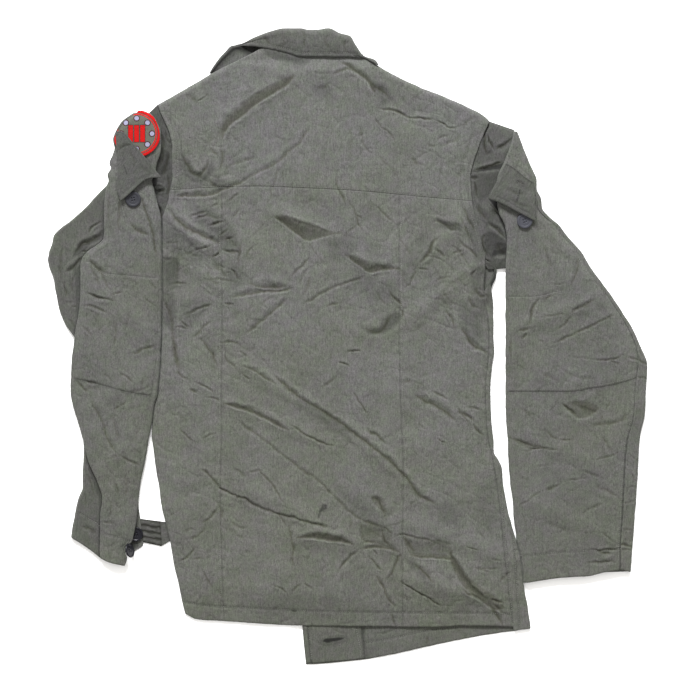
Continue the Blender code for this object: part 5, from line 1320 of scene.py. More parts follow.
# a small dark mark on the back, then painted shade along the hem, side, armhole, yoke and princess seams and along one
# crease by the hem
BODY_DARK_LINES = [(0.96, 1.25, (318.5, 516.5, 320, 512, 322, 508, 324.5, 504.6, 326, 505.5, 325, 508, 322, 510)),
            (0.45, 0.8, HEM_STITCH), (0.38, 0.9, (393, 615, 394, 620, 396, 626)), (0.30, 0.9, SIDE_STITCH_1), (0.26, 0.8, SIDE_STITCH_2),
            (0.38, 0.8, ARM_R_1), (0.30, 0.8, ARM_R_2), (0.30, 0.8, ARM_L_1),
            (0.26, 0.8, column(ARMHOLE_L, 112, 205, 9.0)), (0.14, 0.8, YOKE_LINE), (0.24, 1.0, level(YOKE_SEAM, 166, 474, 0.0)),
            (0.20, 0.9, PRINCESS_L_LINE), (0.20, 0.9, PRINCESS_R_LINE), (0.28, 0.9, SIDE_LINE)]


def body_relief(x, y):
    made, dark = crease_field(BODY_CREASES, x, y)
    tilt, facet = facet_field(BODY_FACETS, x, y)
    fine, crinkle_shade = crinkle(x, y, 700)
    more = lively(x, y)
    dark = dark + facet + crinkle_shade * more
    z = made * (0.6 + 0.4 * more) + tilt + (rumple(x, y, 500) + fine) * more
    z = z + seam_pull(x, y, YOKE_LINE, 0.16, 9.0, 41) + seam_pull(x, y, PRINCESS_L_LINE, 0.22, 11.0, 42)
    z = z + seam_pull(x, y, PRINCESS_R_LINE, 0.22, 12.0, 43) + seam_pull(x, y, HEM_STITCH, 0.24, 8.0, 44, 6.0)
    z = z + seam_pull(x, y, SIDE_LINE, 0.20, 9.0, 45)
    z = z + groove(x, y, HEM_STITCH, 0.5, 1.2)
    z = z + groove(x, y, ARM_R_2, 0.4) + groove(x, y, ARM_R_1, 0.4) + groove(x, y, ARM_L_1, 0.35)
    z = z + groove(x, y, column(PRINCESS_L, 190, 622, -2.2), 0.22, 0.9)
    z = z + groove(x, y, column(PRINCESS_R, 194, 626, 2.2), 0.22, 0.9)
    return limit(z), dark


def yoke_relief(x, y):
    made, dark = crease_field(YOKE_CREASES, x, y)
    tilt, facet = facet_field(YOKE_FACETS, x, y)
    fine, crinkle_shade = crinkle(x, y, 700)
    more = lively(x, y)
    dark = dark + facet + crinkle_shade * more
    z = made + tilt + (rumple(x, y, 500) + fine) * more
    z = z + seam_pull(x, y, YOKE_LINE, 0.16, 9.0, 41)
    z = z + groove(x, y, YOKE_LINE, 0.2) + groove(x, y, ARM_R_1, 0.4) + groove(x, y, ARM_R_2, 0.4)
    z = z + groove(x, y, ARM_L_1, 0.35)
    return limit(z), dark


def roll(distance, depth=0.3, reach=1.2):
    """A sewn edge turning down into its seam."""
    return -depth * np.clip(1 - np.maximum(distance, 0) / reach, 0, 1) ** 1.7


# ---------------------------------------------------------------- back yoke
def make_yoke():
    v = np.concatenate([np.linspace(0, 0.055, 11), np.linspace(0.063, 1, 124)])[:, None]
    u = np.linspace(0, 1, 296)[None, :]
    y = 100 + 90 * v + 0 * u
    x = 165 + 307 * u + 0 * v
    for _ in range(10):
        top = at(YOKE_TOP, x) + wobble(x, 33)
        y = top + (at(YOKE_SEAM, x) - SEAM_U - top) * v
        a = at(ARMHOLE_L, y) + wobble(y, 31)
        x = a + (at(ARMHOLE_R, y) + wobble(y, 32) - a) * u
    depth = (y - top) * UNIT / MM
    low = FLOOR + (4.9 - FLOOR) * smooth((x - 200) / 14.0) * smooth((392 - x) / 14.0)
    z = body_z(x, y)
    inner = smooth((x - 200) / 10.0) * smooth((390 - x) / 10.0)
    z = z + (np.minimum(z, 5.4 + 0.35 * np.maximum(0.0, y - 60)) - z) * inner
    d = np.clip(depth / 7.0, 0, 1)
    z = low + (z - low) * np.sqrt(np.maximum(0.0, 1 - (1 - d) ** 2))
    relief, made = yoke_relief(x, y)
    free = smooth(depth / 6.0) * (0.2 + 0.8 * smooth((y - at(COLLAR_EDGE, x)) / 5.0 + 3.0 * smooth((250 - x) / 6.0)
                                                  + 3.0 * smooth((x - 374) / 4.0)))
    relief = relief * free + roll(at(YOKE_SEAM, x) - y, 0.02, 1.2)
    # painted shade from the body's shade table and its dark lines
    shade = np.maximum(shade_field(SHADE["body"], x, y), dark_line_field(BODY_DARK_LINES, x, y))
    return shell("yoke", x, y, z, relief=relief, crease=made * free, shade=shade, replaces="back_yoke")


# ---------------------------------------------------------------- back panels
def make_back():
    v = np.linspace(0, 1, 408)

    def rule(x, v):
        top, low = at(YOKE_SEAM, x) + SEAM_U, at(HEM, x) + wobble(x, 34)
        return top * (1 - v) + low * v

    def start(v):
        return 196 + (HEM[4][1] - 196) * v

    def finish(name, node, parts, seams):
        x, y, z, free = panel(parts, v, rule, start)
        relief, made = body_relief(x, y)
        relief = relief * free
        relief = relief + roll(y - at(YOKE_SEAM, x), 0.06, 1.6) * free
        for seam in seams:
            relief = relief + roll(np.abs(x - at(seam, y)), 0.30, 1.3) * free * (0.35 + 0.65 * smooth((y - 250) / 60.0)) * (1 - 0.5 * smooth((y - 480) / 40.0))
        # painted shade from the body's shade table and its dark lines
        shade = np.maximum(shade_field(SHADE["body"], x, y), dark_line_field(BODY_DARK_LINES, x, y)) * free
        return shell(name, x, y, z, relief=relief, crease=made * free, shade=shade, replaces=node)

    def low_turn(y):
        return FLOOR + (EDGE_TOP + 0.1 - FLOOR) * smooth((226 - y) / 10.0)

    def top_turn(y):
        return body_z(edge_left(y) + 3, y)

    def low_left(y):
        return np.minimum(low_turn(y), top_turn(y) - 1.2)

    under = lambda y, t: (edge_left(y) + 6.0 - 2.8 * t, low_left(y) + 0 * t, 0 * y * t)
    fold = arc(edge_left, 1, lambda y: 1.6 + 0 * y, low_left, top_turn)

    def top(y, t):
        a = edge_left(y) + 1.6
        x = a + (at(PRINCESS_L, y) - SEAM_U - a) * t
        return x, body_z(x, y), 0.35 + 0.65 * smooth(t / 0.05)

    finish("back_left_side", "back_side_left",
           [(under, np.linspace(0, 1, 3)), (fold, np.linspace(0, 1, 10)), (top, np.linspace(0.018, 1, 60))],
           [PRINCESS_L])

    def centre(y, t):
        a, b = at(PRINCESS_L, y) + SEAM_U, at(PRINCESS_R, y) - SEAM_U
        x = a + (b - a) * t
        return x, body_z(x, y), 1 + 0 * x

    finish("back_middle", "back_centre", [(centre, np.linspace(0, 1, 172))], [PRINCESS_L, PRINCESS_R])

    def right(y, t):
        a, b = at(PRINCESS_R, y) + SEAM_U, at(SIDE_SEAM_R, y) - SEAM_U
        x = a + (b - a) * t
        return x, body_z(x, y), 1 + 0 * x

    finish("back_right_side", "back_side_right", [(right, np.linspace(0, 1, 84))], [PRINCESS_R, SIDE_SEAM_R])


# ---------------------------------------------------------------- fronts
def front_top(x):
    return at(YOKE_TOP, x) + 6.0 + 54.0 * smooth((x - 236) / 62.0) * smooth((392 - x) / 62.0)


def front_right_edge(y):
    return np.where(y > 289, at(BODY_R, y), at(FRONT_ARM_R, y)) + wobble(y, 32)


FRONT_STITCH = (364.3, 643, 386, 639.6, 400, 636.8, 420, 632, 436, 629.8, 458, 627)
FRONT_EDGE_STITCH = (308.5, 628, 310, 645, 311.5, 661)


# painted shade along the front's hem stitching, beside the facing's edge, in a crease and at the front's edge; on the
# facing along its edges and stitching; deep in the buttonhole's slit
FRONT_DARK_LINES = [(0.62, 0.95, FRONT_STITCH), (0.85, 1.5, (362.4, 624, 364.2, 640, 366.4, 658)),
             (0.30, 0.9, (428, 634, 428.6, 646)), (0.5, 1.2, (301.5, 640, 303, 664))]
FACING_DARK_LINES = [(0.82, 1.15, (307.6, 624, 309.4, 645, 311.4, 664)), (0.30, 0.8, (355.6, 628, 357.6, 638, 359.6, 648, 361, 657)),
              (0.75, 0.9, (360.8, 624, 362.4, 640, 364.8, 658)), (0.25, 0.8, (303.2, 628, 304.6, 645, 306, 663))]
BUTTONHOLE = ((0.97, 1.3, (322, 641.6, 325, 638.8, 331, 638.4, 338, 637.8, 346, 637.6, 341, 640.2, 334, 641.8, 327, 643.2)),
              (0.25, 3.0, (318, 640, 330, 635, 348, 634, 350, 640, 334, 646, 322, 646)))


def front_relief(x, y):
    made, dark = crease_field(FRONT_CREASES, x, y)
    z = made + 0.5 * rumple(x, y, 520)
    z = z + groove(x, y, FRONT_STITCH, 0.45, 1.2) + seam_pull(x, y, FRONT_STITCH, 0.15, 8.0, 46)
    z = z + groove(x, y, FRONT_EDGE_STITCH, 0.35)
    return z * smooth((y - 618) / 8.0) * smooth((at(BODY_R, y) - 3 - x) / 6.0), dark * smooth((y - 618) / 8.0)


def make_fronts():
    v = np.concatenate([np.linspace(0, 0.30, 16), np.linspace(0.304, 0.925, 290), np.linspace(0.928, 1, 36)])

    def rule(x, v):
        top = front_top(np.minimum(x, 484)) + 4.0 * smooth((x - 470) / 10.0)
        return top * (1 - v) + (at(FRONT_HEM_R, x) + wobble(x, 35)) * v

    def start(v):
        return 100 + 530 * v

    def flat(y, t):
        a, b = at(FRONT_EDGE_R, y), front_right_edge(y) - 4.0
        return a + (b - a) * t, FLOOR + 0 * y * t, 1 + 0 * y * t

    def high(y):
        return 2.9 + (body_z(at(BODY_R, y) - 3, y) - 2.9) * smooth((y - 276) / 16.0)

    fold = arc(front_right_edge, -1, lambda y: 1.6 + 0 * y, lambda y: FLOOR + 0 * y, high)

    def strip(y, t):
        a = front_right_edge(y) - 1.6
        seam = at(SIDE_SEAM_R, y) + SEAM_U + 0.1
        b = a - 0.7 + (seam - a + 0.7) * smooth((y - 284) / 9.0)
        x = a + (b - a) * t
        rise = smooth((y - 284) / 9.0)
        return x, (body_z(x, y) * rise + high(y) * (1 - rise)), smooth(t / 0.1) * rise

    wide = np.concatenate([np.linspace(0, 0.25, 8), np.linspace(0.27, 0.72, 42), np.linspace(0.75, 1, 12)])
    parts = [(flat, wide), (fold, np.linspace(0, 1, 10)), (strip, np.linspace(0.04, 1, 24))]
    x, y, z, free = panel(parts, v, rule, start)
    column_of = np.concatenate([np.full(62, 0), np.full(10, 1), np.full(24, 2)])[None, :] + 0 * y
    flat_relief, flat_made = front_relief(x, y)
    top_relief, top_made = body_relief(x, y)
    grooves = groove(x, y, SIDE_STITCH_1, 0.4) + groove(x, y, SIDE_STITCH_2, 0.3)
    top_relief = top_relief * 0.8 + grooves + roll(np.abs(x - at(SIDE_SEAM_R, y)))
    is_top = column_of > 0
    # the flat part's seen face is its upper one, which is this shell's inner side
    relief = np.where(is_top, top_relief * free, -flat_relief)
    made = np.where(is_top, top_made * free, flat_made)
    # painted shade: patches and lines where the front turns up under the armhole, the body's dark lines, and an even
    # painted shade over the flat strip at the hem
    shade = np.where(is_top, np.maximum(shade_field(SHADE["front_arm"], x, y),
                                        dark_line_field([(0.5, 0.9, (484, 256, 488, 259, 492, 262)),
                                                   (0.5, 0.9, (485, 262, 488, 265, 491, 268)),
                                                   (0.45, 0.9, (496, 268, 491, 271, 487, 274))] + BODY_DARK_LINES, x, y)),
                     np.maximum(dark_line_field(FRONT_DARK_LINES, x, y), 0.17))
    shell("front_right_cloth", x, y, z, relief=relief, crease=made, shade=shade, outer=-1,
          replaces="front_right", under=1, both=True)
    # the facing down the right front's edge, on its inner side
    v = np.concatenate([np.linspace(0, 0.9, 16), np.linspace(0.918, 1, 52)])[:, None]
    t = np.linspace(0, 1, 64)[None, :]
    y = 110 + 553 * v + 0 * t
    for _ in range(4):
        a = at(FRONT_EDGE_R, y) + 0.8
        b = np.where(y < 627, 361.0, 361.0 + (y - 627) * 4.0 / 31.0)
        x = a + (b - a) * t
        y = 110 + (at(FRONT_HEM_R, x) - 1.4 - 110) * v
    z = WALL + 0.12 + THIN / 2 + 0 * x
    made, dark = crease_field(FRONT_CREASES, x, y)
    relief = (made + 0.5 * rumple(x, y, 521) + groove(x, y, (356, 629, 358, 638, 360, 648, 361, 658), 0.35)
              + groove(x, y, FRONT_EDGE_STITCH, 0.35)) * smooth((y - 616) / 8.0)
    relief = np.maximum(relief + 0.5 * shade_field(BUTTONHOLE[1:], x, y) * 3, -0.1)
    # painted shade: even over the facing, darker along its edges and in the buttonhole
    shade = np.maximum(np.maximum(dark_line_field(FACING_DARK_LINES, x, y), shade_field(BUTTONHOLE, x, y)), 0.12)
    shell("facing", x, y, z, THIN, relief=relief, crease=dark, shade=shade, replaces="facing_right",
          material=MAT["strip"])

    # the left front, under the back
    v = np.linspace(0, 1, 60)[:, None]
    t = np.linspace(0, 1, 44)[None, :]
    y = 120 + 480 * v + 0 * t
    for _ in range(6):
        edge = np.where(y > 212, at(BODY_L, y) + 9.0, at(ARMHOLE_L, y) + 5.5)
        x = edge + (338.0 - edge) * t
        y = front_top(x) * (1 - v) + (at(HEM, x) - 14.0) * v
    over = WALL + 0.12 + THIN + 0.35 + BUTTON_H + 0.2 + 0.5
    lift = smooth((x - 276) / 21.0)
    z = FLOOR + (over - FLOOR) * lift
    shell("front_left_cloth", x, y, z, 1.0, relief=np.maximum(0.2 * rumple(x, y, 523), -0.1), replaces="front_left",
          material=MAT["inside"])


# ---------------------------------------------------------------- collar
COLLAR_STITCH = level(COLLAR_EDGE, 242, 372, -4.0)


def collar_z(x, y):
    top = at(COLLAR_TOP, x)
    d = np.clip((y - top) * UNIT / MM / 7.0, 0, 1)
    roll_up = np.sqrt(np.maximum(0.0, 1 - (1 - d) ** 2))
    z = 2.2 + 6.9 * roll_up - 1.4 * (1 - roll_up) ** 2 * smooth((312 - x) / 24.0)
    ends = smooth((x - 232) / 12.0) * smooth((385 - x) / 12.0)
    share = np.clip((y - top) / np.maximum(at(COLLAR_EDGE, x) - top, 0.5), 0, 1)
    press = smooth((share - 0.45) / 0.55) * smooth((x - 258) / 14.0) * smooth((374 - x) / 10.0)
    # towards its left end the fall settles onto the yoke and the collar's end
    settle = (2.7 * smooth((290 - x) / 24.0) + 1.3 * smooth((256 - x) / 14.0)) * smooth(share / 0.5)
    return z + 0.8 * (1 - ends) * share + 0.5 * share - np.maximum(2.1 * press, settle)


# painted shade along the collar's stitching and just inside its lower edge
COLLAR_DARK_LINES = [(0.38, 0.8, COLLAR_STITCH), (0.5, 1.0, level(COLLAR_EDGE, 238, 377, -0.4))]


def collar_relief(x, y):
    made, dark = crease_field(COLLAR_CREASES, x, y)
    z = made + 0.9 * rumple(x, y, 540) + crinkle(x, y, 760)[0] + groove(x, y, COLLAR_STITCH, 0.3, 1.1)
    z = z + seam_pull(x, y, COLLAR_STITCH, 0.14, 7.0, 47, 4.0)
    return z * smooth((y - at(COLLAR_TOP, x)) / 4.0), dark


def make_collar():
    v = np.concatenate([np.linspace(0, 0.15, 9), np.linspace(0.18, 1, 30)])[:, None]
    u = np.linspace(0, 1, 146)[None, :]
    x = 236.0 + (378.0 - 236.0) * u + 0 * v
    y0, y1 = at(COLLAR_TOP, x) + wobble(x, 36, 0.25), at(COLLAR_EDGE, x) + wobble(x, 37, 0.2)
    y = y0 + np.maximum(y1 - y0, 0.8) * v
    relief, made = collar_relief(x, y)
    shell("collar", x, y, collar_z(x, y), relief=relief, crease=made, shade=dark_line_field(COLLAR_DARK_LINES, x, y),
          replaces="collar_fall", material=MAT["collar"])
    # stand, inside
    v = np.linspace(0, 1, 10)[:, None]
    x = 238.5 + (358.0 - 238.5) * np.linspace(0, 1, 64)[None, :] + 0 * v
    y0 = np.where(x < 300, np.minimum(at(COLLAR_TOP, x) + 1.3, 45.0), at(COLLAR_TOP, x) + 4.2 - 2.9 * smooth((320 - x) / 20.0))
    y1 = np.maximum(at(YOKE_TOP, x) - 0.9, at(COLLAR_EDGE, x) + 1.0) + 2.4 * smooth((262 - x) / 6.0)
    y1 = np.minimum(y1, 48.0 + 1.2 * np.maximum(0, x - 238.5))
    rise = FLOOR + (4.4 - FLOOR) * smooth(v) * smooth((x - 256) / 10.0)
    # painted shade: the stand is darkened evenly
    shell("stand", x, y0 + (y1 - y0) * v, rise, 1.0, shade=0.78 + 0 * x, replaces="collar_stand",
          material=MAT["inside"])
    # left end, its inner side seen past the shoulder
    ends = ((209.6, 72.6, 213.6, 75.4), (212.8, 67.0, 221.0, 73.4), (217.4, 60.2, 228.6, 69.7),
            (225.0, 51.4, 238.0, 64.5), (231.6, 45.4, 247.0, 60.0), (239.6, 44.6, 256.0, 55.5))
    profile = ((0.0, 1.2), (0.04, 3.0), (0.14, 3.9), (0.3, 2.6), (0.55, 1.4), (1.0, 2.0))
    v = np.linspace(0, 5, 34)[:, None]
    t = np.linspace(0, 1, 20)[None, :]
    cols = [at(tuple((k, row[c]) for k, row in enumerate(ends)), v) for c in range(4)]
    x = cols[0] + (cols[2] - cols[0]) * t
    y = cols[1] + (cols[3] - cols[1]) * t
    near = smooth((246 - cols[0]) / 12.0)
    z = 1.2 + (at(profile, t) - 0.9) * near
    relief = 0.4 * rumple(x, y, 545)
    # painted shade: a band along its outer edge, and deep shade towards its right end by the shoulder
    shade = 0.30 + 0.62 * np.exp(-((t - 0.20) / 0.09) ** 2) - 0.1 * smooth((t - 0.35) / 0.2) + 0 * v
    shade = np.clip(shade + 0.62 * smooth((cols[0] - 231) / 7.0) * smooth(t / 0.3), 0, 0.95)
    shell("collar_end", x, y, z, relief=np.maximum(relief, -0.3), shade=shade, outer=-1, replaces="collar_end_left")


# ---------------------------------------------------------------- right sleeve
def sleeve_r_z(x, y):
    a, b = at(SLEEVE_R_FOLD, y), at(SLEEVE_R_OUT, y)
    top = at(SLEEVE_R_TOP, y) + np.maximum(0.0, ridges(SLEEVE_R_FOLDS, x, y))
    fade = np.minimum(14.0, (b - a) * 0.5 + 1.0)
    return 4.6 + (top - 4.6) * smooth((b - 1.5 - x) / fade)


HIND_LINE = column(HIND_SEAM_R, 298, 570)
CUFF_R_STITCH = (520, 555.5, 535, 555, 545, 553.6, 555, 552.4, 570, 552, 585, 550.6, 600, 550.4, 621, 548.6)


# painted shade along the cuff and hind seam stitching, beside the flap's upper edge and along the elbow patch's edges
SLEEVE_R_DARK_LINES = [(0.34, 0.8, CUFF_R_STITCH), (0.24, 0.9, HIND_LINE), (0.75, 1.1, column(HIND_SEAM_R, 436, 574, -0.4)),
                (0.30, 0.8, (511, 161, 516, 164.5, 520, 167, 525, 172, 531, 177)),
                (0.38, 0.9, level(ELBOW_R_TOP, 508, 556, -0.6)), (0.28, 0.9, level(ELBOW_R_BOTTOM, 508, 634, 0.6))]


def sleeve_r_relief(x, y):
    made, dark = crease_field(SLEEVE_R_CREASES, x, y)
    tilt, facet = facet_field(SLEEVE_R_FACETS, x, y)
    fine, crinkle_shade = crinkle(x, y, 720)
    dark = dark + facet + crinkle_shade
    z = made + tilt + fine + 0.85 * rumple(x, y, 560) + groove(x, y, CUFF_R_STITCH, 0.35, 1.0)
    z = z + seam_pull(x, y, HIND_LINE, 0.20, 8.0, 48) + seam_pull(x, y, CUFF_R_STITCH, 0.15, 8.0, 49)
    return limit(z), dark


R_LEVELS = np.linspace(131.5, 578, 404)


def lean_rule(levels, cuff, cuff_from, seed):
    """Rows at chart levels; below cuff_from they lean until the last row is the cuff's edge."""
    last = levels[-1]
    share = np.clip((levels - cuff_from) / (last - cuff_from), 0, 1)

    def rule(x, v):
        k = np.rint(v).astype(int)
        return levels[k] + (at(cuff, x) + wobble(x, seed, 0.25) - last) * share[k]
    return rule


def fold_r(y):
    free = at(SLEEVE_R_FOLD, y) + wobble(y, 51) * smooth((y - 134) / 20)
    return free + (np.minimum(free, edge_right(y) + 0.75) - free) * smooth((y - 532) / 10.0)


def make_right_sleeve():
    rows = np.arange(len(R_LEVELS)).astype(float)
    rule = lean_rule(R_LEVELS, CUFF_R, 480.0, 52)
    start = lambda v: R_LEVELS[np.rint(v).astype(int)]
    seam = lambda y: at(HIND_SEAM_R, y) - SEAM_U
    reach = lambda y: np.minimum(2.0, 0.3 * (seam(y) - fold_r(y)))
    low = lambda y: at(FOLD_LOW_R, y)
    high = lambda y: sleeve_r_z(fold_r(y) + reach(y), y)

    def under(y, t):
        width = seam(y) - fold_r(y)
        return fold_r(y) + reach(y) + np.minimum(5.0, 0.35 * width) * (1 - t), low(y) + 0 * t, 0 * y * t

    def top(y, t):
        a = fold_r(y) + reach(y)
        x = a + (seam(y) - a) * t
        return x, sleeve_r_z(x, y), 0.3 + 0.7 * smooth(t / 0.05)

    parts = [(under, np.linspace(0, 0.8, 3)), (arc(fold_r, 1, reach, low, high), np.linspace(0, 1, 11)),
             (top, np.linspace(0.01, 1, 104))]
    x, y, z, free = panel(parts, rows, rule, start)
    relief, made = sleeve_r_relief(x, y)
    relief = (relief + roll(np.abs(x - at(HIND_SEAM_R, y)), 0.45) * smooth((y - 288) / 12)) * free
    relief = relief * smooth((y - 134) / 12)
    shell("right_sleeve_back", x, y, z, relief=relief, crease=made * free, shade=dark_line_field(SLEEVE_R_DARK_LINES, x, y) * free,
          replaces="sleeve_right_back", material=MAT["sleeve"])

    # under sleeve: its strip shows past the hind seam
    out_r = lambda y: at(SLEEVE_R_OUT, y) + wobble(y, 53)
    seam_f = lambda y: at(HIND_SEAM_R, y) + SEAM_U
    inner = ((124, 494), (132, 489), (150, 482), (176, 475), (208, 478), (235, 485), (252, 491), (262, 500),
             (266, 512), (280, 514), (412, 514), (500, 521), (588, 534))
    reach_f = lambda y: np.clip(out_r(y) - seam_f(y), 0.5, 1.6)
    high_f = lambda y: sleeve_r_z(out_r(y) - 1.5, y)

    def flat(y, t):
        a = at(inner, y)
        return a + (out_r(y) - 4.0 - a) * t, FLOOR + 0 * y * t, 0 * y * t

    def strip(y, t):
        a = out_r(y) - reach_f(y)
        x = a + (seam_f(y) - a) * t
        return x, sleeve_r_z(x, y), smooth(t / 0.15)

    parts = [(flat, np.linspace(0, 1, 9)), (arc(out_r, -1, reach_f, lambda y: FLOOR + 0 * y, high_f), np.linspace(0, 1, 10)),
             (strip, np.linspace(0.08, 1, 12))]
    x, y, z, free = panel(parts, rows, rule, start)
    made, dark = crease_field(STRIP_R_CREASES, x, y)
    relief = limit(made + 0.6 * rumple(x, y, 570) + roll(np.abs(x - at(HIND_SEAM_R, y)), 0.45) * smooth((y - 288) / 12), 1.8)
    shell("right_sleeve_under", x, y, z, relief=relief * free, crease=dark * free, outer=-1,
          replaces="sleeve_right_front", material=MAT["sleeve"])


# ---------------------------------------------------------------- sleeve heads
CAP_R = ((489.4, 121.2, 514.0, 129.6, 1.0, 1.0), (488.6, 124.5, 515.0, 134.0, 2.8, 2.8),
         (482.0, 138.0, 513.8, 143.0, 3.2, 3.2), (474.5, 154.0, 510.0, 156.0, 3.2, 3.2),
         (469.0, 168.0, 505.0, 170.0, 3.2, 3.2), (467.5, 184.0, 500.5, 186.0, 3.0, 3.2),
         (469.0, 202.0, 501.0, 204.0, 3.0, 3.2), (473.0, 220.0, 504.5, 220.0, 3.0, 3.2),
         (478.0, 240.0, 511.0, 240.0, 3.0, 3.2), (482.0, 254.0, 510.5, 254.0, 3.0, 3.2),
         (484.5, 263.5, 510.0, 261.5, 3.0, 3.2), (488.5, 269.6, 509.0, 267.6, 2.9, 3.0))
CAP_L = ((149.0, 112.6, 157.4, 104.6, 1.4, 1.4), (151.5, 119.0, 165.5, 115.0, 2.8, 2.8),
         (154.0, 131.0, 171.0, 129.0, 3.2, 3.1), (155.0, 150.0, 175.5, 150.0, 3.2, 2.8),
         (152.5, 165.0, 176.0, 166.0, 3.2, 2.6), (150.5, 180.0, 174.5, 182.0, 3.2, 2.4),
         (152.0, 196.0, 171.5, 198.0, 3.2, 2.4), (155.5, 208.0, 167.5, 209.0, 3.2, 2.4),
         (158.4, 219.0, 162.0, 219.5, 3.1, 2.5), (159.6, 233.0, 162.0, 233.0, 1.6, 1.6))
# painted shade along the folds and edges of both sleeve heads
CAP_DARK_LINES = {
    "cap_r": [(0.92, 1.5, (497.5, 213, 501.6, 221, 506.0, 232, 507.4, 244, 506.4, 256, 505.8, 268)),
              (0.55, 1.0, (478, 218, 487, 223, 497, 230, 508, 239)), (0.62, 1.0, (476, 236, 482, 247, 488, 257)),
              (0.60, 1.0, (484.5, 131, 484, 142, 486, 152, 489, 158)), (0.50, 1.0, (487, 133, 490, 142, 495, 150)),
              (0.50, 1.1, (494, 150, 499, 147.5, 505, 144, 512, 137)), (0.45, 1.2, (474, 186, 475, 200, 480, 214, 488, 226)),
              (0.55, 1.2, (487.6, 125, 485, 133, 481.6, 142, 477.4, 152, 473, 165, 471, 176, 471.4, 190, 473, 204)),
              (0.50, 1.0, (488, 268, 494, 266, 500, 263, 506.7, 260))],
    "cap_l": [(0.80, 1.3, (158.4, 106, 163, 114, 167.6, 124, 171.4, 134, 173, 146)),
              (0.62, 1.0, (163, 130, 165, 139, 170, 145)), (0.55, 1.0, (160, 128, 163, 142, 162, 158, 158, 172)),
              (0.70, 1.4, (168, 150, 167, 166, 163, 180))],
}


def make_caps():
    for name, node, table, creases, shade, seed, wide in (
            ("right_sleeve_head", "sleeve_right_cap", CAP_R, CAP_R_CREASES, "cap_r", 580, 40),
            ("left_sleeve_head", "sleeve_left_cap", CAP_L, CAP_L_CREASES, "cap_l", 590, 26)):
        k = np.linspace(0, len(table) - 1, 140)[:, None]
        t = np.linspace(0, 1, wide)[None, :]
        c = [at(tuple((i, row[j]) for i, row in enumerate(table)), k) for j in range(6)]
        x = c[0] + (c[2] - c[0]) * t
        y = c[1] + (c[3] - c[1]) * t
        z = c[4] + (c[5] - c[4]) * t - 0.3 * np.sin(math.pi * t)
        made, dark = crease_field(creases, x, y)
        relief = np.maximum(made + 0.5 * rumple(x, y, seed), -z + 1.3)
        relief = relief * smooth(k / 0.5)
        relief = np.minimum(relief, 1.2)
        # painted shade from the sleeve heads' shade tables and dark lines
        shaded = np.maximum(shade_field(SHADE[shade], x, y), dark_line_field(CAP_DARK_LINES[shade], x, y))
        shell(name, x, y, z, relief=relief, crease=dark, shade=shaded, replaces=node,
              material=MAT["cap"])


# ---------------------------------------------------------------- left sleeve
def under_l_top(y):
    return 1.9 + 2.3 * smooth((y - 112) / 14.0)


def sleeve_l_z(x, y):
    a, b = at(SLEEVE_L_OUT, y), at(SLEEVE_L_IN, y)
    top = at(SLEEVE_L_TOP, y) + np.maximum(0.0, ridges(SLEEVE_L_FOLDS, x, y))
    fade = np.minimum(9.0, (b - a) * 0.45)
    return top - 1.8 + 1.8 * smooth((x - a) / fade) * smooth((b - x) / fade)


CUFF_L_STITCH_A = (101.5, 531, 106, 534, 113, 535.6, 120, 537, 127, 539.6, 133, 541)
CUFF_L_STITCH_B = (80, 513.5, 90, 519.5, 96, 523, 101, 527)
L_LEVELS = np.linspace(113, 566, 404)


# painted shade along the cuff stitching and the elbow patch's edges; the last row is a small dark dot
SLEEVE_L_DARK_LINES = [(0.42, 0.9, CUFF_L_STITCH_A), (0.36, 0.9, level(ELBOW_L_TOP, 84, 158, -0.6)),
                (0.30, 0.9, level(ELBOW_L_BOTTOM, 76, 156, 0.6)), (0.6, 0.9, (124, 216.4, 124.4, 217.4))]


def sleeve_l_relief(x, y):
    made, dark = crease_field(SLEEVE_L_CREASES, x, y)
    fine, crinkle_shade = crinkle(x, y, 740)
    dark = dark + crinkle_shade
    z = made + fine + 0.75 * rumple(x, y, 600) + groove(x, y, CUFF_L_STITCH_A, 0.5, 1.0)
    return limit(z), dark


def out_l(y):
    return at(SLEEVE_L_OUT, y) + wobble(y, 54)


def in_l(y):
    free = at(SLEEVE_L_IN, y) + wobble(y, 55)
    near = smooth((y - 348) / 10.0) * smooth((428 - y) / 12.0)
    return free + (np.maximum(edge_left(y) - 0.75, free) - free) * near


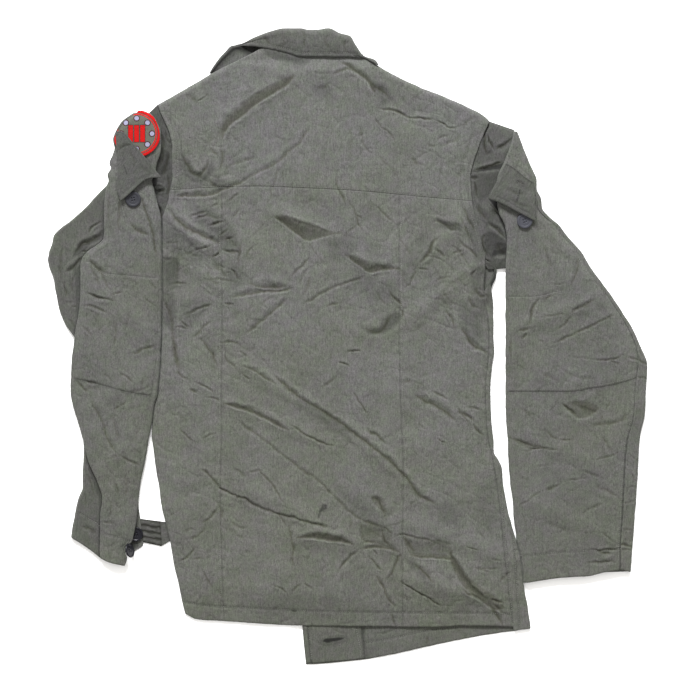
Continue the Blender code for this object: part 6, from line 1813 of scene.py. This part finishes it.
def make_left_sleeve():
    rows = np.arange(len(L_LEVELS)).astype(float)
    rule = lean_rule(L_LEVELS, CUFF_L, 500.0, 56)
    start = lambda v: L_LEVELS[np.rint(v).astype(int)]
    low_a = lambda y: under_l_top(y) + 1.75

    def low_b(y):
        low = at(FOLD_LOW_L_IN, y)
        return np.where(y < 130, np.minimum(low, low_a(y) + 0.2), low)

    high_a = lambda y: sleeve_l_z(out_l(y) + 1.3, y)
    high_b = lambda y: sleeve_l_z(in_l(y) - 2.2, y)
    fold_a = arc(out_l, 1, lambda y: 1.3 + 0 * y, low_a, high_a)
    fold_b = arc(in_l, -1, lambda y: 2.2 + 0 * y, low_b, high_b)

    def top(y, t):
        a, b = out_l(y) + 1.3, in_l(y) - 2.2
        x = a + (b - a) * t
        return x, sleeve_l_z(x, y), smooth(np.minimum(t, 1 - t) / 0.06) * 0.75 + 0.25

    parts = [(lambda y, t: (out_l(y) + 5.0 - 3.4 * t, low_a(y) + 0 * t, 0 * y * t), np.linspace(0, 0.9, 3)),
             (fold_a, np.linspace(0, 1, 10)), (top, np.linspace(0.012, 0.988, 74)),
             (fold_b, np.linspace(1, 0, 10)),
             (lambda y, t: (in_l(y) - 2.6 - 3.4 * t, low_b(y) + 0 * t, 0 * y * t), np.linspace(0.1, 1, 3))]
    x, y, z, free = panel(parts, rows, rule, start)
    relief, made = sleeve_l_relief(x, y)
    shell("left_sleeve_back", x, y, z, relief=relief * free, crease=made * free,
          shade=dark_line_field(SLEEVE_L_DARK_LINES, x, y) * free, replaces="sleeve_left_back",
          material=MAT["sleeve"])

    edge = lambda y: at(UNDER_L_OUT, y) + wobble(y, 57)

    def under_z(x, y):
        return under_l_top(y) + ridges(BULGE_FOLDS, x, y) * smooth((at(SLEEVE_L_OUT, y) - 2 - x) / 8.0)

    def end(y):
        b = at(SLEEVE_L_IN, y) - 3.0 - 6.2 * smooth((y - 219) / 7.0)
        e = np.minimum(b - 2.0, at(SLEEVE_L_OUT, y) + 7.0)
        return np.maximum(e, edge(y) + 3.2)

    def tops(y, t):
        a = edge(y) + 1.6
        x = a + (end(y) - a) * t
        return x, under_z(x, y), smooth(t / 0.1) * smooth((at(SLEEVE_L_OUT, y) + 1.0 - x) / 3.0)

    fold_u = arc(edge, 1, lambda y: 1.6 + 0 * y, lambda y: FLOOR + 0 * y, lambda y: under_l_top(y) + 0 * y)

    def flat(y, t):
        b = at(SLEEVE_L_IN, y) - 3.0 + 3.8 * smooth((y - 222) / 8.0) * smooth((430 - y) / 8.0)
        return edge(y) + 4.0 + (b - edge(y) - 4.0) * t, FLOOR + 0 * y * t, 0 * y * t

    parts = [(tops, np.linspace(1, 0.03, 38)), (fold_u, np.linspace(1, 0, 10)), (flat, np.linspace(0, 1, 8))]
    x, y, z, free = panel(parts, rows, rule, start)
    made, dark = crease_field(UNDER_CREASES, x, y)
    relief = made + 0.6 * rumple(x, y, 610) + groove(x, y, CUFF_L_STITCH_B, 0.5, 1.0)
    relief = np.maximum(relief, -(under_l_top(y) - 2.4))
    relief = np.minimum(relief, 1.2)
    # painted shade: the shade table, the cuff stitching, an even painted shade over the under sleeve, and a painted
    # shadow beside the upper sleeve's edge
    shade = np.maximum(shade_field(SHADE["under"], x, y), dark_line_field([(0.5, 0.9, CUFF_L_STITCH_B)], x, y))
    beside = np.maximum(at(SLEEVE_L_OUT, y) - x, 0.0)
    edge_dark = smooth((y - 192) / 10.0) * (0.80 * np.exp(-(beside / 1.7) ** 1.3) + 0.25 * np.exp(-(beside / 7.0) ** 1.5))
    shade = np.maximum(np.maximum(shade, 0.24), edge_dark) * smooth((x - edge(y) - 0.8) / 1.6)
    shell("left_sleeve_under", x, y, z, relief=relief * free, crease=dark * free,
          shade=shade, outer=-1, replaces="sleeve_left_front", material=MAT["sleeve"])


# ---------------------------------------------------------------- elbow patches
def make_patches():
    v = np.linspace(0, 1, 88)[:, None]
    t = np.linspace(0, 1, 112)[None, :]
    y = 300 + 90 * v + 0 * t
    for _ in range(8):
        a, b = at(SLEEVE_R_FOLD, y) + 2.6, at(HIND_SEAM_R, y) - SEAM_U - 0.5
        x = a + (b - a) * t
        y = at(ELBOW_R_TOP, x) * (1 - v) + at(ELBOW_R_BOTTOM, x) * v
    relief, made = sleeve_r_relief(x, y)
    thin = 0.45
    near = np.minimum(np.minimum(y - at(ELBOW_R_TOP, x), at(ELBOW_R_BOTTOM, x) - y), np.minimum(x - a, b - x))
    relief = relief * smooth(0.3 + 0.7 * (x - a) / 6.0) + roll(near, 0.4, 1.6)
    z = sleeve_r_z(x, y) + WALL / 2 + 0.15 + thin / 2
    relief = relief + roll(np.abs(x - at(HIND_SEAM_R, y)), 0.45)
    # painted shade along the patch's edges
    edge_line_shade = [(0.24, 0.8, level(ELBOW_R_TOP, 509, 552, 0.6)), (0.42, 1.0, level(ELBOW_R_TOP, 556, 634, 0.2)),
                (0.24, 0.8, level(ELBOW_R_BOTTOM, 509, 634, -0.6))]
    shell("right_elbow_patch", x, y, z, thin, relief=relief, crease=made, shade=dark_line_field(edge_line_shade, x, y),
          replaces="elbow_patch_right", material=MAT["sleeve"])

    v = np.linspace(0, 1, 100)[:, None]
    t = np.linspace(0, 1, 74)[None, :]
    y = 280 + 100 * v + 0 * t
    for _ in range(8):
        a, b = at(SLEEVE_L_OUT, y) + 2.0, at(SLEEVE_L_IN, y) - 2.6
        x = a + (b - a) * t
        y = at(ELBOW_L_TOP, x) * (1 - v) + at(ELBOW_L_BOTTOM, x) * v
    relief, made = sleeve_l_relief(x, y)
    near = np.minimum(y - at(ELBOW_L_TOP, x), at(ELBOW_L_BOTTOM, x) - y)
    relief = relief + roll(near, 0.5, 2.0) + roll(np.minimum(x - a, b - x), 0.5, 2.5)
    z = sleeve_l_z(x, y) + WALL / 2 + 0.15 + thin / 2
    # painted shade along the patch's edges
    edge_line_shade = [(0.30, 0.8, level(ELBOW_L_TOP, 84, 158, 0.6)), (0.26, 0.8, level(ELBOW_L_BOTTOM, 76, 156, -0.6))]
    shell("left_elbow_patch", x, y, z, thin, relief=relief, crease=made, shade=dark_line_field(edge_line_shade, x, y),
          replaces="elbow_patch_left", material=MAT["sleeve"])


# ---------------------------------------------------------------- flaps
FLAP_L_TOP = (116.0, 131.5, 124.5, 133.2, 133, 143, 146.0, 158.5, 153.6, 168, 161.4, 177.4)
FLAP_L_LOW = (117.0, 150.0, 118.0, 160, 118.5, 170.0, 117.5, 180, 118.3, 190.0, 121.0, 201.0)
FLAP_R_TOP = (506.0, 163.5, 511, 166, 517.0, 170.5, 525.0, 177.0, 534.0, 183.0)
FLAP_R_LOW = (488.0, 198.8, 501.0, 203.5, 516.0, 211.5, 526, 216.6, 535.0, 221.5)
BUTTON_L = (133.5, 199.5)
BUTTON_R = (524.5, 221.0)
FLAP_R_CREASES = (
    (-0.6, 2, 2, (515, 186, 519, 182, 525, 187)),
    (-0.5, 4, 4, (500, 186, 512, 192, 528, 196)),
    (-0.5, 4, 4, (508, 199, 518, 204, 530, 208)),
    (0.5, 3, 3, (496, 188, 503, 176, 508, 168)),
)
FLAP_L_CREASES = (
    (-0.5, 3, 3, (128, 150, 134, 160, 136, 172)),
    (-0.6, 2, 2, (119, 150, 125, 146, 131, 145)),
    (-0.4, 4, 4, (140, 164, 144, 170, 150, 173)),
)


def along(path, share):
    run = np.concatenate([[0], np.cumsum(np.hypot(*np.diff(path, axis=0).T))])
    at_run = share * run[-1]
    return np.interp(at_run, run, path[:, 0]), np.interp(at_run, run, path[:, 1])


def flap_r_z(x, y, v):
    inside = np.maximum(x, at(SLEEVE_R_FOLD, y) + 2.0)
    return sleeve_r_z(np.minimum(inside, 528), y) + 1.5 + 3.7 * smooth(v * 1.1)


def make_flaps():
    v = np.linspace(0, 1, 56)[:, None]
    u = np.linspace(0, 1, 60)[None, :]
    tx, ty = along(smooth_path(FLAP_R_TOP, 1.0), u)
    lx, ly = along(smooth_path(FLAP_R_LOW, 1.0), u)
    x, y = tx + (lx - tx) * v, ty + (ly - ty) * v
    made, dark = crease_field(FLAP_R_CREASES, x, y)
    relief = made + 0.5 * rumple(x, y, 630) + roll((1 - v) * 38 + 0 * u, 0.3, 2.0)
    rim = np.minimum((1 - v) * 38, np.minimum(u, 1 - u) * 46)
    relief = relief - 0.35 * np.exp(-((rim - 4.0) / 1.0) ** 2)
    # painted shade along the flap's seams and buttonhole, and an even painted shade over the flap, less at its free
    # edge
    line_shade = [(0.75, 0.9, (505.5, 164.5, 511, 167, 516.4, 171, 521, 175, 526, 179, 533, 183.2)),
           (0.60, 0.9, (516, 175.5, 516.6, 180, 519.6, 184.6, 523.6, 186.6)),
           (0.85, 1.0, (519.5, 190.5, 518.2, 195.6, 516.4, 200)), (0.45, 0.9, (523.6, 184, 525, 186, 523, 188)),
           (0.30, 1.2, (500, 197, 512, 204, 524, 209.6, 533, 214))]
    shade = np.maximum(dark_line_field(line_shade, x, y), 0.17 - 0.12 * np.exp(-((1 - v) * 38 / 2.0) ** 2) + 0 * x)
    shell("right_flap", x, y, flap_r_z(x, y, v), THIN, relief=np.maximum(relief, -0.8), crease=dark, shade=shade,
          replaces="sleeve_flap_right", material=MAT["flap"])

    u = np.linspace(0, 1, 64)[:, None]
    v = np.linspace(0, 1, 60)[None, :]
    tx, ty = along(smooth_path(FLAP_L_TOP, 1.0), u)
    lx, ly = along(smooth_path(FLAP_L_LOW, 1.0), u)
    x, y = lx + (tx - lx) * v, ly + (ty - ly) * v
    bow = np.sin(math.pi * np.clip(v, 0, 1) ** 1.4) ** 1.4 * u ** 3
    x, y = x - 0.3 * bow, y - 6.2 * bow
    inside = np.minimum(np.maximum(x, at(SLEEVE_L_OUT, y) + 4.0), at(SLEEVE_L_IN, y) - 4.0)
    z = sleeve_l_z(inside, y) + 3.2 + 2.6 * smooth(u)
    made, dark = crease_field(FLAP_L_CREASES, x, y)
    relief = made + 0.4 * rumple(x, y, 640)
    rim = np.minimum((1 - u) * 48, np.minimum(v, 1 - v) * 50)
    relief = relief - 0.3 * np.exp(-((rim - 3.6) / 1.0) ** 2)
    # painted shade along the flap's seams and buttonhole, and an even painted shade over the flap, less at its free
    # edge
    line_shade = [(0.80, 0.9, (120, 150, 125, 146.4, 131, 145)), (0.45, 0.8, (119, 147, 124, 143.6, 130, 142)),
           (0.80, 0.9, (124.6, 166, 126, 170, 127.6, 174.6)), (0.50, 0.9, (121, 163, 124.4, 160, 123, 156))]
    shade = np.maximum(dark_line_field(line_shade, x, y), 0.20 - 0.18 * np.exp(-((1 - u) * 48 / 2.2) ** 2) + 0 * x)
    shell("left_flap", x, y, z, THIN, relief=np.maximum(relief, -0.8), crease=dark, shade=shade,
          replaces="sleeve_flap_left", material=MAT["flap"])


# ---------------------------------------------------------------- badge
def make_badge():
    side = np.linspace(-1, 1, 84)
    b, a = np.meshgrid(side, side, indexing="ij")
    dx, dy = a * np.sqrt(1 - b * b / 2), b * np.sqrt(1 - a * a / 2)
    x, y = BADGE_C[0] + BADGE_R * dx * 0.98, BADGE_C[1] + BADGE_R * dy * 0.98
    top = at(((112, 136), (114, 134), (120, 124), (127, 117), (133, 112.6), (139, 110.8), (146, 110.2), (153, 111.4),
              (162, 116)), x) + 0.2
    y = np.maximum(y, top + 0.25 * (y - BADGE_C[1] + BADGE_R))
    out = at(SLEEVE_L_OUT, y) + 1.0
    x = np.maximum(x, out + 0.12 * (x - BADGE_C[0] + BADGE_R))
    x = np.minimum(x, at(SLEEVE_L_IN, y) - 0.6)
    drop = 1 - smooth((y - top) / 4.0)
    z = sleeve_l_z(np.minimum(np.maximum(x, out + 2), at(SLEEVE_L_IN, y) - 2.5), y) + 1.9 - 0.1 * drop
    radius = np.hypot(dx, dy)
    relief = 0.35 * smooth((radius - 0.88) / 0.04) + 0.18 * np.exp(-((radius - 0.83) / 0.03) ** 2)
    relief = relief + 0.3 * noise(x / 14, y / 14, 650)
    shell("badge", x, y, z, 0.9, relief=relief, replaces="sleeve_badge",
          material=MAT["badge"])


# ---------------------------------------------------------------- buttons
def lathe(name, profile, holes, place, tilt, heading, material, node, sides=64, hole_r=0.8, hole_at=2.1):
    """A turned button with sewing holes: rings of points, the holes sunk
    as small dark wells."""
    rows = []
    for r, h in profile:
        rows.append([(r * math.cos(2 * math.pi * k / sides), r * math.sin(2 * math.pi * k / sides), h)
                     for k in range(sides)])
    top_r = [r for r, _ in profile]
    verts = [p for row in rows for p in row]
    faces = []
    for i in range(len(rows) - 1):
        for k in range(sides):
            n = (k + 1) % sides
            faces.append((i * sides + k, (i + 1) * sides + k, (i + 1) * sides + n, i * sides + n))
    for end, ring in ((0, 0), (1, len(rows) - 1)):
        centre = len(verts)
        verts.append((0.0, 0.0, profile[0 if end == 0 else -1][1]))
        for k in range(sides):
            n = (k + 1) % sides
            tri = (ring * sides + k, ring * sides + n, centre)
            faces.append(tri if end == 0 else tri[::-1])
    v = np.array(verts, float)
    away = np.hypot(v[:, 0], v[:, 1])
    for k in range(holes):
        a = math.pi / 4 + 2 * math.pi * k / max(holes, 1)
        d = np.hypot(v[:, 0] - hole_at * math.cos(a), v[:, 1] - hole_at * math.sin(a))
        sink = (d < hole_r * 1.3) & (v[:, 2] > 0.6)
        v[sink, 2] -= 1.0 * smooth((1.3 * hole_r - d[sink]) / (0.5 * hole_r))
    cx, sx = math.cos(tilt), math.sin(tilt)
    ch, sh = math.cos(heading), math.sin(heading)
    x, y, z = v[:, 0], v[:, 1], v[:, 2]
    x, z = x * cx + z * sx, -x * sx + z * cx
    x, y = x * ch - y * sh, x * sh + y * ch
    base = to_world(np.array(place[0]), np.array(place[1]), np.array(place[2]))
    world = np.stack([x, y, z], 1) * MM + base
    mesh = bpy.data.meshes.new(name)
    mesh.from_pydata(world.tolist(), [], faces)
    mesh.update()
    import bmesh
    bm = bmesh.new()
    bm.from_mesh(mesh)
    bmesh.ops.recalc_face_normals(bm, faces=bm.faces)
    bm.to_mesh(mesh)
    bm.free()
    mesh.shade_smooth()
    ob = bpy.data.objects.new(name, mesh)
    bpy.context.scene.collection.objects.link(ob)
    ob.data.materials.append(material)
    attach(ob, "root")
    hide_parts(node)
    TRIANGLES[name] = 2 * len(faces)
    return ob


def disc_profile(radius, dish=0.62, rim=0.76):
    """Flat back, rounded rim, dished face: (radius, height) from the centre of the face outwards."""
    h = BUTTON_H
    inner = [(radius * k / 14.0 * rim * 0.92, h * dish) for k in range(1, 14)]
    return inner + [(radius * rim * 0.92, h * dish), (radius * rim * 0.97, h * (dish + 0.04)),
                    (radius * rim * 1.02, h * (dish + 0.22)), (radius * (rim + 0.05), h * 0.97),
                    (radius * (rim + 0.10), h), (radius * 0.92, h * 0.98), (radius * 0.965, h * 0.88),
                    (radius * 0.99, h * 0.68), (radius, h * 0.45), (radius * 0.985, h * 0.22),
                    (radius * 0.94, h * 0.05), (radius * 0.90, 0.0), (radius * 0.5, 0.0)]


def make_buttons():
    zr = float(sleeve_r_z(np.array(BUTTON_R[0]), np.array(BUTTON_R[1])))
    zl = float(sleeve_l_z(np.array(BUTTON_L[0]), np.array(BUTTON_L[1])))
    lathe("right_flap_button", disc_profile(FLAP_BUTTON_R, 0.8, 0.72), 4, (*BUTTON_R, zr + 1.0), 0.0, 0.4, MAT["slate"],
          "flap_button_right")
    lathe("left_flap_button", disc_profile(FLAP_BUTTON_R, 0.8, 0.72), 4, (*BUTTON_L, zl + 1.0), 0.0, 0.2, MAT["slate_shaded"],
          "flap_button_left")
    lathe("cuff_button_1", disc_profile(CUFF_BUTTON_R), 4, (135.6, 534.5, WALL + 0.3), 0.0, 0.3, MAT["navy"],
          "cuff_button_left_1")
    lathe("cuff_button_2", disc_profile(CUFF_BUTTON_R), 4, (129.5, 550.5, 9.6), math.radians(62), math.radians(14),
          MAT["navy"], "cuff_button_left_2")
    for k, y in enumerate((150.0, 262.0, 374.0, 486.0, 598.0)):
        lathe("front_button_%d_turned" % (k + 1), disc_profile(9.9), 4, (326.0, y, WALL + 0.6 + THIN), 0.0, 0.1 * k,
              MAT["slate"], "front_button_%d" % (k + 1), sides=32)


# ---------------------------------------------------------------- left cuff extension and tab
def make_cuff_parts():
    table = ((500.0, 130.6, 137.8), (508.0, 130.0, 138.2), (519.0, 128.6, 139.9), (530.0, 127.4, 141.6),
             (545.0, 126.0, 142.6), (551.5, 124.0, 134.0))
    y = np.linspace(500, 551.5, 40)[:, None]
    t = np.linspace(0, 1, 14)[None, :]
    a, b = at(tuple(r[:2] for r in table), y), at(tuple((r[0], r[2]) for r in table), y)
    x = a + (b - a) * t
    relief = 0.25 * noise(x / 5, y / 7, 660) - 0.3 * np.exp(-((x - b + 2.2) / 0.8) ** 2)
    # painted shade, deeper away from its right edge
    shade = 0.62 * smooth((b - 1.2 - x) / 5.0) + 0 * y
    shell("cuff_extension", x, y + 0 * x, FLOOR + 0 * x, relief=np.maximum(relief, -0.3), shade=shade,
          replaces="cuff_extension_left")
    t = np.linspace(0, 1, 44)[:, None]
    s = np.linspace(0, 1, 44)[None, :]
    x0, y0 = 139.8 + (165.8 - 139.8) * t, 519.2 + 3.3 * t
    x1 = 142.9 + (161.0 - 142.9) * np.minimum(t / 0.74, 1) + 8.8 * smooth((t - 0.74) / 0.26)
    y1 = 542.4 + 3.8 * np.minimum(t / 0.74, 1) - 5.4 * smooth((t - 0.74) / 0.26)
    x, y = x0 + (x1 - x0) * s, y0 + (y1 - y0) * s
    x = np.minimum(x, at(BODY_L, y) - 0.15 + 0.01 * (x - 166))
    rows_of = np.abs(np.sin(math.pi * (s * 4.0 + 0.12 * noise(t * 7, s * 9, 661)))) ** 0.8
    quilt = 0.55 * rows_of * (1 - smooth((t - 0.74) / 0.05)) + 0.25 * noise(t * 10, s * 7, 662)
    relief = np.maximum(quilt - 0.35 * np.exp(-((t - 0.76) / 0.02) ** 2), -0.2)
    # painted shade in the hollows between the quilted rows and at the tab's turn, painted light on the rows
    fold = -0.35 * rows_of + 1.25 * (1 - rows_of) ** 0.8 * (1 - smooth((t - 0.74) / 0.05)) - 0.35 * smooth((t - 0.78) / 0.05) * smooth((s - 0.3) / 0.2)
    fold = fold + 0.6 * np.exp(-((t - 0.76) / 0.03) ** 2)
    fold = np.where(fold > 0, fold, fold * 1.0)
    shell("cuff_tab", x, y, FLOOR + 0.2 + 0 * x, relief=relief, crease=fold,
          shade=0.55 * np.clip(fold, 0, 1), outer=-1, replaces="cuff_tab_left",
          material=MAT["tab"])


# ---------------------------------------------------------------- stitches
STITCHES = {"olive_twill": []}
_rows = []


def body_top(x, y):
    return body_z(x, y) + body_relief(x, y)[0] + WALL / 2


def yoke_top_z(x, y):
    return body_z(x, y) + yoke_relief(x, y)[0] + WALL / 2


def front_flat_top(x, y):
    return FLOOR + WALL / 2 + front_relief(x, y)[0]


def stitch_mesh(name, lines, material, pitch=2.7, long=2.0, wide=0.55, high=0.32):
    """Joined sewing stitches along chart lines, each on its own cloth.
    A line is (points, surface function, across) with across for buttonhole bars."""
    verts, faces = [], []
    for points, surface, across in lines:
        path = smooth_path(points, 0.5)
        run = np.concatenate([[0], np.cumsum(np.hypot(*np.diff(path, axis=0).T))]) * UNIT / MM
        gap = 0.75 if across else pitch
        centres = np.arange(gap / 2, run[-1], gap)
        cx, cy = np.interp(centres, run, path[:, 0]), np.interp(centres, run, path[:, 1])
        ex, ey = np.interp(centres + 0.5, run, path[:, 0]), np.interp(centres + 0.5, run, path[:, 1])
        bx, by = np.interp(centres - 0.5, run, path[:, 0]), np.interp(centres - 0.5, run, path[:, 1])
        tx, ty = ex - bx, ey - by
        size = np.hypot(tx, ty) + 1e-9
        tx, ty = tx / size, ty / size
        half = long / 2
        if across:
            tx, ty, half = -ty, tx, 0.75
        hx, hy = tx * half * MM / UNIT, ty * half * MM / UNIT
        z0, z1 = surface(cx - hx, cy - hy), surface(cx + hx, cy + hy)
        zc = surface(cx, cy)
        for k in range(len(cx)):
            lo = np.array([*(to_world(cx[k] - hx[k], cy[k] - hy[k], z0[k] - 0.1))])
            hi = np.array([*(to_world(cx[k] + hx[k], cy[k] + hy[k], z1[k] - 0.1))])
            mid = np.array([*(to_world(cx[k], cy[k], max(zc[k], (z0[k] + z1[k]) / 2)))])
            side = np.array([-ty[k], -tx[k], 0.0]) * wide / 2 * MM
            side = np.array([ty[k], tx[k], 0.0]) * wide / 2 * MM
            base = len(verts)
            upv = np.array([0, 0, high * MM])
            a, b = lo * 0.65 + mid * 0.35, hi * 0.65 + mid * 0.35
            a[2], b[2] = mid[2] * 0.5 + lo[2] * 0.5, mid[2] * 0.5 + hi[2] * 0.5
            verts += [lo, a + side, a + upv, a - side, a - upv * 0.6, b + side, b + upv, b - side, b - upv * 0.6, hi]
            faces += [(base, base + 1, base + 2), (base, base + 2, base + 3), (base, base + 3, base + 4),
                      (base, base + 4, base + 1)]
            for i in range(4):
                j = (i + 1) % 4
                faces.append((base + 1 + i, base + 5 + i, base + 5 + j, base + 1 + j))
            faces += [(base + 9, base + 6, base + 5), (base + 9, base + 7, base + 6), (base + 9, base + 8, base + 7),
                      (base + 9, base + 5, base + 8)]
    mesh = bpy.data.meshes.new(name)
    mesh.from_pydata([tuple(v) for v in verts], [], faces)
    mesh.update()
    mesh.shade_smooth()
    ob = bpy.data.objects.new(name, mesh)
    bpy.context.scene.collection.objects.link(ob)
    ob.data.materials.append(material)
    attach(ob, "root")
    TRIANGLES[name] = sum(len(f) - 2 for f in faces)
    return ob


def make_stitches():
    def on_sleeve_r(x, y):
        return sleeve_r_z(x, y) + WALL / 2 + sleeve_r_relief(x, y)[0]

    def on_patch_r(x, y):
        return on_sleeve_r(x, y) + 0.55

    def on_sleeve_l(x, y):
        return sleeve_l_z(x, y) + WALL / 2 + sleeve_l_relief(x, y)[0]

    def on_collar(x, y):
        return collar_z(x, y) + WALL / 2 + collar_relief(x, y)[0]

    def on_under(x, y):
        made = crease_field(UNDER_CREASES, x, y)[0]
        return under_l_top(y) + WALL / 2 + np.clip(made + 0.6 * rumple(x, y, 610), -(under_l_top(y) - 2.4), 1.2) - 0.35

    def on_facing(x, y):
        return WALL + 0.12 + THIN + 0 * x

    def on_flap_r(x, y):
        v = np.clip(((y - 165) * 0.87 - (x - 506) * 0.49) / 36.0, 0, 1)
        return flap_r_z(x, y, v) + THIN / 2 + 0.1

    flat = lambda x, y: body_top(x, y)
    seams = [
        (HEM_STITCH, flat, False),
        (column(PRINCESS_L, 192, 600, -2.2), flat, False),
        (column(PRINCESS_R, 200, 606, 2.2), flat, False),
        (YOKE_LINE[2:-2], yoke_top_z, False),
        (column(ARMHOLE_R, 127, 196, -3.0), yoke_top_z, False),
        (column(ARMHOLE_R, 133, 194, -10.5), yoke_top_z, False),
        (column(ARMHOLE_R, 206, 254, -3.0), flat, False),
        (column(ARMHOLE_R, 208, 250, -10.5), flat, False),
        (column(ARMHOLE_L, 110, 184, 5.0), yoke_top_z, False),
        (SIDE_STITCH_1, flat, False), (SIDE_STITCH_2, flat, False),
        (COLLAR_STITCH, on_collar, False),
        (CUFF_R_STITCH, on_sleeve_r, False),
        (column(HIND_SEAM_R, 230, 560, -2.4), on_sleeve_r, False),
        (level(ELBOW_R_TOP, 511, 600, 2.2), on_patch_r, False),
        (level(ELBOW_R_BOTTOM, 511, 630, -2.2), on_patch_r, False),
        (level(ELBOW_L_TOP, 90, 156, 2.0), lambda x, y: on_sleeve_l(x, y) + 0.55, False),
        (CUFF_L_STITCH_A, on_sleeve_l, False), (CUFF_L_STITCH_B, on_under, False),
        (FRONT_STITCH, front_flat_top, False), (FRONT_EDGE_STITCH, on_facing, False),
        ((356, 629, 358, 638, 360, 648, 361, 658), on_facing, False),
    ]
    stitch_mesh("seam_stitches", seams, MAT["thread"])
    bars = [
        ((323, 641.9, 334, 640.4, 345, 639.0), on_facing, True),
        ((517.4, 200, 518, 195, 519, 188), on_flap_r, True),
        ((516, 176, 516.6, 180, 518.6, 184, 524, 186), on_flap_r, False),
    ]
    stitch_mesh("buttonhole_stitches", bars, MAT["thread_dark"], pitch=1.6, long=1.4)


# ---------------------------------------------------------------- build
make_yoke()
make_back()
make_fronts()
make_collar()
make_right_sleeve()
make_caps()
make_left_sleeve()
make_patches()
make_flaps()
make_badge()
make_buttons()
make_cuff_parts()
make_stitches()

# solids that stay as they are get the cloth's inner copy, with its painted shade, and buttons the slate
for node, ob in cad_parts.items():
    ob = ob if isinstance(ob, bpy.types.Object) else bpy.data.objects.get(node)
    if ob is not None and not ob.hide_render and ob.type == "MESH":
        ob.data.materials.clear()
        ob.data.materials.append(MAT["slate"] if "button" in node else MAT["inside"])

# ---------------------------------------------------------------- floor, light, camera
floor_mesh = bpy.data.meshes.new("floor")
floor_mesh.from_pydata([(-4, -4, -0.0002), (4, -4, -0.0002), (4, 4, -0.0002), (-4, 4, -0.0002)], [], [(0, 1, 2, 3)])
floor = bpy.data.objects.new("floor", floor_mesh)
bpy.context.scene.collection.objects.link(floor)
g = Graph("floor_white")
dust = g.noise(g.add("ShaderNodeTexCoord").outputs["Object"], 6.0, 2.0, 0.5)
g.link(g.mix(g.span(dust, 0.3, 0.7, 0.0, 1.0), (0.93, 0.93, 0.93), (0.95, 0.95, 0.95)), "Base Color")
g.shader.inputs["Roughness"].default_value = 0.9
g.shader.inputs["Specular IOR Level"].default_value = 0.1
floor.data.materials.append(g.mat)

world = bpy.data.worlds.new("studio")
bpy.context.scene.world = world
world.use_nodes = True
back = world.node_tree.nodes["Background"]
back.inputs["Color"].default_value = (1.0, 0.985, 0.96, 1.0)
back.inputs["Strength"].default_value = 1.09


def area_light(name, place, aim, size, power, colour):
    data = bpy.data.lights.new(name, "AREA")
    data.shape = "RECTANGLE"
    data.size, data.size_y = size
    data.energy = power
    data.color = colour
    ob = bpy.data.objects.new(name, data)
    ob.location = place
    ob.rotation_mode = "QUATERNION"
    ob.rotation_quaternion = (Vector(aim) - Vector(place)).to_track_quat("-Z", "Y")
    bpy.context.scene.collection.objects.link(ob)


area_light("key", (-0.98, 7.28, 4.34), (0, 0, 0), (4.2, 1.6), 2140.0, (0.985, 0.99, 1.0))

camera = bpy.data.cameras.new("camera")
camera.lens = 135.0
camera.sensor_width = 36.0
camera.clip_start, camera.clip_end = 0.1, 20.0
cam = bpy.data.objects.new("camera", camera)
cam.location = (0.00275, -0.005, 3.281 + 0.006)
cam.rotation_euler = (0.0, 0.0, 0.0)
bpy.context.scene.collection.objects.link(cam)
bpy.context.scene.camera = cam
bpy.context.scene.view_settings.view_transform = "Standard"

print("triangles", sum(TRIANGLES.values()), {k: v for k, v in TRIANGLES.items() if v > 60000})
for row in SHEETS:
    print("sheet", row)
